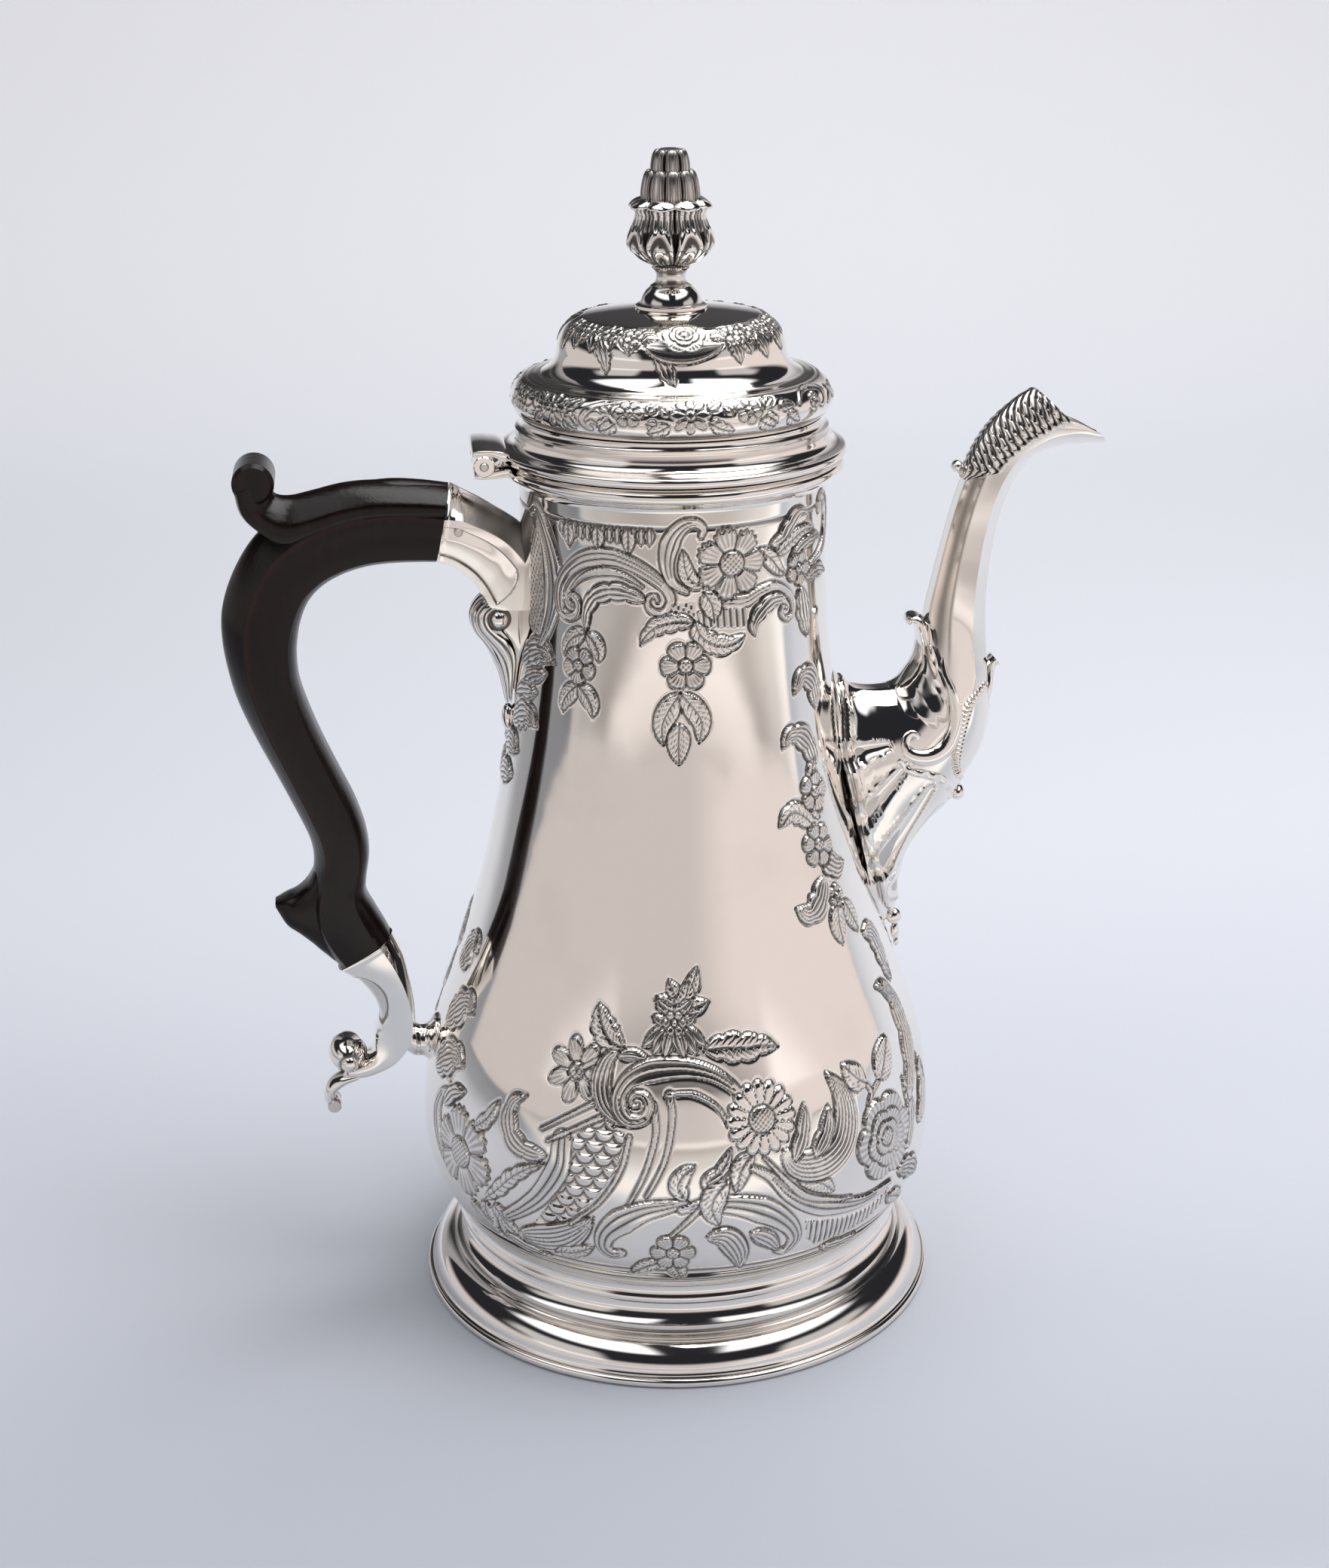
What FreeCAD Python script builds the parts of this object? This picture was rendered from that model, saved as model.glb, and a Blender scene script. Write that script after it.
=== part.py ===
import FreeCAD, Part
import math
import os
import re

import Sketcher
from FreeCAD import Placement, Rotation, Vector

# A silver coffee pot with a hinged lid, a wooden handle and a cast spout.
# Millimetres, +Z up, origin on the pot's axis in the plane that it stands on.
# The spout points to +X and the handle to -X.

# Driving dimensions. Heights are above the table and radii are from the pot's axis.
# A rise, drop, run, reach or inset is measured from the place that DERIVED names beside it.
SIZES = {
    # Foot: a stepped ring with a wire round its lower edge.
    "foot_reach": 0.6,
    "foot_wire_height": 2.2,
    "foot_wire_width": 2.8,
    "foot_height": 22.3,
    "foot_seat": 4.0,
    "foot_wall": 2.2,
    "foot_lip": 1.2,
    "ovolo_radius": 6.2,
    "foot_step": 1.3,
    "foot_waist_inset": 11.0,
    "foot_waist_drop": 6.7,
    # Body: a pear whose side is three arcs that run into each other.
    "belly_radius": 61.4,
    "belly_rise": 19.7,
    "belly_under": 29.5,
    "belly_shoulder": 85.0,
    "neck_radius": 34.5,
    "neck_depth": 12.4,
    "rim_height": 202.4,
    "bottom_drop": 7.3,
    "body_wall": 1.4,
    "rim_depth": 5.8,
    "rim_roll": 3.4,
    "rim_reach": 3.8,
    # Strainer: holes through the wall behind the spout.
    "strainer_pitch": 7.5,
    "strainer_hole": 2.2,
    # Lid: flange, bezel that drops into the neck, bead and dome.
    "seat_gap": 0.3,
    "flange_reach": 4.5,
    "flange_roll": 2.2,
    "flange_height": 8.7,
    "fillet_band": 1.3,
    "lid_inset": 1.1,
    "lid_wall": 1.3,
    "bezel_gap": 0.8,
    "bezel_depth": 7.0,
    "bezel_wall": 1.2,
    "bezel_grip": 4.0,
    "bead_curve": 5.0,
    "bead_height": 9.2,
    "bead_inset": 2.9,
    "bead_ledge": 1.0,
    "cavetto_height": 5.6,
    "dome_inset": 9.1,
    "dome_round": 5.9,
    "dome_height": 7.1,
    "crown_rise": 1.3,
    "crown_radius": 8.6,
    # Finial: bell base, leaf cup and bud on a threaded stud.
    "base_radius": 7.9,
    "base_ring": 0.8,
    "bell_top": 4.6,
    "bell_height": 3.6,
    "stem_radius": 3.3,
    "stem_height": 4.6,
    "cup_foot": 4.2,
    "cup_radius": 9.4,
    "cup_swell": 4.7,
    "cup_waist": 7.6,
    "cup_height": 11.1,
    "leaf_reach": 9.9,
    "leaf_height": 3.7,
    "leaf_count": 8.0,
    "leaf_notch": 1.7,
    "bud_radius": 6.9,
    "bud_height": 6.8,
    "bud_shoulder": 5.6,
    "bud_tip": 4.4,
    "bud_tip_height": 4.3,
    "bud_flat": 2.7,
    "stud_radius": 1.8,
    "stud_in_cup": 7.0,
    "stud_in_lid": 5.0,
    "nut_flats": 7.0,
    "nut_height": 3.0,
    # Hinge: three knuckles on a pin behind the rim.
    "hinge_stand": 3.3,
    "barrel_radius": 2.4,
    "hinge_length": 20.0,
    "knuckle_length": 6.8,
    "hinge_gap": 0.3,
    "hinge_plate": 1.1,
    "hinge_tail": 1.8,
    "pin_radius": 0.9,
    "pin_fit": 0.05,
    "pin_proud": 0.4,
    # Grip: wood bent round the fingers, with a thumb scroll and a spur.
    "grip_width": 15.0,
    "grip_round": 5.0,
    "grip_reach": 102.2,
    "grip_drop": 13.4,
    "grip_bend": 28.0,
    "grip_turn": 113.0,
    "wrist_ease": 15.5,
    "grip_top_depth": 18.4,
    "grip_back_depth": 16.8,
    "grip_wrist_depth": 12.7,
    "wrist_reach": 4.2,
    "wrist_rise": 19.2,
    "wrist_tilt": 92.0,
    "upper_joint_reach": 17.2,
    "upper_joint_drop": 13.8,
    "upper_joint_tilt": 11.9,
    "upper_joint_depth": 17.5,
    "lower_joint_reach": 12.1,
    "lower_joint_height": 86.8,
    "lower_joint_tilt": 121.4,
    "lower_joint_depth": 14.4,
    "lower_joint_width": 12.0,
    "lower_joint_round": 3.5,
    "thumb_inset": 10.1,
    "thumb_drop": 1.7,
    "thumb_radius": 4.9,
    "thumb_width": 13.0,
    "spur_reach": 15.7,
    "spur_drop": 6.0,
    "spur_width": 11.0,
    # Sockets: silver cups that hold the grip's tenons with cross pins.
    "tenon_length": 8.0,
    "tenon_depth": 7.0,
    "tenon_width": 6.4,
    "tenon_fit": 0.15,
    "lock_pin_radius": 1.0,
    "lock_pin_inset": 3.4,
    "socket_bend_run": 7.7,
    "socket_bend_drop": 4.6,
    "socket_bend_depth": 16.0,
    "socket_end_drop": 11.8,
    "socket_end_depth": 20.6,
    "socket_end_width": 12.0,
    "volute_reach": 5.4,
    "volute_drop": 23.5,
    "volute_radius": 4.6,
    "volute_width": 12.4,
    "bracket_drop": 25.1,
    "bracket_width": 9.0,
    "shank_inset": 6.3,
    "shank_drop": 12.3,
    "shank_depth": 9.1,
    "shank_width": 10.0,
    "shank_round": 2.5,
    "shank_length": 14.0,
    "roll_reach": 11.7,
    "roll_rise": 1.1,
    "roll_radius": 4.3,
    "roll_width": 11.0,
    "tail_reach": 15.8,
    "tail_drop": 12.9,
    "tail_radius": 1.7,
    "tail_width": 5.0,
    "strut_rise": 2.9,
    "strut_radius": 4.3,
    "strut_plate": 6.2,
    # Spout: cast in two halves, faceted above a swelling base.
    "spout_wall": 1.6,
    "flute_depth": 0.8,
    "flute_narrow": 2.2,
    "flute_wide": 6.6,
    "spout_root_height": 119.0,
    "spout_root_depth": 56.0,
    "spout_root_width": 26.0,
    "spout_swell_run": 17.5,
    "spout_swell_share": 0.0545,
    "spout_swell_depth": 45.0,
    "spout_swell_width": 25.0,
    "spout_bulb_run": 10.5,
    "spout_bulb_share": 0.218,
    "spout_bulb_depth": 33.0,
    "spout_bulb_width": 21.0,
    "spout_throat_run": 3.1,
    "spout_throat_share": 0.3815,
    "spout_throat_depth": 19.0,
    "spout_throat_width": 15.0,
    "spout_neck_share": 0.545,
    "spout_neck_depth": 13.8,
    "spout_neck_width": 12.6,
    "spout_top_run": 3.7,
    "spout_top_drop": 16.6,
    "spout_top_depth": 12.0,
    "spout_top_width": 11.4,
    "spout_bend_run": 5.3,
    "spout_bend_drop": 2.3,
    "spout_bend_depth": 12.2,
    "spout_bend_width": 11.4,
    "spout_lip_run": 10.6,
    "spout_lip_rise": 5.6,
    "spout_lip_depth": 13.6,
    "spout_lip_width": 12.0,
    "spout_tip_run": 14.2,
    "spout_tip_drop": 0.8,
    "spout_tip_depth": 9.0,
    "spout_tip_width": 7.0,
    "leaf_thickness": 1.0,
    "leaf_curl_inset": 1.8,
    "leaf_curl_rise": 6.4,
    "leaf_root_run": 9.6,
    "leaf_root_drop": 3.9,
    "leaf_ball": 1.4,
    "curl_run": 11.3,
    "curl_drop": 3.0,
    "curl_width": 9.0,
    "prow_run": 10.6,
    "prow_drop": 0.3,
    "prow_width": 8.0,
    "drop_hang": 31.6,
    "drop_radius": 2.1,
    "drop_length": 8.0,
}

# Sizes that follow from the driving ones.
DERIVED = {
    "foot_radius": "belly_radius + foot_reach",
    "foot_waist_height": "foot_height - foot_waist_drop",
    "belly_height": "foot_height + belly_rise",
    "bottom_height": "foot_height - bottom_drop",
    "neck_height": "rim_height - neck_depth",
    "strainer_height": "spout_root_height",
    "grip_level": "rim_height - grip_drop",
    "lower_joint_out": "belly_radius + lower_joint_reach",
    "wrist_out": "lower_joint_out + wrist_reach",
    "wrist_height": "lower_joint_height + wrist_rise",
    "upper_joint_out": "neck_radius + upper_joint_reach",
    "upper_joint_height": "rim_height - upper_joint_drop",
    "thumb_out": "grip_reach - thumb_inset",
    "thumb_height": "rim_height - thumb_drop",
    "spur_out": "wrist_out + spur_reach",
    "spur_height": "wrist_height - spur_drop",
    "socket_bend_out": "upper_joint_out - socket_bend_run",
    "socket_bend_height": "upper_joint_height - socket_bend_drop",
    "socket_end_height": "upper_joint_height - socket_end_drop",
    "volute_out": "neck_radius + volute_reach",
    "volute_height": "upper_joint_height - volute_drop",
    "bracket_foot": "volute_height - bracket_drop",
    "shank_out": "lower_joint_out - shank_inset",
    "shank_height": "lower_joint_height - shank_drop",
    "shank_foot_height": "shank_height - shank_length",
    "roll_out": "shank_out + roll_reach",
    "roll_height": "shank_foot_height + roll_rise",
    "tail_out": "shank_out + tail_reach",
    "tail_height": "shank_foot_height - tail_drop",
    "strut_height": "shank_foot_height + strut_rise",
    "spout_tip_height": "rim_height - spout_tip_drop",
    "spout_swell_out": "neck_radius + spout_swell_run",
    "spout_bulb_out": "spout_swell_out + spout_bulb_run",
    "spout_throat_out": "spout_bulb_out + spout_throat_run",
    "spout_neck_out": "spout_throat_out",
    "spout_top_out": "spout_neck_out + spout_top_run",
    "spout_top_height": "spout_tip_height - spout_top_drop",
    "spout_bend_out": "spout_top_out + spout_bend_run",
    "spout_bend_height": "spout_tip_height - spout_bend_drop",
    "spout_lip_out": "spout_bend_out + spout_lip_run",
    "spout_lip_height": "spout_tip_height + spout_lip_rise",
    "spout_tip_out": "spout_lip_out + spout_tip_run",
    "leaf_curl_out": "spout_lip_out - leaf_curl_inset",
    "leaf_curl_height": "spout_lip_height + leaf_curl_rise",
    "leaf_root_out": "spout_bend_out - leaf_root_run",
    "leaf_root_height": "spout_bend_height - leaf_root_drop",
    "curl_out": "spout_neck_out - curl_run",
    "prow_out": "spout_throat_out + prow_run",
    "drop_height": "spout_root_height - drop_hang",
    "spout_rise": "spout_tip_height - spout_root_height",
    "spout_swell_height": "spout_root_height + spout_swell_share * spout_rise",
    "spout_bulb_height": "spout_root_height + spout_bulb_share * spout_rise",
    "spout_throat_height": "spout_root_height + spout_throat_share * spout_rise",
    "spout_neck_height": "spout_root_height + spout_neck_share * spout_rise",
    "curl_height": "spout_neck_height - curl_drop",
    "prow_height": "spout_throat_height - prow_drop",
    "sweep_drop": "belly_radius - neck_radius",
    "sweep_rise": "neck_height - belly_height",
    "sweep_span": "(sweep_drop^2 + sweep_rise^2) / (2 * sweep_drop)",
    "neck_sweep": "sweep_span - belly_shoulder",
    "sweep_lean": "(sweep_span - sweep_drop) / sweep_span",
    "sweep_climb": "sweep_rise / sweep_span",
    "mouth_radius": "neck_radius - body_wall",
    "lid_seat": "rim_height + seat_gap",
    "bezel_radius": "mouth_radius - bezel_gap",
    "flange_radius": "neck_radius + flange_reach",
    "bead_foot": "lid_seat + flange_height",
    "bead_top": "bead_foot + bead_height",
    "dome_foot": "bead_top + cavetto_height",
    "dome_top": "dome_foot + dome_height",
    "crown": "dome_top + crown_rise",
    "dome_radius": "neck_radius - dome_inset",
    "lid_neck": "neck_radius - lid_inset",
    "ledge_radius": "neck_radius - bead_inset",
    "stem_foot": "crown + base_ring + bell_height",
    "cup_floor": "stem_foot + stem_height",
    "leaf_floor": "cup_floor + cup_height",
    "leaf_top": "leaf_floor + leaf_height",
    "hinge_out": "flange_radius + hinge_stand",
    "hinge_height": "rim_height + seat_gap / 2",
    "hinge_roof": "hinge_height + barrel_radius + hinge_gap",
    "bend_out": "grip_reach - grip_back_depth / 2 - grip_bend",
    "bend_height": "grip_level - grip_bend",
    "grip_run": "(bend_height + grip_bend * cos(grip_turn) - wrist_height - wrist_ease) / sin(grip_turn)",
    "run_out": "bend_out + grip_bend * sin(grip_turn) + grip_run * cos(grip_turn)",
    "run_height": "bend_height + grip_bend * cos(grip_turn) - grip_run * sin(grip_turn)",
    "tenon_hole_depth": "tenon_depth + 2 * tenon_fit",
    "tenon_hole_width": "tenon_width + 2 * tenon_fit",
    "lock_hole": "lock_pin_radius + pin_fit",
}

doc = FreeCAD.newDocument("CoffeePot")
sizes = doc.addObject("Spreadsheet::Sheet", "Sizes")
places = doc.addObject("Spreadsheet::Sheet", "Places")
for row, (alias, number) in enumerate(SIZES.items(), start=1):
    sizes.set(f"A{row}", alias)
    sizes.set(f"B{row}", str(number))
    sizes.setAlias(f"B{row}", alias)
doc.recompute()

formula_cells = {}
nodes = {}


def bound(formula):
    """Points each size name in a formula at its cell in one of the two sheets."""
    def sheet_name(word):
        if word[0] in SIZES:
            return f"Sizes.{word[0]}"
        return f"Places.{word[0]}" if word[0] in DERIVED else word[0]
    return re.sub(r"[a-z][a-z_]*", sheet_name, formula)


def place(formula):
    """Keeps a formula in a cell of Places and returns the cell's address and value."""
    if formula not in formula_cells:
        row = len(formula_cells) + 1
        places.set(f"B{row}", f"={bound(formula)}")
        places.recompute()
        formula_cells[formula] = (f"Places.B{row}", float(places.get(f"B{row}")))
    return formula_cells[formula]


for alias, formula in DERIVED.items():
    address, number = place(formula)
    places.set(address.replace("Places.B", "A"), alias)
    places.setAlias(address.replace("Places.", ""), alias)
doc.recompute()


def arc(radius, hollow=False):
    """A side that is an arc of a given radius, hollow when it bends into the outline."""
    return ("arc", radius, hollow)


def bow(rise):
    """A side that bows out by a rise, or in where the rise is negative."""
    return ("bow", rise)


def arc_side(start, end, shape, spots):
    """The arc between two corners: its curve, the formula of its radius, and its sense."""
    half = (end - start).Length / 2
    if shape[0] == "arc":
        radius_formula, hollow = shape[1], shape[2]
        radius = place(radius_formula)[1]
        offset = math.sqrt(radius ** 2 - half ** 2)
    else:
        (x1, y1), (x2, y2) = spots
        rise = f"({shape[1]})"
        radius_formula = f"((({x2})-({x1}))^2+(({y2})-({y1}))^2)/(8*abs{rise})+abs{rise}/2"
        radius = place(radius_formula)[1]
        hollow = place(shape[1])[1] < 0
        offset = radius - abs(place(shape[1])[1])
    left = Vector(start.y - end.y, end.x - start.x, 0).normalize()
    centre = (start + end) / 2 + left * (-offset if hollow else offset)
    first, last = (end, start) if hollow else (start, end)
    angles = [math.atan2(p.y - centre.y, p.x - centre.x) for p in (first, last)]
    curve = Part.ArcOfCircle(Part.Circle(centre, Vector(0, 0, 1), radius), *angles)
    return curve, radius_formula, hollow


def new_body(name):
    """An empty body that is named after its piece."""
    return doc.addObject("PartDesign::Body", name)


def new_sketch(body, name, role, offset=None):
    """An empty sketch on one of the body's own planes, moved off it by formulas."""
    sketch = body.newObject("Sketcher::SketchObject", name)
    plane = next(f for f in body.Origin.OriginFeatures if f.Role == role)
    sketch.AttachmentSupport = [(plane, "")]
    sketch.MapMode = "FlatFace"
    if offset:
        up, out, tilt = (place(formula) for formula in offset)
        turn = Rotation(Vector(1, 0, 0), tilt[1])
        sketch.AttachmentOffset = Placement(Vector(0, up[1], out[1]), turn)
        sketch.setExpression("AttachmentOffset.Base.y", up[0])
        sketch.setExpression("AttachmentOffset.Base.z", out[0])
        sketch.setExpression("AttachmentOffset.Rotation.Angle", tilt[0])
    return sketch


def outline(body, name, corners, role="XZ_Plane", offset=None):
    """A closed sketch through corners that run counter-clockwise.

    A corner is its two formulas, and the shape of the side after it where that is an arc.
    """
    sketch = new_sketch(body, name, role, offset)
    spots = [Vector(place(c[0])[1], place(c[1])[1], 0) for c in corners]
    ends = []
    radii = {}
    for i, corner in enumerate(corners):
        following = (i + 1) % len(corners)
        start, end = spots[i], spots[following]
        if len(corner) == 2:
            sketch.addGeometry(Part.LineSegment(start, end))
            ends.append((1, 2))
            continue
        pair = (corner[:2], corners[following][:2])
        curve, radii[i], hollow = arc_side(start, end, corner[2], pair)
        sketch.addGeometry(curve)
        ends.append((2, 1) if hollow else (1, 2))
    for i, corner in enumerate(corners):
        following = (i + 1) % len(corners)
        join = ("Coincident", i, ends[i][1], following, ends[following][0])
        sketch.addConstraint(Sketcher.Constraint(*join))
        for kind, formula in zip(("DistanceX", "DistanceY"), corner):
            address, number = place(formula)
            index = sketch.addConstraint(Sketcher.Constraint(kind, -1, 1, i, ends[i][0], number))
            sketch.setExpression(f"Constraints[{index}]", address)
    for i, formula in radii.items():
        address, number = place(formula)
        index = sketch.addConstraint(Sketcher.Constraint("Radius", i, number))
        sketch.setExpression(f"Constraints[{index}]", address)
    return sketch


def discs(body, name, centres, radius, role="XZ_Plane", offset=None):
    """A sketch of circles of one radius at the centres' formulas."""
    sketch = new_sketch(body, name, role, offset)
    for i, centre in enumerate(centres):
        spot = Vector(place(centre[0])[1], place(centre[1])[1], 0)
        sketch.addGeometry(Part.Circle(spot, Vector(0, 0, 1), place(radius)[1]))
        limits = (("DistanceX", (-1, 1, i, 3), centre[0]), ("DistanceY", (-1, 1, i, 3), centre[1]),
                  ("Radius", (i,), radius))
        for kind, target, formula in limits:
            address, number = place(formula)
            index = sketch.addConstraint(Sketcher.Constraint(kind, *target, number))
            sketch.setExpression(f"Constraints[{index}]", address)
    return sketch


def rectangle(width, depth, corner, faceted=False):
    """Corners of a rectangle about the origin, with its corners rounded or cut straight."""
    w, d, c = f"({width})/2", f"({depth})/2", f"({corner})"
    bend = () if faceted else (arc(corner),)
    return [(f"-{w}+{c}", f"-{d}"), (f"{w}-{c}", f"-{d}", *bend),
            (w, f"-{d}+{c}"), (w, f"{d}-{c}", *bend),
            (f"{w}-{c}", d), (f"-{w}+{c}", d, *bend),
            (f"-{w}", f"{d}-{c}"), (f"-{w}", f"-{d}+{c}", *bend)]


def section(body, name, station, size, corner, faceted=False):
    """A section across a bent piece at a station (out, height, tilt), sized (depth, width)."""
    out, height, tilt = station
    corners = rectangle(size[1], size[0], corner, faceted)
    return outline(body, name, corners, "YZ_Plane", (height, out, tilt))


def feature(body, kind, name, sketch):
    """A feature of the body that works on a sketch."""
    made = body.newObject(f"PartDesign::{kind}", name)
    made.Profile = sketch
    return made


def extrude(body, kind, name, sketch, length, symmetric=True, reverse=False):
    """A pad or pocket, to both sides of its sketch or to one."""
    made = feature(body, kind, name, sketch)
    made.setExpression("Length", place(length)[0])
    made.Length = place(length)[1]
    made.SideType = "Symmetric" if symmetric else "One side"
    made.Reversed = reverse
    return made


def loft(body, kind, name, sections):
    """A smooth loft through sections."""
    made = feature(body, kind, name, sections[0])
    made.Sections = sections[1:]
    return made


def revolved(name, corners, keep=True):
    """A piece turned about the pot's axis."""
    body = new_body(name)
    sketch = outline(body, f"{name}_outline", corners)
    turned = feature(body, "Revolution", f"{name}_turned", sketch)
    turned.ReferenceAxis = (sketch, ["V_Axis"])
    if keep:
        nodes[name] = body
    return body


def primitive(kind, name, **formulas):
    """A plain solid whose sizes and place follow formulas."""
    made = doc.addObject(f"Part::{kind}", name)
    for prop, formula in formulas.items():
        made.setExpression(prop.replace("at_", "Placement.Base."), place(formula)[0])
    return made


def combined(kind, name, base, tool, keep=True):
    """A cut, fuse or common of two objects."""
    made = doc.addObject(f"Part::{kind}", name)
    made.Base = base
    made.Tool = tool
    if keep:
        nodes[name] = made
    return made


def belly_at(height):
    """Formula of the body's outer radius at a height below its widest place."""
    return f"belly_radius - belly_under + sqrt(belly_under^2 - (belly_height - ({height}))^2)"


def neck_at(height):
    """Formula of the body's outer radius at a height on the long hollow of its neck."""
    return f"neck_radius + neck_sweep - sqrt(neck_sweep^2 - (neck_height - ({height}))^2)"


def sweep_point(radius):
    """Formulas of the point where shoulder and neck arcs meet, at a radius of the shoulder."""
    return (f"belly_radius - belly_shoulder + ({radius}) * sweep_lean",
            f"belly_height + ({radius}) * sweep_climb")


BODY_SIDE = [
    (belly_at("bottom_height"), "bottom_height", arc("belly_under")),
    ("belly_radius", "belly_height", arc("belly_shoulder")),
    (*sweep_point("belly_shoulder"), arc("neck_sweep", hollow=True)),
    ("neck_radius", "neck_height"),
]
BODY_INSIDE = [
    ("mouth_radius", "neck_height", arc("neck_sweep + body_wall")),
    (*sweep_point("belly_shoulder - body_wall"), arc("belly_shoulder - body_wall", hollow=True)),
    ("belly_radius - body_wall", "belly_height", arc("belly_under - body_wall", hollow=True)),
    ("belly_radius - belly_under + sqrt((belly_under - body_wall)^2"
     " - (belly_height - bottom_height - body_wall)^2)", "bottom_height + body_wall"),
]
RIM_SIDE = [
    ("neck_radius", "rim_height - rim_depth", bow("-rim_reach / 7")),
    ("neck_radius + rim_reach / 2", "rim_height - rim_roll"),
    ("neck_radius + rim_reach * 0.75", "rim_height - rim_roll", bow("rim_reach / 4")),
    ("neck_radius + rim_reach * 0.75", "rim_height"),
]
FLANGE_SIDE = [
    ("flange_radius - flange_roll / 3", "lid_seat", bow("flange_roll / 3")),
    ("flange_radius - flange_roll / 3", "lid_seat + flange_roll", bow("-flange_roll / 3")),
    ("neck_radius + fillet_band / 3", "bead_foot - fillet_band * 2.5"),
    ("neck_radius + fillet_band / 3", "bead_foot - fillet_band * 1.5", bow("fillet_band / 10")),
    ("lid_neck", "bead_foot - fillet_band"),
    ("lid_neck", "bead_foot"),
]


def make_body():
    """Makes the body shell with its strainer, the foot, and the rim; returns the full outside."""
    shell = revolved("body_shell", [
        ("0", "bottom_height"), *BODY_SIDE, ("neck_radius", "rim_height"),
        ("mouth_radius", "rim_height"), *BODY_INSIDE, ("0", "bottom_height + body_wall")])
    around = [(f"strainer_pitch * cos({60 * k})", f"strainer_height + strainer_pitch * sin({60 * k})")
              for k in range(6)]
    centres = [("0", "strainer_height"), *around]
    holes = discs(shell, "strainer_holes", centres, "strainer_hole", "YZ_Plane")
    extrude(shell, "Pocket", "strainer", holes, "belly_radius", symmetric=False, reverse=True)
    revolved("rim_moulding", [*RIM_SIDE, ("neck_radius", "rim_height")])
    waist = "foot_radius - foot_waist_inset"
    ovolo_in = "foot_radius - foot_lip - ovolo_radius"
    ovolo_top = "foot_wire_height + foot_lip + ovolo_radius"
    revolved("foot_ring", [
        ("foot_radius - foot_wire_width", "foot_wire_height"),
        ("foot_radius - foot_lip", "foot_wire_height"),
        ("foot_radius - foot_lip", "foot_wire_height + foot_lip", arc("ovolo_radius")),
        (ovolo_in, ovolo_top),
        (f"{ovolo_in} - foot_step", ovolo_top),
        (f"{ovolo_in} - foot_step", f"{ovolo_top} + foot_step", bow("-foot_step / 2")),
        (waist, "foot_waist_height", bow("foot_step")),
        (belly_at("foot_height"), "foot_height", arc("belly_under", hollow=True)),
        (belly_at("foot_height - foot_seat"), "foot_height - foot_seat"),
        (f"{waist} - foot_wall", "foot_waist_height"),
        (f"{ovolo_in} - foot_step - foot_wall", ovolo_top),
        ("foot_radius - foot_lip - foot_wall", "foot_wire_height + foot_lip")])
    revolved("foot_wire", [
        ("foot_radius - foot_wire_width", "0"),
        ("foot_radius - foot_wire_height / 4", "0", bow("foot_wire_height / 4")),
        ("foot_radius - foot_wire_height / 4", "foot_wire_height"),
        ("foot_radius - foot_wire_width", "foot_wire_height")])
    return revolved("body_outside", [
        ("0", "bottom_height"), *BODY_SIDE, *RIM_SIDE, ("0", "rim_height")], keep=False)


def make_lid():
    """Makes the lid's flange, bezel and dome; returns the flange's full outside."""
    revolved("lid_flange", [
        ("bezel_radius", "lid_seat"), *FLANGE_SIDE, ("bezel_radius", "bead_foot")])
    revolved("lid_bezel", [
        ("bezel_radius - bezel_wall", "lid_seat - bezel_depth"),
        ("bezel_radius", "lid_seat - bezel_depth"),
        ("bezel_radius", "lid_seat + bezel_grip"),
        ("bezel_radius - bezel_wall", "lid_seat + bezel_grip")])
    revolved("lid_dome", [
        ("lid_neck - lid_wall", "bead_foot"),
        ("lid_neck", "bead_foot", arc("bead_curve")),
        ("ledge_radius", "bead_top"),
        ("ledge_radius - bead_ledge", "bead_top", bow("-cavetto_height / 4")),
        ("dome_radius", "dome_foot", bow("dome_round / 4")),
        ("dome_radius - dome_round", "dome_top", bow("crown_rise / 8")),
        ("crown_radius", "crown"),
        ("stud_radius + pin_fit", "crown"),
        ("stud_radius + pin_fit", "crown - lid_wall"),
        ("crown_radius", "crown - lid_wall"),
        ("dome_radius - dome_round", "dome_top - lid_wall", bow("-dome_round / 4")),
        ("dome_radius - lid_wall", "dome_foot", bow("cavetto_height / 4")),
        ("ledge_radius - bead_ledge - lid_wall", "bead_top - lid_wall"),
        ("ledge_radius - lid_wall", "bead_top - lid_wall", bow("-bead_height / 6"))])
    return revolved("lid_outside", [
        ("0", "lid_seat"), *FLANGE_SIDE, ("0", "bead_foot")], keep=False)


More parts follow.
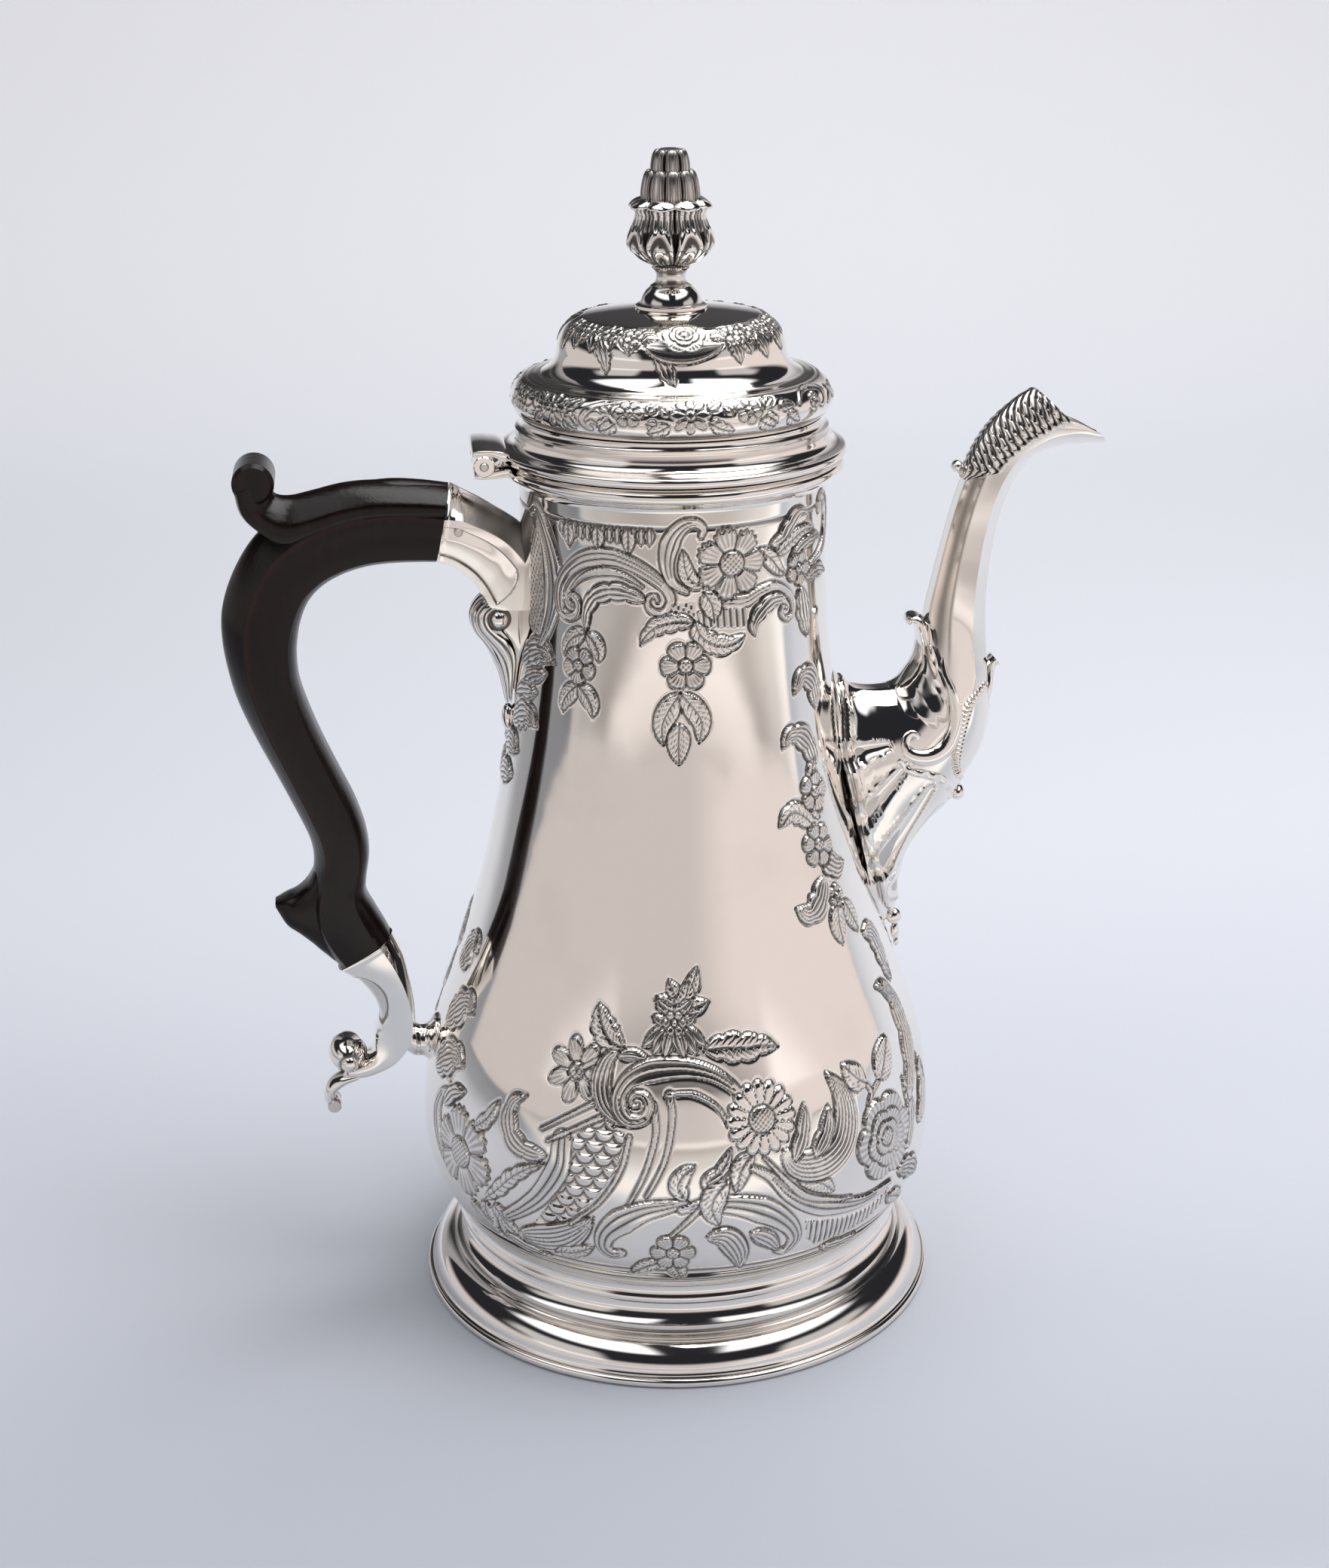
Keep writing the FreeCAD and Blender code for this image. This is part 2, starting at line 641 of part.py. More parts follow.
def make_finial():
    """Makes the finial's base, cup and bud, and the stud and nut that hold them to the lid."""
    bore = "stud_radius + pin_fit"
    revolved("finial_base", [
        (bore, "crown"),
        ("base_radius", "crown"),
        ("base_radius", "crown + base_ring"),
        ("base_radius - base_ring", "crown + base_ring", bow("bell_height / 4")),
        ("bell_top", "stem_foot"),
        ("bell_top", "stem_foot + base_ring"),
        ("stem_radius + base_ring / 2", "stem_foot + base_ring", bow("-base_ring / 2")),
        ("cup_foot", "cup_floor"),
        (bore, "cup_floor")])
    cup = revolved("finial_cup", [
        (bore, "cup_floor"),
        ("cup_foot", "cup_floor", bow("cup_swell / 5")),
        ("cup_radius", "cup_floor + cup_swell", bow("cup_swell / 7")),
        ("cup_waist", "leaf_floor", bow("-leaf_height / 8")),
        ("leaf_reach", "leaf_top"),
        ("bud_radius", "leaf_top"),
        ("bud_radius", "leaf_top - leaf_height / 4"),
        ("0", "leaf_top - leaf_height / 4"),
        ("0", "cup_floor + stud_in_cup"),
        (bore, "cup_floor + stud_in_cup")])
    notch = discs(cup, "leaf_notch_outline", [("leaf_reach + leaf_notch / 3", "0")], "leaf_notch",
                  "XY_Plane", ("0", "leaf_floor + leaf_height / 3", "0"))
    cut = extrude(cup, "Pocket", "leaf_notch", notch, "leaf_height", symmetric=False, reverse=True)
    ring = cup.newObject("PartDesign::PolarPattern", "leaf_notches")
    ring.Originals = [cut]
    axis = next(f for f in cup.Origin.OriginFeatures if f.Role == "Z_Axis")
    ring.Axis = (axis, [""])
    ring.Angle = 360
    ring.Occurrences = int(SIZES["leaf_count"])
    ring.setExpression("Occurrences", bound("leaf_count"))
    cup.Tip = ring
    bud_foot = "leaf_top - leaf_height / 4"
    revolved("finial_bud", [
        ("0", bud_foot),
        ("bud_radius - pin_fit", bud_foot, bow("bud_height / 20")),
        ("bud_shoulder", f"{bud_foot} + bud_height"),
        ("bud_tip", f"{bud_foot} + bud_height", bow("bud_tip_height / 6")),
        ("bud_flat", f"{bud_foot} + bud_height + bud_tip_height"),
        ("0", f"{bud_foot} + bud_height + bud_tip_height")])
    revolved("finial_stud", [
        ("0", "crown - lid_wall - stud_in_lid"),
        ("stud_radius", "crown - lid_wall - stud_in_lid"),
        ("stud_radius", "cup_floor + stud_in_cup"),
        ("0", "cup_floor + stud_in_cup")])
    nut = new_body("finial_nut")
    reach = "nut_flats / sqrt(3)"
    hexagon = [(f"{reach} * cos({60 * k})", f"{reach} * sin({60 * k})") for k in range(6)]
    lift = ("0", "crown - lid_wall - nut_height", "0")
    blank = outline(nut, "finial_nut_outline", hexagon, "XY_Plane", lift)
    extrude(nut, "Pad", "finial_nut_blank", blank, "nut_height", symmetric=False)
    hole = discs(nut, "finial_nut_hole_outline", [("0", "0")], bore, "XY_Plane", lift)
    extrude(nut, "Pocket", "finial_nut_hole", hole, "nut_height", symmetric=False, reverse=True)
    nodes["finial_nut"] = nut


def make_hinge(body_outside, lid_outside):
    """Makes the hinge: a leaf on the rim, a leaf on the lid, and the pin through their knuckles."""
    axis = [("-hinge_out", "hinge_height")]
    lower = new_body("rim_leaf")
    barrel = discs(lower, "rim_barrel_outline", axis, "barrel_radius")
    extrude(lower, "Pad", "rim_barrel", barrel, "hinge_length")
    arm = outline(lower, "rim_arm_outline", [
        ("-hinge_out", "hinge_height - barrel_radius"),
        ("-neck_radius", "hinge_height - barrel_radius - hinge_gap"),
        ("-neck_radius", "rim_height"),
        ("-hinge_out", "rim_height")])
    extrude(lower, "Pad", "rim_arm", arm, "hinge_length")
    room = discs(lower, "knuckle_room_outline", axis, "barrel_radius + hinge_gap")
    extrude(lower, "Pocket", "knuckle_room", room, "knuckle_length + 2 * hinge_gap")
    bore = discs(lower, "rim_bore_outline", axis, "pin_radius + pin_fit")
    extrude(lower, "Pocket", "rim_bore", bore, "hinge_length * 2")
    combined("Cut", "body_hinge_leaf", lower, body_outside)
    upper = new_body("lid_leaf")
    knuckle = discs(upper, "lid_knuckle_outline", axis, "barrel_radius")
    extrude(upper, "Pad", "lid_knuckle", knuckle, "knuckle_length")
    web = outline(upper, "lid_web_outline", [
        ("-hinge_out - hinge_tail", "hinge_height"),
        ("-hinge_out + hinge_tail", "hinge_height"),
        ("-hinge_out + hinge_tail", "hinge_roof"),
        ("-hinge_out - hinge_tail", "hinge_roof")])
    extrude(upper, "Pad", "lid_web", web, "knuckle_length")
    plate = outline(upper, "lid_plate_outline", [
        ("-hinge_out - hinge_tail", "hinge_roof"),
        ("-neck_radius", "hinge_roof"),
        ("-neck_radius", "hinge_roof + hinge_plate"),
        ("-hinge_out - hinge_tail", "hinge_roof + hinge_plate")])
    extrude(upper, "Pad", "lid_plate", plate, "hinge_length")
    run = discs(upper, "lid_bore_outline", axis, "pin_radius + pin_fit")
    extrude(upper, "Pocket", "lid_bore", run, "hinge_length * 2")
    combined("Cut", "lid_hinge_leaf", upper, lid_outside)
    pin = new_body("hinge_pin")
    rod = discs(pin, "hinge_pin_outline", axis, "pin_radius")
    extrude(pin, "Pad", "hinge_pin_rod", rod, "hinge_length + 2 * pin_proud")
    nodes["hinge_pin"] = pin


UPPER_JOINT = ("-upper_joint_out", "upper_joint_height", "upper_joint_tilt")
LOWER_JOINT = ("-lower_joint_out", "lower_joint_height", "-lower_joint_tilt")
UPPER_FACE = ("upper_joint_depth", "grip_width")
LOWER_FACE = ("lower_joint_depth", "lower_joint_width")


def pin_spot(station, way):
    """Formulas of a cross pin's place, inset from a joint along the joint's axis."""
    out, height, tilt = station
    return [(f"{out} + ({way}) * lock_pin_inset * cos({tilt})",
             f"{height} - ({way}) * lock_pin_inset * sin({tilt})")]


UPPER_PIN = pin_spot(UPPER_JOINT, "1")
LOWER_PIN = pin_spot(LOWER_JOINT, "-1")


def lock_hole(body, name, spot):
    """Bores a cross pin's hole through a piece."""
    hole = discs(body, f"{name}_outline", spot, "lock_hole")
    extrude(body, "Pocket", name, hole, "grip_width * 2")


def make_grip():
    """Makes the wooden grip with its tenons, thumb scroll and spur, and the two cross pins."""
    grip = new_body("handle_grip")

    def bend(name, angle, depth):
        """A section on the bend, at an angle round from its top."""
        station = (f"-bend_out - grip_bend * sin({angle})",
                   f"bend_height + grip_bend * cos({angle})", f"-({angle})")
        return section(grip, name, station, (depth, "grip_width"), "grip_round")

    mean_depth = "(grip_top_depth + grip_back_depth) / 2"
    sections = [
        section(grip, "grip_at_joint", UPPER_JOINT, UPPER_FACE, "grip_round"),
        bend("grip_at_top", "0", "grip_top_depth"),
        bend("grip_at_third", "grip_turn / 3", mean_depth),
        bend("grip_at_back", "grip_turn * 2 / 3", "grip_back_depth"),
        bend("grip_at_turn", "grip_turn", "(grip_back_depth + grip_wrist_depth) / 2"),
        section(grip, "grip_at_run", ("-run_out", "run_height", "-grip_turn"),
                ("grip_wrist_depth", "grip_width"), "grip_round"),
        section(grip, "grip_at_wrist", ("-wrist_out", "wrist_height", "-wrist_tilt"),
                ("grip_wrist_depth", "(grip_width + lower_joint_width) / 2"), "lower_joint_round"),
        section(grip, "grip_at_foot", LOWER_JOINT, LOWER_FACE, "lower_joint_round")]
    loft(grip, "AdditiveLoft", "grip_bow", sections)
    scroll = outline(grip, "thumb_outline", [
        ("-bend_out", "grip_level"),
        ("-bend_out", "grip_level + grip_top_depth / 2", bow("-thumb_radius / 3")),
        ("-thumb_out + thumb_radius * cos(45)", "thumb_height - thumb_radius * sin(45)",
         arc("thumb_radius")),
        ("-thumb_out", "thumb_height + thumb_radius", arc("thumb_radius")),
        ("-thumb_out - thumb_radius", "thumb_height", bow("thumb_radius / 3")),
        ("-thumb_out + thumb_radius / 4", "thumb_height - thumb_radius * 2.3"),
        ("-bend_out - grip_bend / 2", "grip_level - thumb_radius")])
    extrude(grip, "Pad", "thumb_scroll", scroll, "thumb_width")
    spur = outline(grip, "spur_outline", [
        ("-lower_joint_out", "lower_joint_height + tenon_fit"),
        ("-wrist_out", "wrist_height"),
        ("-wrist_out - grip_wrist_depth / 2", "wrist_height + lower_joint_round", bow("-spur_width / 8")),
        ("-spur_out", "spur_height + lower_joint_round / 2", bow("lower_joint_round / 3")),
        ("-spur_out + lower_joint_round / 4", "spur_height - lower_joint_round / 2"),
        ("-lower_joint_out - lower_joint_depth / 2 * sin(lower_joint_tilt)",
         "lower_joint_height + lower_joint_depth / 2 * cos(lower_joint_tilt) + tenon_fit")])
    extrude(grip, "Pad", "spur", spur, "spur_width")
    for name, joint, reverse in (("upper", UPPER_JOINT, False), ("lower", LOWER_JOINT, True)):
        end = section(grip, f"{name}_tenon_outline", joint, ("tenon_depth", "tenon_width"), "1")
        extrude(grip, "Pad", f"{name}_tenon", end, "tenon_length", symmetric=False, reverse=reverse)
    lock_hole(grip, "upper_tenon_hole", UPPER_PIN)
    lock_hole(grip, "lower_tenon_hole", LOWER_PIN)
    nodes["handle_grip"] = grip
    for name, spot, length in (("upper_handle_pin", UPPER_PIN, "grip_width"),
                               ("lower_handle_pin", LOWER_PIN, "lower_joint_width")):
        pin = new_body(name)
        rod = discs(pin, f"{name}_outline", spot, "lock_pin_radius")
        extrude(pin, "Pad", f"{name}_rod", rod, f"{length} + 2 * pin_proud")
        nodes[name] = pin


def mortise(socket, name, joint, reverse):
    """Cuts the pocket for a tenon into a socket."""
    mouth = section(socket, f"{name}_outline", joint, ("tenon_hole_depth", "tenon_hole_width"), "1")
    extrude(socket, "Pocket", name, mouth, "tenon_length + tenon_fit", symmetric=False,
            reverse=reverse)


def make_upper_socket(body_outside):
    """Makes the upper socket and the volute bracket under it."""
    cast = new_body("upper_cast")
    sections = [
        section(cast, "socket_mouth", UPPER_JOINT, UPPER_FACE, "grip_round"),
        section(cast, "socket_bend", ("-socket_bend_out", "socket_bend_height", "upper_joint_tilt"),
                ("socket_bend_depth", "(grip_width + socket_end_width) / 2"), "grip_round"),
        section(cast, "socket_end", ("-neck_radius + body_wall", "socket_end_height",
                                     "upper_joint_tilt / 2"),
                ("socket_end_depth", "socket_end_width"), "grip_round")]
    loft(cast, "AdditiveLoft", "socket_arm", sections)
    mortise(cast, "upper_mortise", UPPER_JOINT, reverse=True)
    lock_hole(cast, "upper_lock_hole", UPPER_PIN)
    socket = combined("Cut", "upper_socket", cast, body_outside)
    leaf = new_body("bracket_cast")
    blade = outline(leaf, "bracket_outline", [
        ("-neck_radius", "bracket_foot"),
        ("-neck_radius", "volute_height + volute_radius"),
        ("-volute_out - volute_radius", "volute_height + volute_radius * 1.4", bow("volute_radius / 4")),
        ("-volute_out - volute_radius * 1.4", "volute_height", bow("-volute_radius / 4")),
        ("-volute_out - drop_radius / 2", "bracket_foot + volute_radius * 2.4", bow("-drop_radius / 4")),
        ("-volute_out", "bracket_foot + drop_radius * 2.5", bow("drop_radius / 2")),
        ("-volute_out + drop_radius / 2", "bracket_foot")])
    extrude(leaf, "Pad", "bracket_blade", blade, "bracket_width")
    centre = [("-volute_out", "volute_height")]
    roll = discs(leaf, "volute_outline", centre, "volute_radius")
    extrude(leaf, "Pad", "volute", roll, "volute_width")
    eye = discs(leaf, "volute_eye_outline", centre, "volute_radius / 2")
    extrude(leaf, "Pad", "volute_eye", eye, "volute_width + volute_radius / 2")
    trimmed = combined("Cut", "bracket_on_body", leaf, body_outside, keep=False)
    combined("Cut", "upper_scroll_bracket", trimmed, socket)


def make_lower_socket(body_outside):
    """Makes the lower socket, its rolled scroll, and the strut that stands it off the body."""
    cast = new_body("lower_cast")
    shank = ("shank_depth", "shank_width")
    sections = [
        section(cast, "shank_mouth", LOWER_JOINT, LOWER_FACE, "lower_joint_round"),
        section(cast, "shank_middle", ("-shank_out", "shank_height", "-lower_joint_tilt + 20"),
                shank, "shank_round"),
        section(cast, "shank_foot", ("-shank_out", "shank_foot_height", "-lower_joint_tilt / 2"),
                shank, "shank_round")]
    loft(cast, "AdditiveLoft", "shank", sections)
    mortise(cast, "lower_mortise", LOWER_JOINT, reverse=False)
    lock_hole(cast, "lower_lock_hole", LOWER_PIN)
    nodes["lower_socket"] = cast
    scroll = new_body("scroll_cast")
    band = outline(scroll, "scroll_outline", [
        ("-shank_out + shank_depth / 3", "shank_foot_height - shank_depth / 4"),
        ("-shank_out", "shank_foot_height + shank_depth / 4"),
        ("-shank_out - shank_depth / 3", "shank_foot_height + shank_depth / 3", bow("-shank_round / 3")),
        ("-roll_out + roll_radius / 2", "roll_height"),
        ("-roll_out", "roll_height - roll_radius / 2"),
        ("-tail_out", "(roll_height + tail_height) / 2 + tail_radius"),
        ("-tail_out - tail_radius * 1.4", "tail_height + tail_radius * 2", bow("tail_radius / 3")),
        ("-tail_out - tail_radius", "tail_height", arc("tail_radius * 1.02")),
        ("-tail_out + tail_radius", "tail_height", bow("-tail_radius / 2")),
        ("-roll_out + roll_radius", "roll_height - roll_radius * 1.7", bow("shank_round / 3"))])
    extrude(scroll, "Pad", "scroll_band", band, "tail_width")
    centre = [("-roll_out", "roll_height")]
    roll = discs(scroll, "roll_outline", centre, "roll_radius")
    extrude(scroll, "Pad", "roll", roll, "roll_width")
    eye = discs(scroll, "roll_eye_outline", centre, "roll_radius / 2")
    extrude(scroll, "Pad", "roll_eye", eye, "roll_width + roll_radius / 2")
    combined("Cut", "lower_scroll", scroll, cast)
    spool = new_body("strut_cast")
    half = outline(spool, "strut_outline", [
        ("-shank_out + shank_depth / 3", "0"),
        ("-belly_radius + body_wall * 4", "0"),
        ("-belly_radius + body_wall * 4", "strut_plate"),
        ("-belly_radius + body_wall", "strut_plate", bow("-body_wall")),
        ("-shank_out + shank_depth / 3", "strut_radius")], offset=("strut_height", "0", "0"))
    turned = feature(spool, "Revolution", "strut_turned", half)
    turned.ReferenceAxis = (half, ["H_Axis"])
    trimmed = combined("Cut", "strut_on_body", spool, body_outside, keep=False)
    combined("Cut", "lower_strut", trimmed, cast)


# Stations of the spout: out, height, tilt, depth, width and the cut of its corners.
SPOUT = [
    ("neck_radius", "spout_root_height", "0", "spout_root", "spout_root_width / 2.6", False),
    ("spout_swell_out", "spout_swell_height", "-5", "spout_swell", "spout_swell_width / 2.6", False),
    ("spout_bulb_out", "spout_bulb_height", "-22", "spout_bulb", "spout_bulb_width / 2.6", False),
    ("spout_throat_out", "spout_throat_height", "-62", "spout_throat", "spout_throat_width / 3", True),
    ("spout_neck_out", "spout_neck_height", "-82", "spout_neck", "spout_neck_width / 3.4", True),
    ("spout_top_out", "spout_top_height", "-71", "spout_top", "spout_top_width / 3.4", True),
    ("spout_bend_out", "spout_bend_height", "-53", "spout_bend", "spout_bend_width / 3.4", True),
    ("spout_lip_out", "spout_lip_height", "-24", "spout_lip", "spout_lip_width / 3.4", True),
    ("spout_tip_out", "spout_tip_height + spout_tip_depth / 2 - spout_wall", "-12", "spout_tip",
     "spout_tip_width / 3.4", True),
]


def spout_sections(body, prefix, stations, grown):
    """Sections of the spout, grown or shrunk all round by a formula."""
    made = []
    for out, height, tilt, size, corner, faceted in stations:
        grown_size = (f"{size}_depth + 2 * ({grown})", f"{size}_width + 2 * ({grown})")
        name = f"{prefix}_{size}"
        made.append(section(body, name, (out, height, tilt), grown_size, corner, faceted))
    return made


# Flutes on each side of the spout's base: place of the narrow end and how far across the base it
# lies, then the same for the wide end.
FLUTES = [
    ("spout_swell_out - 5.6", "spout_bulb_height - 4", 0.5,
     "neck_radius + 6.1", "spout_root_height + 13.1", 0.51),
    ("spout_swell_out - 1.6", "spout_bulb_height - 9.9", 0.5,
     "neck_radius + 7.9", "spout_root_height - 0.1", 0.51),
    ("spout_swell_out + 5.1", "spout_bulb_height - 13.5", 0.49,
     "neck_radius + 11.8", "spout_root_height - 11.7", 0.5),
    ("spout_swell_out + 10", "spout_bulb_height - 16", 0.47,
     "neck_radius + 20.6", "spout_root_height - 12.4", 0.44),
]

MOUTH = [
    ("leaf_curl_out", "leaf_curl_height"),
    ("spout_tip_out", "spout_tip_height"),
    ("spout_tip_out * 1.2", "spout_tip_height"),
    ("spout_tip_out * 1.2", "leaf_curl_height + spout_lip_depth"),
    ("leaf_curl_out", "leaf_curl_height + spout_lip_depth"),
]


def flute(name, side, narrow, wide):
    """A tapering scoop with round ends, on the near (-1) or far (1) side of the spout."""
    ends = []
    for label, (out, height, across), radius in (("narrow", narrow, "flute_narrow"),
                                                 ("wide", wide, "flute_wide")):
        depth = f"{side} * ({across} * spout_swell_width + {radius} - flute_depth)"
        ends.append((out, depth, height))
        ends.append(primitive("Sphere", f"{name}_{label}", Radius=radius, at_x=out, at_y=depth,
                              at_z=height))
    far, far_ball, near, near_ball = ends
    run, lift, rise = (f"(({a}) - ({b}))" for a, b in zip(far, near))
    flat = f"sqrt({run}^2 + {lift}^2)"
    length = f"sqrt({run}^2 + {lift}^2 + {rise}^2)"
    taper = primitive("Cone", f"{name}_taper", Radius1="flute_wide", Radius2="flute_narrow",
                      Height=length, at_x=near[0], at_y=near[1], at_z=near[2])
    taper.setExpression("Placement.Rotation.Axis.x", place(f"-{lift} / {flat}")[0])
    taper.setExpression("Placement.Rotation.Axis.y", place(f"{run} / {flat}")[0])
    taper.setExpression("Placement.Rotation.Axis.z", place("0")[0])
    taper.setExpression("Placement.Rotation.Angle", place(f"acos({rise} / {length})")[0])
    return [taper, far_ball, near_ball]


def make_spout(body_outside):
    """Makes the two halves of the spout and the leaves and drop laid on them."""
    outside = new_body("spout_outside")
    loft(outside, "AdditiveLoft", "spout_form", spout_sections(outside, "form", SPOUT, "0"))
    mouth = outline(outside, "mouth_outline", MOUTH)
    extrude(outside, "Pocket", "mouth", mouth, "spout_root_width * 2")
    bore = new_body("spout_bore")
    loft(bore, "AdditiveLoft", "bore_form", spout_sections(bore, "bore", SPOUT, "-spout_wall"))
    hollow = combined("Cut", "spout_hollow", outside, bore, keep=False)
    pipe = combined("Cut", "spout_pipe", hollow, body_outside, keep=False)
    for name, side in (("spout_left_half", 1), ("spout_right_half", -1)):
        room = primitive("Box", f"{name}_room", Length="spout_tip_out * 1.2",
                         Width="spout_root_width", Height="leaf_curl_height * 1.2",
                         at_y=f"(({side}) - 1) / 2 * spout_root_width")
        half = combined("Common", f"{name}_plain", pipe, room, keep=False)
        scoops = doc.addObject("Part::MultiFuse", f"{name}_flutes")
        scoops.Shapes = [solid for number, spots in enumerate(FLUTES, start=1)
                         for solid in flute(f"{name}_flute_{number}", side, spots[:3], spots[3:])]
        combined("Cut", name, half, scoops)
    leaf = new_body("lip_leaf_cast")
    shell = spout_sections(leaf, "leaf", SPOUT[5:8], "leaf_thickness")
    loft(leaf, "AdditiveLoft", "leaf_form", shell)
    below = outline(leaf, "leaf_edge", [
        ("leaf_root_out - spout_top_depth", "leaf_root_height - spout_top_depth * 3"),
        ("spout_tip_out", "leaf_root_height - spout_top_depth * 3"),
        ("spout_tip_out", "spout_lip_height"),
        ("spout_lip_out", "spout_lip_height - leaf_thickness"),
        ("(leaf_root_out + spout_lip_out) / 2", "leaf_root_height + leaf_thickness"),
        ("leaf_root_out", "leaf_root_height"),
        ("leaf_root_out - spout_top_depth", "leaf_root_height")])
    extrude(leaf, "Pocket", "leaf_trim", below, "spout_root_width * 2")
    over = outline(leaf, "leaf_mouth_outline", MOUTH)
    extrude(leaf, "Pocket", "leaf_mouth", over, "spout_root_width * 2")
    ball = discs(leaf, "leaf_ball_outline", [("leaf_root_out", "leaf_root_height + leaf_ball")],
                 "leaf_ball")
    extrude(leaf, "Pad", "leaf_ball_roll", ball, "leaf_ball * 3")
    combined("Cut", "spout_lip_leaf", leaf, outside)
    curl = new_body("curl_cast")
    blade = outline(curl, "curl_outline", [
        ("spout_swell_out", "spout_swell_height + spout_swell_depth * 0.4"),
        ("spout_neck_out", "spout_throat_height"),
        ("spout_neck_out", "spout_neck_height"),
        ("curl_out + curl_width / 2.5", "curl_height + curl_width / 8", bow("curl_width / 14")),
        ("curl_out", "curl_height", bow("-curl_width / 9")),
        ("curl_out + curl_width / 4", "curl_height - curl_width * 0.7", bow("-curl_width / 9"))])
    extrude(curl, "Pad", "curl_blade", blade, "curl_width")
    combined("Cut", "spout_acanthus", curl, outside)
    prow = new_body("prow_cast")
    ridge = outline(prow, "prow_outline", [
        ("spout_bulb_out", "spout_bulb_height - spout_bulb_depth / 2"),
        ("spout_bulb_out + prow_width * 0.7", "spout_bulb_height - spout_bulb_depth * 0.58",
         bow("prow_width / 3")),
        ("prow_out - leaf_thickness", "prow_height - prow_width"),
        ("prow_out", "prow_height"),
        ("prow_out - leaf_thickness * 2", "prow_height + leaf_thickness * 2"),
        ("spout_throat_out", "spout_throat_height")])
    extrude(prow, "Pad", "prow_blade", ridge, "prow_width")
    combined("Cut", "spout_front_leaf", prow, outside)


def make_drop(body_outside):
    """Makes the bead and pointed drop on the body below the spout."""
    out = neck_at("drop_height")
    bead = primitive("Sphere", "drop_bead", Radius="drop_radius", at_x=f"{out} + drop_radius / 2",
                     at_z="drop_height")
    point = primitive("Cone", "drop_point", Radius1="drop_radius / 5", Radius2="drop_radius * 0.8",
                      Height="drop_length", at_x=f"{neck_at('drop_height - drop_length')} + 0.2",
                      at_z="drop_height - drop_length")
    drop = combined("Fuse", "drop_cast", bead, point, keep=False)
    combined("Cut", "spout_drop", drop, body_outside)


outside_of_body = make_body()
outside_of_lid = make_lid()
make_finial()
make_hinge(outside_of_body, outside_of_lid)
make_grip()
make_upper_socket(outside_of_body)
make_lower_socket(outside_of_body)
make_spout(outside_of_body)
make_drop(outside_of_body)

doc.recompute()
for item in doc.Objects:
    if "Invalid" in item.State or "Error" in item.State:
        raise RuntimeError(f"{item.Label} failed: {item.State}")
for label, item in nodes.items():
    item.Label = label
    if item.Shape.isNull() or not item.Shape.isValid():
        raise RuntimeError(f"{label} has no valid shape")
os.makedirs("parts", exist_ok=True)
for label, item in nodes.items():
    item.Shape.exportStep(f"parts/{label}.step")
    print(f"{label}: {item.Shape.Volume:.1f} mm3, {len(item.Shape.Solids)} solid(s)")
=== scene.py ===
"""Looks of a silver coffee pot with a chased body, a cast spout and a dark wooden handle.

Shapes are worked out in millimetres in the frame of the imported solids: +Z up, the spout to +X,
the handle to -X, and the side that is seen to -Y. Angles round the pot are in degrees from -Y,
towards the spout.
"""

import logging
import math
from dataclasses import dataclass, field
from enum import Enum
from typing import Callable, ClassVar, Protocol, Sequence

import bmesh
import bpy
import numpy as np
from mathutils import Matrix, Vector


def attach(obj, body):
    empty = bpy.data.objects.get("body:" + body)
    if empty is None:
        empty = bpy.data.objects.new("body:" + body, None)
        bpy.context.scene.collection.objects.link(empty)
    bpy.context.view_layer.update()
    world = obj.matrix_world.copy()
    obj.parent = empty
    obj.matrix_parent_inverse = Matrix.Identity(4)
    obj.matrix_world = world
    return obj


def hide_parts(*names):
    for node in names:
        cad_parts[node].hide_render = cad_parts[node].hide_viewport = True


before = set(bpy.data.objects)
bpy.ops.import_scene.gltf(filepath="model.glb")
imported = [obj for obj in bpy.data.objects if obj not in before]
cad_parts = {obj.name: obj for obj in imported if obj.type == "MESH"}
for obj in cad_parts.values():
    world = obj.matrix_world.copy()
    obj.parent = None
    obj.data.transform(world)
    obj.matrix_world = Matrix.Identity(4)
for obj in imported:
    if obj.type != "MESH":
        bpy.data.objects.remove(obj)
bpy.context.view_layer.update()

log = logging.getLogger("coffee_pot")
MM = 0.001
Point = tuple[float, float]
Path = tuple[Point, ...]
Array = np.ndarray


def evenly(line: Array, count: int) -> tuple[Array, Array]:
    """Even steps along a line of points.

    Args:
        line: rows of points.
        count: how many points to give back.

    Returns:
        The length run so far at each step, and the points there.
    """
    steps = np.linalg.norm(np.diff(line, axis=0), axis=1)
    run = np.concatenate([[0.0], np.cumsum(steps)])
    even = np.linspace(0, run[-1], count)
    return even, np.stack([np.interp(even, run, column) for column in line.T], axis=1)


def heading(line: Array) -> Array:
    """The direction of a line at each of its points, one unit long."""
    slope = np.gradient(line, axis=0)
    return slope / np.linalg.norm(slope, axis=1)[:, None]


def smooth_path(points: Sequence[Sequence[float]], count: int) -> Array:
    """A curve through points, with evenly spaced samples.

    Between two points the curve is the cubic whose end slopes are half the chord of the
    neighbours on both sides.

    Args:
        points: the points to pass through, in any number of dimensions.
        count: how many samples to give back.

    Returns:
        An array of count rows.
    """
    p = np.asarray(points, float)
    ends = np.vstack([2 * p[0] - p[1], p, 2 * p[-1] - p[-2]])
    t = np.linspace(0, len(p) - 1, 40 * (len(p) - 1) + 1)
    i = np.minimum(t.astype(int), len(p) - 2)
    f = (t - i)[:, None]
    a, b, c, d = ends[i], ends[i + 1], ends[i + 2], ends[i + 3]
    curve = b + 0.5 * f * (c - a + f * (2 * a - 5 * b + 4 * c - d + f * (3 * (b - c) + d - a)))
    return evenly(curve, count)[1]


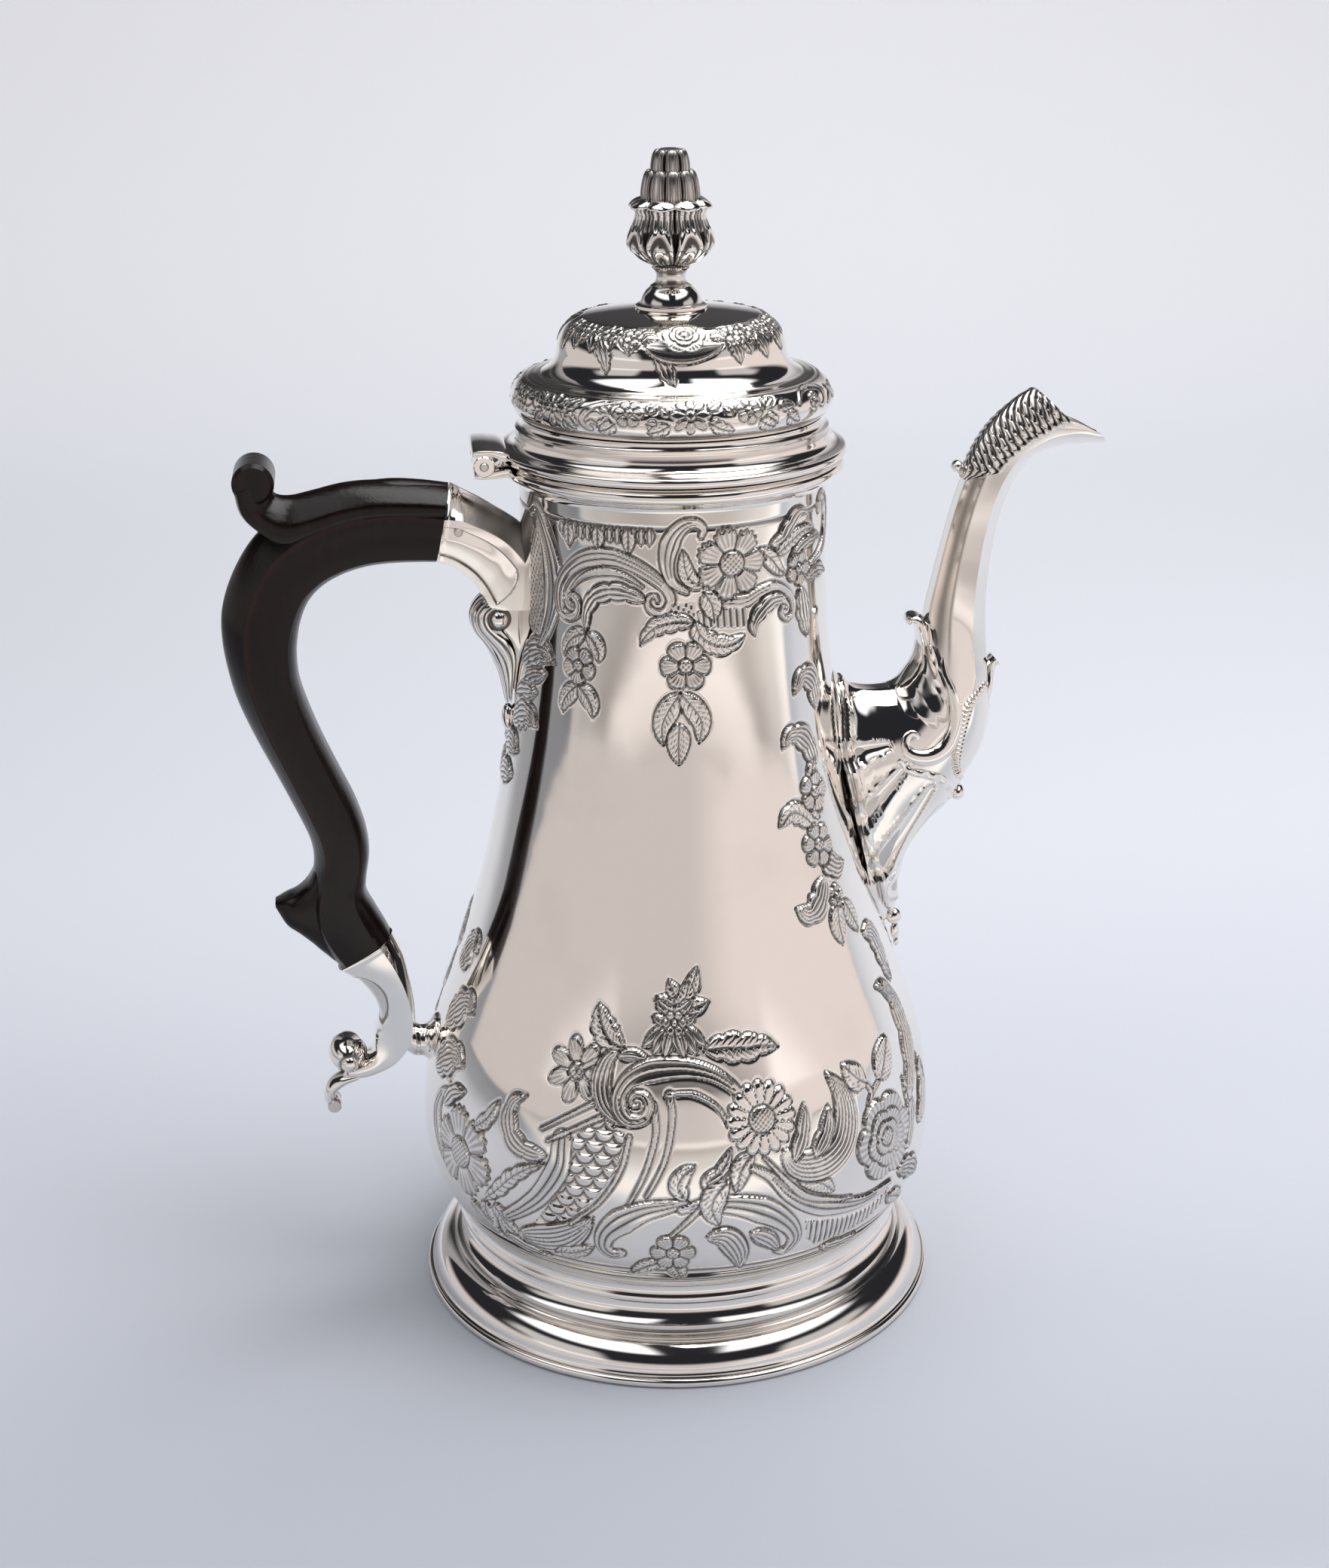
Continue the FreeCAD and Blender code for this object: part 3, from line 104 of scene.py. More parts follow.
def bowed(start: Point, end: Point, rise: float, count: int = 12) -> Array:
    """Points on an arc from start to end that stands off its chord by rise, to the right.

    Args:
        start: where the arc starts.
        end: where it ends.
        rise: how far its middle stands off the chord.
        count: how many points to give back.

    Returns:
        An array of count rows.
    """
    a, b = np.asarray(start, float), np.asarray(end, float)
    half = np.linalg.norm(b - a) / 2
    if abs(rise) < 1e-6:
        return a + np.linspace(0, 1, count)[:, None] * (b - a)
    radius = (half ** 2 + rise ** 2) / (2 * abs(rise))
    span = math.asin(min(1.0, half / radius))
    turn = np.linspace(-span, span, count)
    along = (b - a) / (2 * half)
    right = np.array([along[1], -along[0]]) * np.sign(rise)
    out = radius * np.cos(turn) - radius + abs(rise)
    return (a + b) / 2 + radius * np.sin(turn)[:, None] * along + out[:, None] * right


def smoothstep(low: float, high: float, value: Array) -> Array:
    """Zero below low, one above high, and 3t^2 - 2t^3 between them."""
    t = np.clip((value - low) / (high - low), 0, 1)
    return t * t * (3 - 2 * t)


def bell(distance: Array, width: float) -> Array:
    """One at no distance, falling off as exp(-(distance / width)^2)."""
    return np.exp(-(distance / width) ** 2)


def softened(value: Array) -> Array:
    """Each value mixed with its neighbours, a quarter, a half and a quarter each way.

    Args:
        value: a grid of values.

    Returns:
        The grid, smoothed.
    """
    for axis in (0, 1):
        wide = np.pad(value, [(1, 1) if n == axis else (0, 0) for n in range(2)], mode="edge")
        one, two, three = (np.take(wide, range(k, k + value.shape[axis]), axis) for k in range(3))
        value = one / 4 + two / 2 + three / 4
    return value


class Finish(Enum):
    """The finishes of the pot, by the slot of the record they dress."""

    SILVER = "silver"
    CAST = "cast_silver"
    PIN = "pin_silver"
    INNER = "inner_silver"
    WOOD = "wood"


@dataclass
class Workshop:
    """Turns arrays of points into named pieces and hangs them on the right body."""

    materials: dict[Finish, bpy.types.Material]
    made: list[str] = field(default_factory=list)

    def piece(self, name: str, body: str, finish: Finish, points: Array, faces: Array | list,
              stands_for: Sequence[str] = (), worn: Array | None = None, crease: float = 38.0,
              normals: Array | None = None, turned: bool = False,
              chased: Array | float = 0.0) -> bpy.types.Object:
        """Makes one mesh object at the origin.

        Args:
            name: the name of the piece.
            body: the moving body that it rides on.
            finish: its finish.
            points: corners in millimetres, one row each.
            faces: rows of corner numbers.
            stands_for: the solids that the piece is shown in place of.
            worn: a value for each corner, kept as the attribute patina.
            crease: edges with a sharper bend than this, in degrees, stay crisp.
            normals: a direction for each corner, where shading is to be exact.
            turned: whether the faces have to be turned outwards first.
            chased: how matt each corner is from the chasing tools, kept as the attribute chased.

        Returns:
            The new object.
        """
        mesh = bpy.data.meshes.new(name)
        mesh.from_pydata((np.asarray(points) * MM).tolist(), [], [list(map(int, f)) for f in faces])
        if turned:
            shell = bmesh.new()
            shell.from_mesh(mesh)
            bmesh.ops.recalc_face_normals(shell, faces=shell.faces)
            shell.to_mesh(mesh)
            shell.free()
        mesh.shade_smooth()
        if normals is not None:
            mesh.normals_split_custom_set_from_vertices(normals.tolist())
        else:
            mesh.set_sharp_from_angle(angle=math.radians(crease))
        for key, given in (("patina", 0.0 if worn is None else worn), ("chased", chased)):
            layer = mesh.attributes.new(key, "FLOAT", "POINT")
            value = np.zeros(len(mesh.vertices)) + np.asarray(given, float).ravel()
            layer.data.foreach_set("value", value.astype(np.float32))
        mesh.materials.append(self.materials[finish])
        made = bpy.data.objects.new(name, mesh)
        bpy.context.scene.collection.objects.link(made)
        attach(made, body)
        if stands_for:
            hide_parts(*stands_for)
        self.made.append(name)
        return made


def grid_faces(rows: int, columns: int, ring: bool = False, loop: bool = False) -> Array:
    """Four-cornered faces over a grid of corners that is numbered row by row.

    Args:
        rows: rows of corners.
        columns: corners in a row.
        ring: whether the last column runs on into the first.
        loop: whether the last row runs on into the first.

    Returns:
        An array of four corner numbers for each face.
    """
    i, j = np.meshgrid(np.arange(rows if loop else rows - 1),
                       np.arange(columns if ring else columns - 1), indexing="ij")
    up, on = (i + 1) % rows, (j + 1) % columns
    corners = [i * columns + j, i * columns + on, up * columns + on, up * columns + j]
    return np.stack(corners, axis=-1).reshape(-1, 4)


def tube_faces(rows: int, columns: int) -> list[list[int]]:
    """Faces of a tube of rows of corners, with both of its ends closed.

    Args:
        rows: rows of corners.
        columns: corners in a row.

    Returns:
        A list of corner numbers for each face.
    """
    last = (rows - 1) * columns
    ends = [list(range(columns)), list(range(last, last + columns))]
    return grid_faces(rows, columns, ring=True).tolist() + ends


def lathe(profile: Array, columns: int = 192) -> tuple[Array, Array]:
    """A closed profile of (radius, height) rows turned once round the pot's axis.

    Args:
        profile: rows of (radius, height).
        columns: corners round it.

    Returns:
        The corners and the faces.
    """
    turn = np.linspace(0, 2 * math.pi, columns, endpoint=False)
    r, z = profile[:, :1], profile[:, 1:]
    points = np.stack([r * np.cos(turn), r * np.sin(turn), z + 0 * turn], axis=-1)
    return points.reshape(-1, 3), grid_faces(len(profile), columns, ring=True, loop=True)


def section(kind: float, count: int) -> Array:
    """The outline |a|^kind + |b|^kind = 1, at evenly spaced angles.

    Args:
        kind: the exponent: 2 is an ellipse, more is squarer.
        count: how many points to give back.

    Returns:
        An array of count rows of (a, b).
    """
    turn = np.linspace(0, 2 * math.pi, count, endpoint=False)
    c, s = np.cos(turn), np.sin(turn)
    size = (np.abs(c) ** kind + np.abs(s) ** kind) ** (-1 / kind)
    return np.stack([c * size, s * size], axis=1)


def railed(back: Path, front: Path, widths: Sequence[float], rows: int = 60, columns: int = 40,
           kind: float = 2.6) -> tuple[Array, list]:
    """A bar between two rails in the plane of handle and spout.

    At each row the section is |a|^kind + |b|^kind = 1, with a from the middle to a rail and
    b across, half a width each way.

    Args:
        back: points of one rail, as (x, z).
        front: points of the other rail, in pairs with back.
        widths: the width across at each pair.
        rows: sections along the bar.
        columns: corners round a section.
        kind: the exponent of the section: 2 is an ellipse, more is squarer.

    Returns:
        The corners and the faces.
    """
    both = smooth_path([(*b, *f, w) for b, f, w in zip(back, front, widths)], rows)
    middle = (both[:, :2] + both[:, 2:4]) / 2
    reach = (both[:, 2:4] - both[:, :2]) / 2
    a, b = section(kind, columns).T
    points = np.empty((rows, columns, 3))
    points[..., 0] = middle[:, :1] + reach[:, :1] * a
    points[..., 1] = both[:, 4:] / 2 * b
    points[..., 2] = middle[:, 1:] + reach[:, 1:] * a
    return points.reshape(-1, 3), tube_faces(rows, columns)


def strap(path: Path, thick: Sequence[float], wide: Sequence[float], rows: int = 80,
          columns: int = 28, kind: float = 3.0) -> tuple[Array, list]:
    """A band bent along a path in the plane of handle and spout.

    The section is |a|^kind + |b|^kind = 1, with a along the path's normal, half a thickness
    each way, and b across, half a width each way.

    Args:
        path: points of the band's middle line, as (x, z).
        thick: thickness at each point.
        wide: width at each point.
        rows: sections along the band.
        columns: corners round a section.
        kind: the exponent of the section.

    Returns:
        The corners and the faces.
    """
    line = smooth_path([(*p, t, w) for p, t, w in zip(path, thick, wide)], rows)
    slope = heading(line[:, :2])
    a, b = section(kind, columns).T
    points = np.empty((rows, columns, 3))
    points[..., 0] = line[:, :1] - slope[:, 1:] * line[:, 2:3] / 2 * a
    points[..., 1] = line[:, 3:] / 2 * b
    points[..., 2] = line[:, 1:2] + slope[:, :1] * line[:, 2:3] / 2 * a
    return points.reshape(-1, 3), tube_faces(rows, columns)


def slab(outline: Path, width: float, rounding: float, count: int = 96) -> tuple[Array, list]:
    """A flat-sided block with an outline in the plane of handle and spout and rounded edges.

    From side to side the outline is drawn in by rounding * (1 - cos t) while the section
    runs out by rounding * sin t.

    Args:
        outline: corners of the outline as (x, z), joined by a smooth closed curve.
        width: how wide the block is along Y.
        rounding: the radius of its edges.
        count: corners round the outline.

    Returns:
        The corners and the faces.
    """
    line = smooth_path((*outline, outline[0]), count + 1)[:-1]
    step = np.roll(line, -1, axis=0) - np.roll(line, 1, axis=0)
    area = np.sum(line[:, 0] * np.roll(line[:, 1], -1) - np.roll(line[:, 0], -1) * line[:, 1])
    inward = np.stack([-step[:, 1], step[:, 0]], axis=1) * np.sign(area)
    inward /= np.linalg.norm(inward, axis=1)[:, None]
    turn = np.radians([-90, -65, -40, -18, 0])
    side = np.concatenate([np.sin(turn) * rounding - width / 2 + rounding,
                           width / 2 - rounding - np.sin(turn[::-1]) * rounding])
    draw = np.concatenate([1 - np.cos(turn), 1 - np.cos(turn[::-1])]) * rounding
    points = np.empty((len(side), count, 3))
    points[..., [0, 2]] = line[None] + draw[:, None, None] * inward[None]
    points[..., 1] = side[:, None]
    return points.reshape(-1, 3), tube_faces(len(side), count)


def ball(centre: Sequence[float], radii: Sequence[float], rows: int = 14,
         columns: int = 24) -> tuple[Array, list]:
    """A ball drawn out to three radii: centre + radii * (cos u cos v, cos u sin v, sin u).

    Args:
        centre: its middle.
        radii: its three radii.
        rows: rows of corners between the poles.
        columns: corners round it.

    Returns:
        The corners and the faces.
    """
    u = np.linspace(-math.pi / 2, math.pi / 2, rows + 2)[1:-1, None]
    v = np.linspace(0, 2 * math.pi, columns, endpoint=False)
    unit = np.stack([np.cos(u) * np.cos(v), np.cos(u) * np.sin(v), np.sin(u) + 0 * v], axis=-1)
    points = np.vstack([unit.reshape(-1, 3), [[0, 0, -1]], [[0, 0, 1]]])
    points = np.asarray(centre) + points * np.asarray(radii)
    low, high, top = rows * columns, rows * columns + 1, (rows - 1) * columns
    faces = grid_faces(rows, columns, ring=True).tolist()
    faces += [[(j + 1) % columns, j, low] for j in range(columns)]
    faces += [[top + j, top + (j + 1) % columns, high] for j in range(columns)]
    return points, faces


def joined(*shapes: tuple[Array, Sequence]) -> tuple[Array, list]:
    """Several shapes as one list of corners and faces.

    Args:
        shapes: corners and faces of each.

    Returns:
        The corners and the faces.
    """
    points: list[Array] = []
    faces: list[list[int]] = []
    start = 0
    for corners, sides in shapes:
        flat = np.asarray(corners).reshape(-1, 3)
        points.append(flat)
        faces += [[int(n) + start for n in side] for side in sides]
        start += len(flat)
    return np.vstack(points), faces


class LeafKind(Enum):
    """How a leaf is worked inside its outline."""

    VEINED = "a midrib with slanting veins"
    RIBBED = "ribs that run with the leaf"


class FlowerKind(Enum):
    """The sorts of flower in the ornament."""

    BLOSSOM = "rounded petals round a button"
    ROSETTE = "serrated petals round a pricked disc"
    POINTED = "pointed petals with a midrib"
    DAISY = "many narrow petals round a beaded disc"
    ROSE = "petals that lie over each other"


class PatchKind(Enum):
    """Grounds that fill a bounded area."""

    SCALES = "overlapping scales"
    STIPPLE = "pricked dots"
    HATCH = "close ribs"


VEINED, RIBBED = LeafKind
BLOSSOM, ROSETTE, POINTED, DAISY, ROSE = FlowerKind
SCALES, STIPPLE, HATCH = PatchKind


@dataclass
class Relief:
    """A height over a surface of revolution, seen unrolled.

    Attributes:
        angle: degrees round the pot, one for each column.
        run: millimetres up the surface, one for each row.
        radius: the surface's radius at each row.
        tool: how wide the chased lines are, in millimetres.
        height: how far the metal stands out, in millimetres.
        oxide: how dark the recesses are, from 0 to 1.
        chased: where the metal is worked, from 0 to 1.
    """

    angle: Array
    run: Array
    radius: Array
    tool: float = 0.37
    height: Array = field(init=False)
    oxide: Array = field(init=False)
    chased: Array = field(init=False)

    def __post_init__(self) -> None:
        """Starts from a plain surface."""
        self.height = np.zeros((len(self.run), len(self.angle)))
        self.oxide = np.zeros_like(self.height)
        self.chased = np.zeros_like(self.height)

    def ring(self, level: float, width: float, depth: float, dark: float) -> None:
        """Chases a line all the way round at a level.

        Args:
            level: where the line runs, in millimetres up the surface.
            width: how wide it is.
            depth: how deep it is.
            dark: how dark it is, from 0 to 1.
        """
        line = bell(self.run - level, width)[:, None]
        self.height -= depth * line
        self.oxide = np.maximum(self.oxide, dark * line)

    def window(self, points: Sequence[Point], margin: float) -> "Window":
        """The part of the surface near some points of (degrees, run).

        Args:
            points: places of (degrees, run).
            margin: how far round them it reaches, in millimetres.

        Returns:
            The window, with the points in its flat coordinates.
        """
        p = np.asarray(points, float)
        round_here = math.radians(1) * float(np.interp(p[:, 1].mean(), self.run, self.radius))
        rows = np.searchsorted(self.run, [p[:, 1].min() - margin, p[:, 1].max() + margin])
        reach = margin / round_here
        columns = np.searchsorted(self.angle, [p[:, 0].min() - reach, p[:, 0].max() + reach])
        across = self.angle[slice(*columns)] * round_here
        x, y = np.meshgrid(across, self.run[slice(*rows)])
        return Window(self, slice(*rows), slice(*columns), x, y, p * [round_here, 1.0])


@dataclass
class Window:
    """A part of a relief with flat coordinates in millimetres."""

    relief: Relief
    rows: slice
    columns: slice
    x: Array
    y: Array
    points: Array

    def along(self, line: Array) -> tuple[Array, Array, Array]:
        """Where each place lies by the nearest sample of a line.

        Args:
            line: rows of points in flat coordinates.

        Returns:
            Share of the line's length, distance from it and side of it, for each place.
        """
        shape = self.x.shape
        place = np.stack([self.x.ravel(), self.y.ravel()], axis=1)
        apart = ((place ** 2).sum(1)[:, None] + (line ** 2).sum(1) - 2 * place @ line.T)
        near = apart.argmin(axis=1)
        slope = np.gradient(line, axis=0)
        off = place - line[near]
        side = np.sign(slope[near, 0] * off[:, 1] - slope[near, 1] * off[:, 0])
        far = np.sqrt(np.maximum(apart[np.arange(len(place)), near], 0))
        share = near / (len(line) - 1)
        return share.reshape(shape), far.reshape(shape), side.reshape(shape)

    def lay(self, edge: Array, shape: Array, oxide: Array, groove: float = 0.3) -> None:
        """Lays a form over what is there, with a groove chased round it.

        Args:
            edge: distance outside the form's outline, negative within.
            shape: height inside the outline.
            oxide: darkness inside the outline.
            groove: how deep the chased line is.
        """
        height = self.relief.height[self.rows, self.columns]
        dark = self.relief.oxide[self.rows, self.columns]
        within = smoothstep(0.12, -0.12, edge)
        line = bell(np.maximum(edge, 0), self.relief.tool)
        worked = self.relief.chased[self.rows, self.columns]
        worked[:] = np.maximum(worked, within)
        height[:] = (height - groove * line) * (1 - within) + shape * within
        dark[:] = np.maximum(dark, line) * (1 - within) + oxide * within


class Motif(Protocol):
    """Anything that can be chased into a relief."""

    def chase(self, relief: Relief) -> None:
        """Works the motif into the relief."""


@dataclass(frozen=True)
class Scroll:
    """A raised band with rolled edges along a curve.

    The section rises at both edges and is hollow between: height * (0.5 + 0.5 q^2) with a
    rounded fall in the last fifth, where q runs from -1 to 1 across the band.
    """

    path: Path
    widths: tuple[float, ...]
    height: float = 0.62

    def chase(self, relief: Relief) -> None:
        """Lays the band along its path.

        Args:
            relief: the surface to work.
        """
        view = relief.window(self.path, max(self.widths))
        count = max(30, 9 * len(self.path))
        line = smooth_path(view.points, count)
        share, far, side = view.along(line)
        spread = smooth_path(np.asarray(self.widths)[:, None], count)[:, 0] / 2
        half = np.interp(share, np.linspace(0, 1, count), spread)
        q = np.clip(side * far / np.maximum(half, 0.2), -1.2, 1.2)
        hollow = 0.5 + 0.5 * q ** 2 + 0.28 * bell(q - 0.1, 0.16) * (half > 1.1)
        shape = self.height * hollow * np.sqrt(np.clip(1 - np.abs(q) ** 6, 0, 1))
        lines = bell(np.abs(q - 0.1) - 0.34, 0.1) * (half > 1.1)
        view.lay(far - half, shape, 0.85 * lines + 0.1 * (1 - q ** 2))


@dataclass(frozen=True)
class Leaf:
    """A leaf along a curve from its stalk to its tip.

    The half width is width / 2 * sin(pi u^0.8)^0.7, cut into lobes where there are any, and
    the leaf is domed across as sqrt(1 - q^2), sinking to its tip.
    """

    path: Path
    width: float
    kind: LeafKind = VEINED
    lobes: int = 0
    height: float = 0.6

    def chase(self, relief: Relief) -> None:
        """Lays the leaf along its path.

        Args:
            relief: the surface to work.
        """
        view = relief.window(self.path, self.width)
        line = smooth_path(view.points, max(30, 14 * len(self.path)))
        length = np.linalg.norm(np.diff(line, axis=0), axis=1).sum()
        share, far, side = view.along(line)
        body = np.sin(math.pi * share ** 0.8) ** 0.7
        notch = np.abs(np.sin(math.pi * self.lobes * share)) ** 0.6 if self.lobes else 1.0
        half = self.width / 2 * body * (0.72 + 0.28 * notch)
        q = np.clip(far / np.maximum(half, 0.15), 0, 1)
        dome = np.sqrt(np.clip(1 - q ** 2.5, 0, 1))
        if self.kind is RIBBED:
            count = max(2, round(self.width / 1.25))
            wave = np.cos(math.pi * count * q * side) * smoothstep(0, 0.12, share)
            shape = self.height * (0.35 + 0.55 * dome) + 0.11 * wave
            dark = smoothstep(0.0, -0.9, wave) * 0.8
        else:
            rib = bell(far, 0.19)
            pitch = max(1.25, length / 11)
            phase = (share * length - 0.9 * far) / pitch
            vein = smoothstep(0.78, 0.98, np.cos(2 * math.pi * phase)) * (q > 0.12)
            shape = self.height * (0.3 + 0.7 * dome * (0.55 + 0.45 * q)) - 0.2 * rib - 0.12 * vein
            dark = np.maximum(0.9 * rib, 0.7 * vein)
        view.lay(far - half, shape, dark)


@dataclass(frozen=True)
class Flower:
    """A flower seen from the front.

    The outline is radius * (1 - cut + cut * |cos(petals * angle / 2)|^0.5), each petal is
    dished, and a raised button sits in the middle.
    """

    centre: Point
    radius: float
    petals: int
    turn: float = 0.0
    kind: FlowerKind = BLOSSOM
    button: ClassVar[dict[FlowerKind, float]] = {
        BLOSSOM: 0.27, ROSETTE: 0.34, POINTED: 0.24, DAISY: 0.36, ROSE: 0.2}

    def chase(self, relief: Relief) -> None:
        """Lays the petals, then the button.

        Args:
            relief: the surface to work.
        """
        view = relief.window((self.centre,), self.radius * 1.25)
        dx, dy = view.x - view.points[0, 0], view.y - view.points[0, 1]
        far, turn = np.hypot(dx, dy), np.arctan2(dy, dx) + math.radians(self.turn)
        if self.kind is ROSE:
            self.overlapped(view, far, turn)
        else:
            self.open_petals(view, far, turn)
        eye = self.radius * self.button[self.kind]
        q = far / eye
        prick = np.cos(dx * 5.2) * np.cos(dy * 5.2)
        grain = 0.1 * prick * (self.kind is not POINTED)
        shape = 0.42 + 0.4 * np.sqrt(np.clip(1 - q ** 2, 0, 1)) + grain * (q < 0.85)
        view.lay(far - eye, shape, 0.7 * smoothstep(0.3, -0.6, prick) * (q < 0.9), 0.34)

    def open_petals(self, view: Window, far: Array, turn: Array) -> None:
        """One ring of petals, each with a dished middle and fine lines.

        Args:
            view: the part of the surface that is worked.
            far: distance from the flower's middle.
            turn: angle round it.
        """
        lobe = np.abs(np.cos(turn * self.petals / 2))
        sharp = {POINTED: 1.1, DAISY: 0.7}.get(self.kind, 0.45)
        cut = {POINTED: 0.42, DAISY: 0.16}.get(self.kind, 0.3)
        rim = self.radius * (1 - cut + cut * lobe ** sharp)
        if self.kind is ROSETTE:
            rim += 0.035 * self.radius * np.cos(turn * self.petals * 5)
        q = far / rim
        seam = bell(lobe * far, 0.5) * (q > 0.3)
        lines = 0.5 + 0.5 * np.cos(turn * self.petals * (3 if self.petals > 10 else 5))
        lines *= smoothstep(0.35, 0.6, q) * (self.petals < 12)
        shape = 0.28 + 0.42 * q * lobe ** 0.4 - 0.3 * smoothstep(0.86, 1.0, q)
        shape -= 0.3 * seam + 0.1 * lines
        view.lay(far - rim, shape, np.maximum(0.9 * seam, 0.45 * lines))

    def overlapped(self, view: Window, far: Array, turn: Array) -> None:
        """Three rings of petals, the inner ones over the outer ones.

        Args:
            view: the part of the surface that is worked.
            far: distance from the flower's middle.
            turn: angle round it.
        """
        for share, count, shift in ((1.0, 6, 0.0), (0.68, 5, 0.4), (0.42, 4, 0.9)):
            lobe = np.abs(np.cos((turn + shift) * count / 2))
            rim = self.radius * share * (0.8 + 0.2 * lobe ** 0.5)
            q = far / rim
            wave = 0.5 + 0.5 * np.cos(turn * count * 6)
            shape = 0.7 - 0.3 * share + 0.34 * q ** 3 - 0.2 * bell(lobe * far, 0.5) - 0.07 * wave
            view.lay(far - rim, shape, 0.4 * wave * smoothstep(0.4, 0.9, q), 0.34)


@dataclass(frozen=True)
class Patch:
    """A bounded ground: scales, dots or ribs."""

    outline: Path
    kind: PatchKind

    def chase(self, relief: Relief) -> None:
        """Fills the inside of the outline.

        Args:
            relief: the surface to work.
        """
        view = relief.window(self.outline, 1.0)
        corner, follow = view.points, np.roll(view.points, -1, axis=0)
        x, y = view.x[..., None], view.y[..., None]
        cross = (corner[:, 1] > y) != (follow[:, 1] > y)
        rise = np.where(np.abs(follow[:, 1] - corner[:, 1]) < 1e-9, 1e-9,
                        follow[:, 1] - corner[:, 1])
        at = corner[:, 0] + (y - corner[:, 1]) / rise * (follow[:, 0] - corner[:, 0])
        inside = (cross & (x < at)).sum(axis=-1) % 2 == 1
        shape, dark = getattr(self, self.kind.name.lower())(view)
        height = relief.height[view.rows, view.columns]
        shade = relief.oxide[view.rows, view.columns]
        height[inside] = shape[inside]
        shade[inside] = dark[inside]
        relief.chased[view.rows, view.columns][inside] = 1.0

    def scales(self, view: Window) -> tuple[Array, Array]:
        """Rows of scales, each row half a scale on, raised to their round ends.

        Args:
            view: the part of the surface that is worked.

        Returns:
            Height and darkness.
        """
        pitch = 4.4
        row = np.floor(view.y / (pitch * 0.62))
        local_y = view.y / (pitch * 0.62) - row
        local_x = (view.x / pitch + 0.5 * (row % 2)) % 1 - 0.5
        far = np.hypot(local_x, (1 - local_y) * 0.62)
        body = smoothstep(0.62, 0.1, far)
        line = bell(far - 0.52, 0.06)
        return 0.1 + 0.4 * body - 0.25 * line, 0.85 * line

    def stipple(self, view: Window) -> tuple[Array, Array]:
        """Dots pricked in a slanting net.

        Args:
            view: the part of the surface that is worked.

        Returns:
            Height and darkness.
        """
        dots = np.cos(view.x * 3.4 + view.y * 1.2) * np.cos(view.y * 3.4 - view.x * 1.2)
        pit = smoothstep(0.1, 0.8, dots)
        return 0.05 - 0.2 * pit, 0.75 * pit + 0.1

    def hatch(self, view: Window) -> tuple[Array, Array]:
        """Upright ribs side by side."""
        wave = np.cos(view.x * 2 * math.pi / 1.5 + 0.25 * view.y)
        return 0.22 + 0.16 * wave, 0.8 * smoothstep(0.0, -0.9, wave)


@dataclass(frozen=True)
class Fringe:
    """A row of leaf tips that hang from the border line."""

    first: float = -50.6
    last: float = -14.0
    top: float = 193.1
    pitch: float = 2.95
    short: Point = (2.2, 3.2)
    long: Point = (3.0, 5.4)
    long_tips: tuple[float, ...] = (-47.6, -34.7, -22.9)

    def chase(self, relief: Relief) -> None:
        """Lays short tips side by side and three long ones over them.

        Args:
            relief: the surface to work.
        """
        for middle in np.arange(self.first, self.last, self.pitch):
            path = tuple((middle, self.top - down) for down in (0, *self.short))
            Leaf(path, 2.0, RIBBED, height=0.4).chase(relief)
        for middle in self.long_tips:
            path = tuple((middle, self.top - down) for down in (0, *self.long))
            Leaf(path, 2.8, height=0.45).chase(relief)


@dataclass(frozen=True)
class Garland:
    """A row of leaves end to end, each with a smaller one that hangs from it.

    Places are (degrees, run) and are rounded to a tenth of a degree.
    """

    first: float
    hanging: Path
    lying: Path = ((0.0, 28.7), (3.7778, 29.4), (7.3333, 28.7))
    pitch: float = 6.8889
    count: int = 10

    def chase(self, relief: Relief) -> None:
        """Lays each pair of leaves, over the one before it.

        Args:
            relief: the surface to work.
        """
        for n in range(self.count):
            start = self.first + self.pitch * n
            for path, width, kind in ((self.lying, 2.4, RIBBED), (self.hanging, 2.2, VEINED)):
                moved = tuple((round(start + x, 1), y) for x, y in path)
                Leaf(moved, width, kind, 2, 0.4).chase(relief)


def spray(width: float, kind: LeafKind, lobes: int, *paths: Path) -> tuple[Leaf, ...]:
    """Leaves of one sort along several paths."""
    return tuple(Leaf(path, width, kind, lobes) for path in paths)


def mirrored(middle: float, path: Path, width: float, kind: LeafKind,
             lobes: int) -> tuple[Leaf, ...]:
    """Two leaves, one on each side of a middle in degrees, with the path given off from it."""
    return spray(width, kind, lobes, *(tuple((middle + side * x, y) for x, y in path)
                                       for side in (-1, 1)))


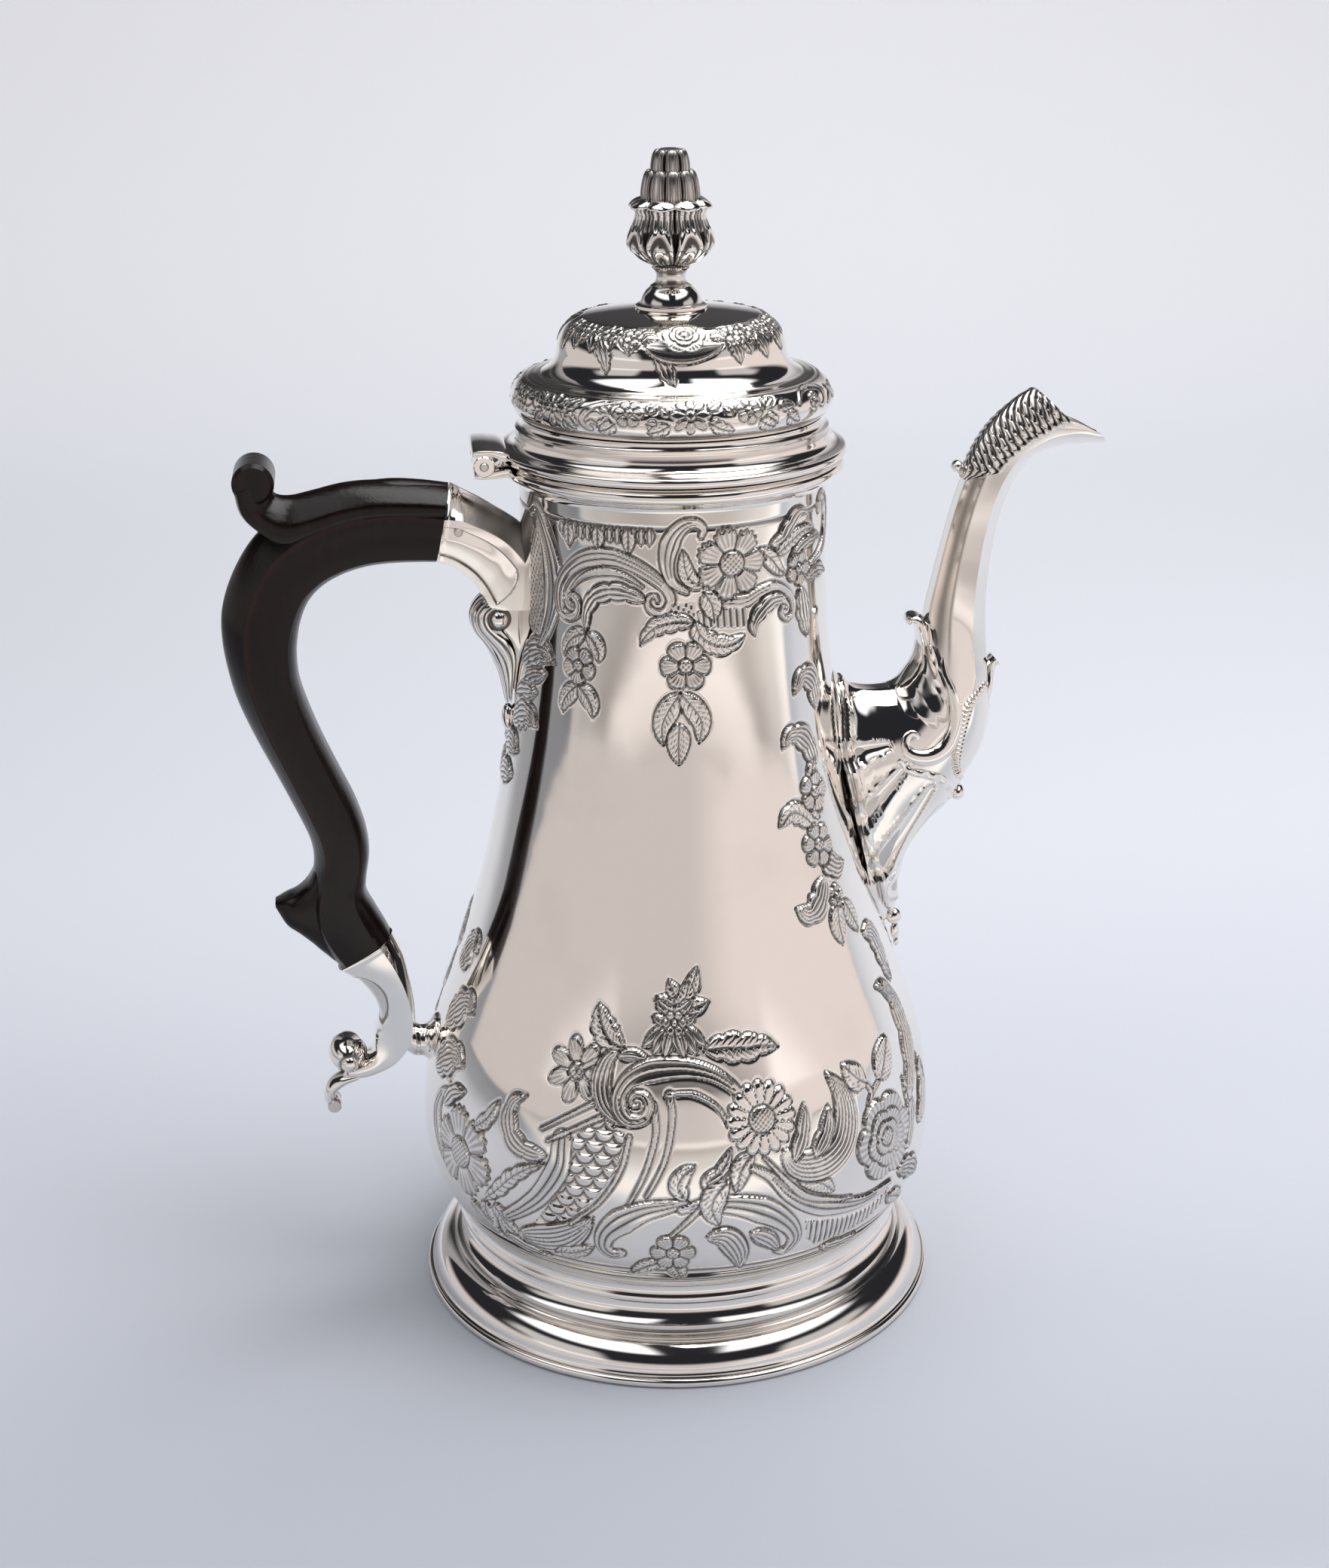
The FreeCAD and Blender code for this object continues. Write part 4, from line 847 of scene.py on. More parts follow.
# The chased ornament, laid from the ground up. Places are (degrees, height) on the body.
BODY_ORNAMENT: tuple[Motif, ...] = (
    Patch(((-70.6, 190.3), (-62.4, 187), (-60.6, 178.7), (-62.4, 169.5), (-67.6, 164.5),
          (-72.4, 167.8), (-72.4, 184.5)), STIPPLE),
    Leaf(((-75.9, 157.8), (-67.6, 161.2), (-60.6, 162.4), (-54.2, 161)), 7.4, RIBBED, 3),
    Leaf(((-73.5, 153.7), (-66.5, 156.2), (-58.8, 157.8)), 4.5, RIBBED, 2),
    Leaf(((-79.4, 150.3), (-71.2, 152), (-63.5, 152.8)), 5.3, RIBBED, 2),
    Leaf(((-80.6, 143.7), (-72.4, 146.6), (-66.5, 147), (-62, 145.2)), 7.7, RIBBED, 3),
    Leaf(((-87.6, 137), (-80.6, 138.7), (-73.3, 137.4)), 6.7, RIBBED, 2),
    Leaf(((-90, 129.5), (-82.9, 131.2), (-75.9, 131.2)), 6.7, RIBBED, 2),
    Scroll(((-70.6, 193), (-65.9, 194), (-60.8, 190.3), (-56.5, 184.5), (-54.7, 179.1),
           (-55.2, 173.7), (-58.2, 168.2), (-62, 164.3)),
           (1.6, 3.2, 4.5, 4.8, 4.8, 4.5, 3.5, 1.4)),
    Scroll(((-65.1, 190.8), (-62, 185.3), (-60.4, 178.7), (-60.8, 172), (-63.5, 166.3)),
           (1, 1.9, 2.1, 1.9, 0.8), 0.4),
    Scroll(((-45.5, 174.8), (-47.4, 175.2), (-47.9, 176.3), (-45.8, 177), (-43.2, 175.7),
           (-43.6, 173.3), (-47.4, 172.2), (-51.2, 173.3), (-52.2, 176.6), (-50.7, 179.9),
           (-46.2, 183.2), (-39.4, 185.7), (-30, 186.7), (-21.8, 185.5), (-14.7, 183.2),
           (-9.5, 180.5), (-7.8, 177.7), (-9.8, 175.5), (-13.3, 175.2), (-15.9, 176.5),
           (-15.6, 178.3), (-13.3, 178.8), (-12.4, 177.7)), (0.8, 1, 1.1, 1.3, 1.4, 1.6, 1.8, 2.1,
           2.6, 3, 3.5, 3.8, 4, 3.8, 3.4, 2.7, 2.1, 1.8, 1.6, 1.4, 1.1, 1, 0.6), 0.7),
    Scroll(((-46.9, 178.2), (-43.2, 180.7), (-38.2, 182.5), (-31.2, 183.4), (-24.1, 182.8),
           (-18, 180.7)), (0.5, 1.1, 1.6, 1.8, 1.4, 0.5), 0.35),
    Leaf(((-16.8, 177.8), (-24.1, 179.2), (-31.2, 179), (-36.8, 177.2), (-39.6, 173.7),
         (-39.4, 169.7)), 4.2, RIBBED, 5),
    Leaf(((-39.6, 169.3), (-44.1, 168.2), (-47.4, 166.2), (-49.3, 163.3)), 4),
    Leaf(((-39.2, 169.3), (-36.1, 167.7), (-34.2, 165.3), (-34.2, 163.3)), 3.7),
    Leaf(((-42.5, 157.5), (-46.2, 155.3), (-48.4, 153), (-48.8, 151)), 4.2),
    Leaf(((-42, 157.5), (-38.2, 155.3), (-36.1, 153), (-35.9, 151)), 4.2),
    Flower((-42.5, 161.8), 4.2, 5, 20),
    Leaf(((30.6, 188), (35.9, 188.7), (40, 191.2), (45.3, 193.7), (51.8, 193)), 4, RIBBED, 4),
    Leaf(((32.4, 185.3), (40.6, 187.7), (48.8, 189.3), (57.1, 188.7)), 3.7, lobes=3),
    Leaf(((40.6, 183.7), (48.8, 186.2), (58.2, 186.8), (62.9, 185.8)), 3.4, RIBBED, 2),
    Leaf(((24.7, 187.2), (30, 185.3), (34.7, 182.2), (38.5, 180.7)), 3.7),
    Leaf(((50.6, 178.5), (57.1, 179.5), (62.9, 178.8), (67.9, 177.3)), 4.5, RIBBED, 2),
    Scroll(((62, 192), (62.5, 194.2), (66.5, 195), (70.2, 192.8), (71.4, 189.3), (69.1, 185.3),
           (62.9, 182.4), (54.1, 181.2)), (1.3, 2.4, 3.2, 3.7, 3.7, 3.4, 2.6, 1.1)),
    Scroll(((11.4, 177), (19.4, 176.7), (25.9, 178.2), (32.4, 178.7), (38.2, 177), (41.8, 174.3),
           (41.3, 171.7), (38.2, 170.8), (35.6, 172.2), (36.4, 173.7), (38.5, 173.3)),
           (2.7, 2.9, 2.9, 2.9, 2.6, 2.1, 1.6, 1.3, 1.1, 1, 0.6), 0.6),
    Leaf(((37.6, 175.8), (31.2, 175.7), (25.9, 173.8), (22.9, 171.3), (23.2, 168.7)),
         3.8, RIBBED, 4),
    Leaf(((46.5, 177), (47.9, 172), (48.8, 168.2), (49.8, 165.5)), 5, RIBBED, 3),
    Patch(((-7.6, 176.8), (0.8, 177.3), (0.8, 174), (-3.5, 173.3), (-7.6, 174.5)), STIPPLE),
    Patch(((1.2, 175.2), (7.6, 175.5), (20, 175.2), (20, 171), (11.2, 171.3), (2.9, 172)), HATCH),
    Leaf(((0.4, 173), (-5.9, 173.3), (-12.4, 172.3), (-16.5, 170.2), (-18.5, 168.2)), 4, lobes=4),
    Leaf(((0.6, 173), (2.9, 169.9), (8.2, 167.8), (14.1, 167.7), (19.2, 169.2)), 4.8, lobes=4),
    Leaf(((4.1, 179.3), (6.7, 176.7), (7.6, 173.2)), 4.5),
    Scroll(((3.2, 191.7), (3.9, 193.2), (1.5, 194.5), (-2.7, 194.2), (-6.7, 191.7), (-8.8, 188),
           (-8.8, 184.3), (-6.7, 181.5), (-2.2, 179.8)),
           (1, 1.8, 2.6, 3.4, 4, 4, 3.7, 2.9, 1), 0.75),
    Leaf(((3.9, 180.5), (-1.8, 183.2), (-3.6, 188.7)), 3.5),
    Flower((14.5, 185.3), 7.8, 7, kind=ROSETTE),
    Flower((45.5, 181.3), 3.9, 5, 10),
    Flower((-2.7, 163.5), 5.4, 6),
    Leaf(((-4.8, 157.5), (-8.8, 153.7), (-10.9, 150.3), (-10.5, 146.5)), 4.8),
    Leaf(((-4.4, 157.5), (0.4, 153.7), (2.5, 150.7), (1.5, 146.8)), 4.8),
    Leaf(((-5.1, 150.7), (-5.5, 146.2), (-5.3, 142.2)), 5),
    Leaf(((52.4, 148.7), (51.8, 153.7), (48.8, 156.3), (44.1, 156.7), (39.9, 153.5)),
         5.9, RIBBED, 3),
    Leaf(((47.6, 136.2), (45.3, 141.2), (41.2, 144.2), (35.9, 144.8), (32.4, 142.3)),
         5.9, RIBBED, 3),
    Leaf(((41.8, 123.7), (37.6, 126.6), (32.9, 128), (27.9, 125.5)), 5.1, lobes=3),
    Leaf(((45.3, 132.8), (45.3, 135.8), (46.5, 138)), 3.5),
    Leaf(((45.3, 127.8), (45.5, 124.3)), 4.5),
    Flower((45.1, 130.8), 4.6, 5),
    Leaf(((44.1, 116), (50, 112.5), (54.5, 112.8)), 6.4, RIBBED, 2),
    Leaf(((42.9, 111.5), (39.4, 107), (34.7, 105), (30.2, 107)), 6.6, RIBBED, 3),
    Leaf(((46.5, 105), (45.5, 100), (45.5, 95.6)), 5.5),
    Leaf(((50, 104.5), (52.4, 100.5), (54.2, 96.2)), 4.5),
    Flower((47.1, 106.5), 2.5, 5),
    Flower((43.2, 119), 5, 6, 15),
    Leaf(((56.5, 95.5), (61.8, 93.5), (64.1, 88), (65.3, 80.5)), 6, RIBBED, 4),
    *spray(3.8, VEINED, 2, ((-6.2, 88.8), (-7.1, 92.2), (-8.8, 95.5)), ((-6.2, 88.8), (-3.2, 93.4),
           (-1.2, 98)), ((-6.2, 88.8), (-8.7, 90.3), (-12.1, 91.8)), ((-6.2, 88.8), (-2, 89.8),
           (1.3, 90.8)), ((-6.2, 88.8), (-4.4, 92), (-3.5, 95.2))),
    *mirrored(-7.3, ((0.9, 85.6), (4.6, 83.6), (7.6, 81.4)), 3, RIBBED, 0),
    *mirrored(-7.3, ((0.6, 85.6), (3.1, 82.8), (5.2, 79.8)), 3, RIBBED, 0),
    *mirrored(-7.3, ((0.3, 85.6), (1.4, 82.4), (2.4, 79)), 3, RIBBED, 0),
    *mirrored(-7.3, ((0, 85.9), (2.9, 86.8), (5.2, 88)), 2.8, VEINED, 2),
    *mirrored(-7.3, ((0, 88.3), (2.5, 89.8), (4.6, 91.3)), 2.8, VEINED, 2),
    Flower((-7.3, 86.4), 2.6, 6),
    Leaf(((-19.6, 80.9), (-22.7, 82.1), (-25.2, 85), (-26.8, 89.4)), 6.2, lobes=4),
    Leaf(((0, 80.7), (4.7, 80.9), (10, 80.4), (14, 80.4), (18, 79.4)), 6.3, lobes=4),
    Leaf(((-84, 83.6), (-80, 88.6), (-76.7, 91.4), (-73.9, 89.4)), 8.5, RIBBED, 3),
    Leaf(((-80, 71.4), (-75.3, 75.7), (-70.7, 78.9), (-66.8, 77.7)), 9.2, RIBBED, 3),
    Leaf(((-78.7, 60.7), (-73.3, 65), (-68.7, 67.1), (-64.7, 66.1)), 9.2, RIBBED, 3),
    Scroll(((-68, 40), (-72.5, 45), (-74.5, 51.4), (-72.5, 56.4), (-69.3, 58.9)),
           (1.1, 3.9, 5.2, 4.2, 1), 0.5),
    Leaf(((-52.7, 37.9), (-53, 34.3), (-51, 30.4)), 4.4),
    Leaf(((-50, 38.6), (-47.3, 34.3), (-43.9, 31.3)), 5.1, lobes=3),
    Leaf(((-52.7, 38.6), (-48.7, 42.5), (-44.7, 47.1), (-40.7, 50.4), (-36.3, 53)), 3.9, lobes=5),
    Flower((-61.2, 47), 10.6, 6, 15, ROSETTE),
    Leaf(((-35.9, 54.9), (-40.7, 54.6), (-44.7, 56.4), (-46.5, 60.7), (-45.7, 65), (-42.5, 66.9)),
         5.4, RIBBED, 4),
    Patch(((-29.7, 60.7), (-23.3, 65.6), (-18, 62.3), (-19.7, 55), (-23.3, 48.6), (-28, 42.9),
          (-33.3, 38.6), (-40, 35.7), (-36.7, 40.7), (-31.3, 49.3), (-29.7, 55)), SCALES),
    Leaf(((-44, 32), (-38, 33), (-32.7, 35), (-28, 38.6), (-24.8, 42.3)), 8.2, RIBBED),
    Scroll(((-32.4, 59.4), (-32.9, 52.9), (-36.7, 45.7), (-41.3, 40.7), (-46.3, 36.6)),
           (4.5, 5.4, 5.5, 5.2, 2.8), 0.5),
    Scroll(((-37.7, 60.7), (-31.3, 65), (-24.3, 69.4)), (0.7, 1.1, 1.1), 0.35),
    Scroll(((-35.9, 58.4), (-29.7, 62.3), (-23.3, 66.1)), (0.7, 1.1, 1.1), 0.35),
    Scroll(((-17.2, 62), (-18.9, 54.3), (-23.3, 46.4), (-29.7, 39.9)), (1.1, 1.1, 1.1, 0.8), 0.35),
    Scroll(((-12, 69.1), (-11.5, 62.9), (-13.6, 54.3), (-17.3, 45.7)), (1.3, 1.3, 1.3, 0.8), 0.35),
    Scroll(((-8.5, 71.6), (-7.9, 66.4), (-9.5, 57.1), (-13.3, 48.6)), (1.3, 1.3, 1.3, 0.8), 0.35),
    Scroll(((-9, 71.4), (-3.3, 71.6), (2, 68.7), (4.3, 65)), (0.8, 1, 1, 0.7), 0.3),
    Flower((-30.5, 74.9), 7.2, 7, kind=POINTED),
    Scroll(((-23.3, 78.9), (-27, 76.8), (-29.7, 75.3)), (1, 1, 0.8), 0.3),
    Leaf(((-20.9, 80.1), (-23.3, 77.9), (-24.3, 73.6), (-23.3, 69.3), (-20.7, 66.4),
         (-17.2, 64.7)), 4.4, RIBBED),
    Leaf(((-20.7, 79.1), (-17.3, 79.6), (-13.3, 78.7)), 2.4, RIBBED),
    Scroll(((-15.5, 69.1), (-16.7, 69.1), (-17.1, 70.4), (-15.9, 71.6), (-13.9, 71.1),
           (-12.9, 68.9), (-14.3, 66.4), (-17.2, 65.9), (-19.3, 67.9), (-19.6, 71), (-17.7, 74.1),
           (-14.3, 76.1), (-10, 77), (-4, 77), (1.3, 75.6), (5.3, 73.1), (8.4, 70)), (0.6, 0.8, 1,
           1.3, 1.5, 1.8, 2.3, 2.8, 3.5, 4.1, 4.5, 4.8, 4.9, 4.8, 4.2, 3.2, 1.7), 0.85),
    Scroll(((-19.1, 33.4), (-21.3, 33), (-22.8, 35), (-22, 38.6), (-18.7, 42.1), (-14, 45),
           (-9.3, 46.4), (-5.5, 47.3)), (2.1, 3.5, 4.9, 6.1, 6.3, 6.1, 4.9, 1.8), 0.6),
    Scroll(((-6, 45.7), (0, 46.7), (6.7, 45.7), (12.7, 42.9), (17.3, 38.6), (19.1, 34.3),
           (17.3, 31.3), (15.3, 31.8)), (1.7, 4.6, 5.9, 6.3, 5.9, 4.6, 3.1, 1.7), 0.6),
    Leaf(((-0.7, 38.6), (3.3, 37.9), (6, 33.6), (7.3, 27.9)), 5.9, RIBBED),
    Leaf(((8.7, 38.6), (12.7, 35.7), (15.5, 32)), 4.4, RIBBED),
    Leaf(((-10, 31.4), (-13.3, 30), (-17.5, 27)), 3.8),
    Leaf(((-8.5, 31.4), (-7.2, 29.1), (-5.9, 25.1)), 4.1),
    Scroll(((-8.7, 38.4), (-4, 43.6), (0, 48.6), (4.3, 54.9)), (0.8, 1.1, 1.1, 0.8), 0.35),
    Leaf(((-5, 48), (-6.7, 51.3), (-5.3, 54.3), (-3.1, 56)), 4.1),
    Leaf(((0, 49.3), (-0.5, 52.1), (2.7, 55), (4.8, 59.4)), 3.2, lobes=2),
    Leaf(((3.7, 52.1), (1, 48.6), (0.4, 45), (1.9, 41.4)), 5.6),
    Leaf(((9.3, 58), (6.7, 54.3), (5.5, 49.1)), 4.5),
    Flower((-7.9, 34.3), 5, 6),
    Leaf(((-58.7, 35.7), (-55.3, 32.1), (-50, 28.6)), 4.5, RIBBED, 2),
    Leaf(((-48.7, 30.7), (-43.3, 28.6), (-36.7, 27.9)), 4.2, RIBBED, 2),
    Leaf(((-34.7, 30.4), (-30, 31.4), (-25, 34.3)), 3.9, lobes=2),
    Leaf(((-70, 55), (-66.7, 59.3), (-62, 61.4)), 4.2, RIBBED, 2),
    Leaf(((-56.7, 55), (-52.7, 58.6), (-50, 63.6)), 3.7, lobes=2),
    Leaf(((27.3, 28.6), (32.7, 27.1), (39.3, 27.5)), 3.8, RIBBED, 2),
    Leaf(((47.3, 34.3), (52, 32.1), (57.3, 28.6)), 4.5, lobes=2),
    Patch(((21.3, 38.6), (31.3, 35.7), (40.7, 34.9), (46.7, 37.1), (45.3, 33.6), (40.7, 31.1),
          (32.7, 30.4), (24.7, 30.7), (22, 33.6)), HATCH),
    Scroll(((9.3, 54.3), (13.3, 51.4), (17.3, 46.4), (22.7, 42.5), (30, 39.6), (38, 37.9),
           (46.7, 38.6)), (1.4, 3.5, 4.6, 4.9, 4.8, 4.2, 1.4), 0.6),
    Scroll(((12, 56.1), (16.7, 50), (21.3, 45), (28.7, 41.8), (33.3, 40.7)),
           (0.7, 1.4, 1.5, 1.4, 0.6), 0.35),
    Leaf(((19.3, 50), (23.7, 48.2), (28.5, 43.9)), 5.1),
    Leaf(((16.3, 57.1), (20, 52.9), (26, 52.1), (31, 55), (33.2, 60.7), (32.7, 66.4),
         (29.8, 71.3)), 8.5, RIBBED),
    Leaf(((18.7, 54.3), (21.2, 60), (22.5, 66.3)), 3.9, RIBBED, 2),
    Leaf(((23.7, 53.9), (27.3, 58.9), (28.8, 64.4)), 4.5, RIBBED, 2),
    Flower((12, 65), 8.1, 16, kind=DAISY),
    Scroll(((41.3, 61.4), (43.3, 63), (45.9, 64.3)), (1, 1, 0.8), 0.35),
    Scroll(((40.8, 60.6), (42.3, 62.9), (41, 65.4)), (1, 1, 0.8), 0.35),
    Leaf(((41, 65.4), (38.3, 67.5), (34.9, 71.6)), 5.9),
    Leaf(((45.9, 64.3), (49, 67.9), (52.7, 72.4)), 7.3),
    Leaf(((54, 43.6), (56.7, 49.3), (57.3, 55), (55.7, 61.4)), 4.9, RIBBED, 3),
    Leaf(((56.7, 55), (60.7, 61.4), (63.3, 69.3), (62.7, 77.1), (59.3, 81.4), (55.1, 82.7)),
         7.3, RIBBED, 4),
    Leaf(((50, 40.7), (56.7, 37.9), (64.7, 32.1)), 6.3, RIBBED, 3),
    Leaf(((62, 46.4), (65.3, 50.7), (67.3, 56.4), (66.7, 62.1)), 6.3, RIBBED, 3),
    Flower((45.3, 51.1), 10.2, 5, kind=ROSE),
)

# The lid's ornament. Places are (degrees, millimetres up the outline from the bead's foot).
LID_ORNAMENT: tuple[Motif, ...] = (
    Patch(((-84.4, 10), (-61.1, 10.2), (-61.1, 4.5), (-84.4, 4.3)), SCALES),
    *spray(2.7, VEINED, 2, ((-46.7, 7.2), (-43.3, 9.1), (-40, 10.2)), ((-46.7, 5.9), (-43.9, 5.3),
           (-41.1, 4.1)), ((-57.8, 8.1), (-60.6, 9.5), (-63.3, 10.2)), ((-57.8, 5.9), (-60, 5.2),
           (-62.2, 3.8)), ((-28.9, 7.7), (-31.7, 9.1), (-34.4, 9.7)), ((-27.8, 5.4), (-30.6, 5.1),
           (-33.3, 4.1)), ((-15.6, 7.7), (-13.3, 9.3), (-11.1, 10.2)), ((-15.6, 5.4), (-13.3, 4.9),
           (-11.1, 3.6)), ((-7.8, 7.2), (-9.4, 8.5), (-11.1, 9.1)), ((5.6, 8.1), (8.3, 9.5),
           (11.1, 10.2)), ((5.6, 5.4), (8.3, 4.9), (11.1, 3.7)), ((14.4, 7.2), (12.8, 8.5),
           (11.1, 9.1)), ((26.7, 7.7), (29.4, 9.2), (32.2, 10)), ((26.7, 5.9), (29.4, 5.2),
           (32.2, 3.8)), ((33.3, 7.2), (36.7, 7.6), (40, 7.2)), ((36.7, 5.4), (39.4, 5),
           (42.2, 3.8))),
    *spray(3.3, VEINED, 2, ((-7.8, 5.1), (-11.6, 3.8), (-15.3, 3.2)), ((6.7, 5.1), (10.7, 3.8),
           (14.7, 3.2)), ((-26.7, 5.1), (-29.7, 3.8), (-32.7, 3.2)), ((24.4, 5.1), (27.8, 3.8),
           (31.1, 3.2)), ((-46.9, 5.1), (-44.6, 3.8), (-42.2, 3.2)), ((36.7, 5.1), (40, 3.8),
           (43.3, 3.2))),
    Scroll(((-33.8, 5), (-35.6, 5.3), (-36.9, 4.5), (-35.6, 3.6), (-37.8, 4.1), (-39.3, 5.5),
           (-37.1, 7.9), (-32, 9.6), (-25.8, 10.1)),
           (0.5, 0.7, 0.8, 0.9, 1.1, 1.3, 1.5, 1.3, 0.6), 0.45),
    Scroll(((43.3, 7.2), (46.7, 9.5), (52.4, 10.8), (58.9, 10), (62, 7.7), (60, 5.4), (56.7, 5.6),
           (56.9, 6.7)), (0.6, 1.2, 1.6, 1.6, 1.4, 1.1, 0.8, 0.5), 0.45),
    Leaf(((64.4, 5), (71.1, 7.2), (77.8, 9.1)), 2.2, RIBBED, 2, height=0.4),
    Leaf(((66.7, 9.1), (73.3, 6.3), (82.2, 4.5)), 2.2, RIBBED, 2, height=0.4),
    Flower((-52, 7.2), 3.8, 8, kind=POINTED),
    Flower((-22, 7.7), 3.2, 6),
    Flower((-0.6, 7.2), 4.3, 8, kind=POINTED),
    Flower((20.6, 7.5), 3, 6, 20),
    Flower((53.3, 7.2), 2, 5),
    Flower((-73.3, 7.2), 2.6, 6),
    Garland(-85.5556, ((2.2222, 27.7), (4.8889, 26.4), (5.7778, 24.8))),
    Garland(21.1111, ((2.2222, 27.7), (4.4444, 26.4), (4.8889, 24.8))),
    Leaf(((-66.7, 27.3), (-64.2, 25.5), (-63.8, 23.6)), 3, lobes=3),
    Leaf(((-53.3, 27.3), (-51.6, 25.4), (-51.1, 23.6)), 3, lobes=3),
    Leaf(((-46.7, 26.4), (-42.2, 23.2), (-39.4, 19.6)), 3.8, RIBBED, 4),
    Leaf(((-31.1, 27.3), (-28.9, 25.4), (-27.8, 23.6)), 3, lobes=3),
    Leaf(((24.4, 27.3), (27.2, 24.3), (28.9, 21.1)), 3.6, RIBBED, 4),
    Leaf(((32.2, 27.3), (34.4, 25), (35.8, 23.1)), 3, lobes=3),
    Leaf(((43.3, 26.8), (45.8, 24.1), (47.8, 21.3)), 3.4, RIBBED, 3),
    Leaf(((60, 26.8), (62.4, 24.1), (64.4, 21.8)), 3.2, RIBBED, 3),
    Leaf(((-78.9, 26.8), (-77.8, 24.6), (-77.2, 22.3)), 3.2, RIBBED, 3),
    Flower((-61.1, 28.2), 2.6, 6),
    Flower((-42.2, 28.8), 2.6, 6),
    Flower((-27.8, 27.8), 2.2, 5),
    Flower((27.8, 28.1), 2.6, 6),
    Flower((38.9, 28.8), 2.4, 5),
    Flower((55.6, 28.7), 2.6, 6),
    Flower((73.3, 28.7), 2.4, 6),
    Flower((-77.8, 28.7), 2.4, 6),
    Leaf(((-14.4, 24.1), (-9.8, 20.9), (-5.3, 17)), 3.6, RIBBED, 4),
    Leaf(((-20, 25.4), (0, 24.5), (20, 25.4)), 5.6, RIBBED, height=1.3),
    Flower((0, 28.7), 4.6, 9, kind=ROSE),
    Leaf(((-14.4, 27.3), (-18.9, 27.7), (-22.2, 26.4)), 2.6, RIBBED, height=0.8),
    Leaf(((14.4, 27.3), (18.9, 27.7), (22, 26.4)), 2.6, RIBBED, height=0.8),
)


@dataclass
class BodyShell:
    """The pear-shaped body with its chased ornament, inside and strainer.

    The side is three arcs that run into each other. The radius at height z is
    belly - under + sqrt(under^2 - (z - waist)^2) below the widest place,
    belly - shoulder + sqrt(shoulder^2 - (z - waist)^2) above it, and
    neck + sweep - sqrt(sweep^2 - (top - z)^2) up to the neck, all in millimetres. The outside
    lies ground off that, plus the relief times raised, kept between deepest and highest. Rings
    are (height, width) of chased lines.
    """

    belly: float = 61.4
    waist: float = 42.0
    under: float = 29.5
    shoulder: float = 85.0
    turn_height: float = 71.91
    neck: float = 34.5
    top: float = 190.0
    sweep: float = 335.59
    foot: float = 20.8
    rim: float = 197.4
    ground: float = -0.28
    raised: float = 1.25
    deepest: float = -0.45
    highest: float = 0.95
    rings: tuple[Point, ...] = ((193.2, 0.35), (28.2, 0.35), (24.6, 0.3))
    rows: int = 601
    columns: int = 640
    sectors: int = 4
    wall_inside: float = 1.5
    wall_middle: float = 0.9
    strainer_height: float = 119.0
    strainer_pitch: float = 7.5
    strainer_hole: float = 1.9

    def radius(self, z: Array) -> Array:
        """The body's radius at each height.

        Args:
            z: heights.

        Returns:
            The radius at each height.
        """
        def arc(size: float, up: Array) -> Array:
            """How far an arc stands out from its middle at a height."""
            return np.sqrt(np.maximum(size ** 2 - up ** 2, 0))

        low = self.belly - self.under + arc(self.under, z - self.waist)
        mid = self.belly - self.shoulder + arc(self.shoulder, z - self.waist)
        high = self.neck + self.sweep - arc(self.sweep, np.minimum(z - self.top, 0))
        return np.where(z < self.waist, low, np.where(z < self.turn_height, mid, high))

    def ornament(self) -> Relief:
        """The chased half of the body on the side that is seen.

        Returns:
            The relief of half the body.
        """
        z = np.linspace(self.foot, self.rim, self.rows)
        relief = Relief(np.linspace(-90, 90, self.columns + 1), z, self.radius(z))
        for level, width in self.rings:
            relief.ring(level, width, 0.3, 0.8)
        for motif in (Fringe(), *BODY_ORNAMENT):
            motif.chase(relief)
        return relief

    def build(self, shop: Workshop) -> None:
        """Makes the sectors of the wall, the far ones as mirror images, and the inside.

        Args:
            shop: where the pieces are made.
        """
        relief = self.ornament()
        for side, stride in (("near", 1), ("far", 2)):
            self.wall(shop, relief, side, stride)
        self.inside(shop)

    def wall(self, shop: Workshop, relief: Relief, side: str, stride: int) -> None:
        """Makes one side of the wall in sectors, the far side as a mirror image of the near one.

        Args:
            shop: where the pieces are made.
            relief: the chased surface.
            side: near or far.
            stride: how many rows and columns of the relief each row and column stands for.
        """
        layers = relief.height, relief.oxide, relief.chased
        if stride > 1:
            layers = map(softened, layers)
        high, dark, chased = (layer[::stride, ::stride] for layer in layers)
        turn, run = np.radians(relief.angle[::stride]), relief.run[::stride]
        lift = np.clip(self.raised * high, self.deepest, self.highest)
        out = (relief.radius[::stride] + self.ground)[:, None] + lift
        wide = np.pad(out, ((0, 0), (1, 1)), mode="reflect")
        wider = np.concatenate([[2 * turn[0] - turn[1]], turn, [2 * turn[-1] - turn[-2]]])
        points = np.stack([wide * np.sin(wider), -wide * np.cos(wider), run[:, None] + 0 * wide],
                          axis=-1)
        normals = np.cross(np.gradient(points, axis=1), np.gradient(points, axis=0))
        normals /= np.linalg.norm(normals, axis=-1, keepdims=True)
        points, normals = points[:, 1:-1], normals[:, 1:-1]
        step = self.columns // self.sectors // stride
        faces = grid_faces(len(run), step + 1)
        flip = np.ones(3)
        if side == "far":
            flip[1], faces = -1.0, faces[:, ::-1]
        for n in range(self.sectors):
            cut = np.s_[:, n * step:(n + 1) * step + 1]
            shop.piece(f"body_wall_{side}_{n + 1}", "pot", Finish.SILVER,
                       (points[cut] * flip).reshape(-1, 3), faces,
                       ("body_shell",) if side == "near" and n == 0 else (), dark[cut],
                       normals=(normals[cut] * flip).reshape(-1, 3), chased=chased[cut])

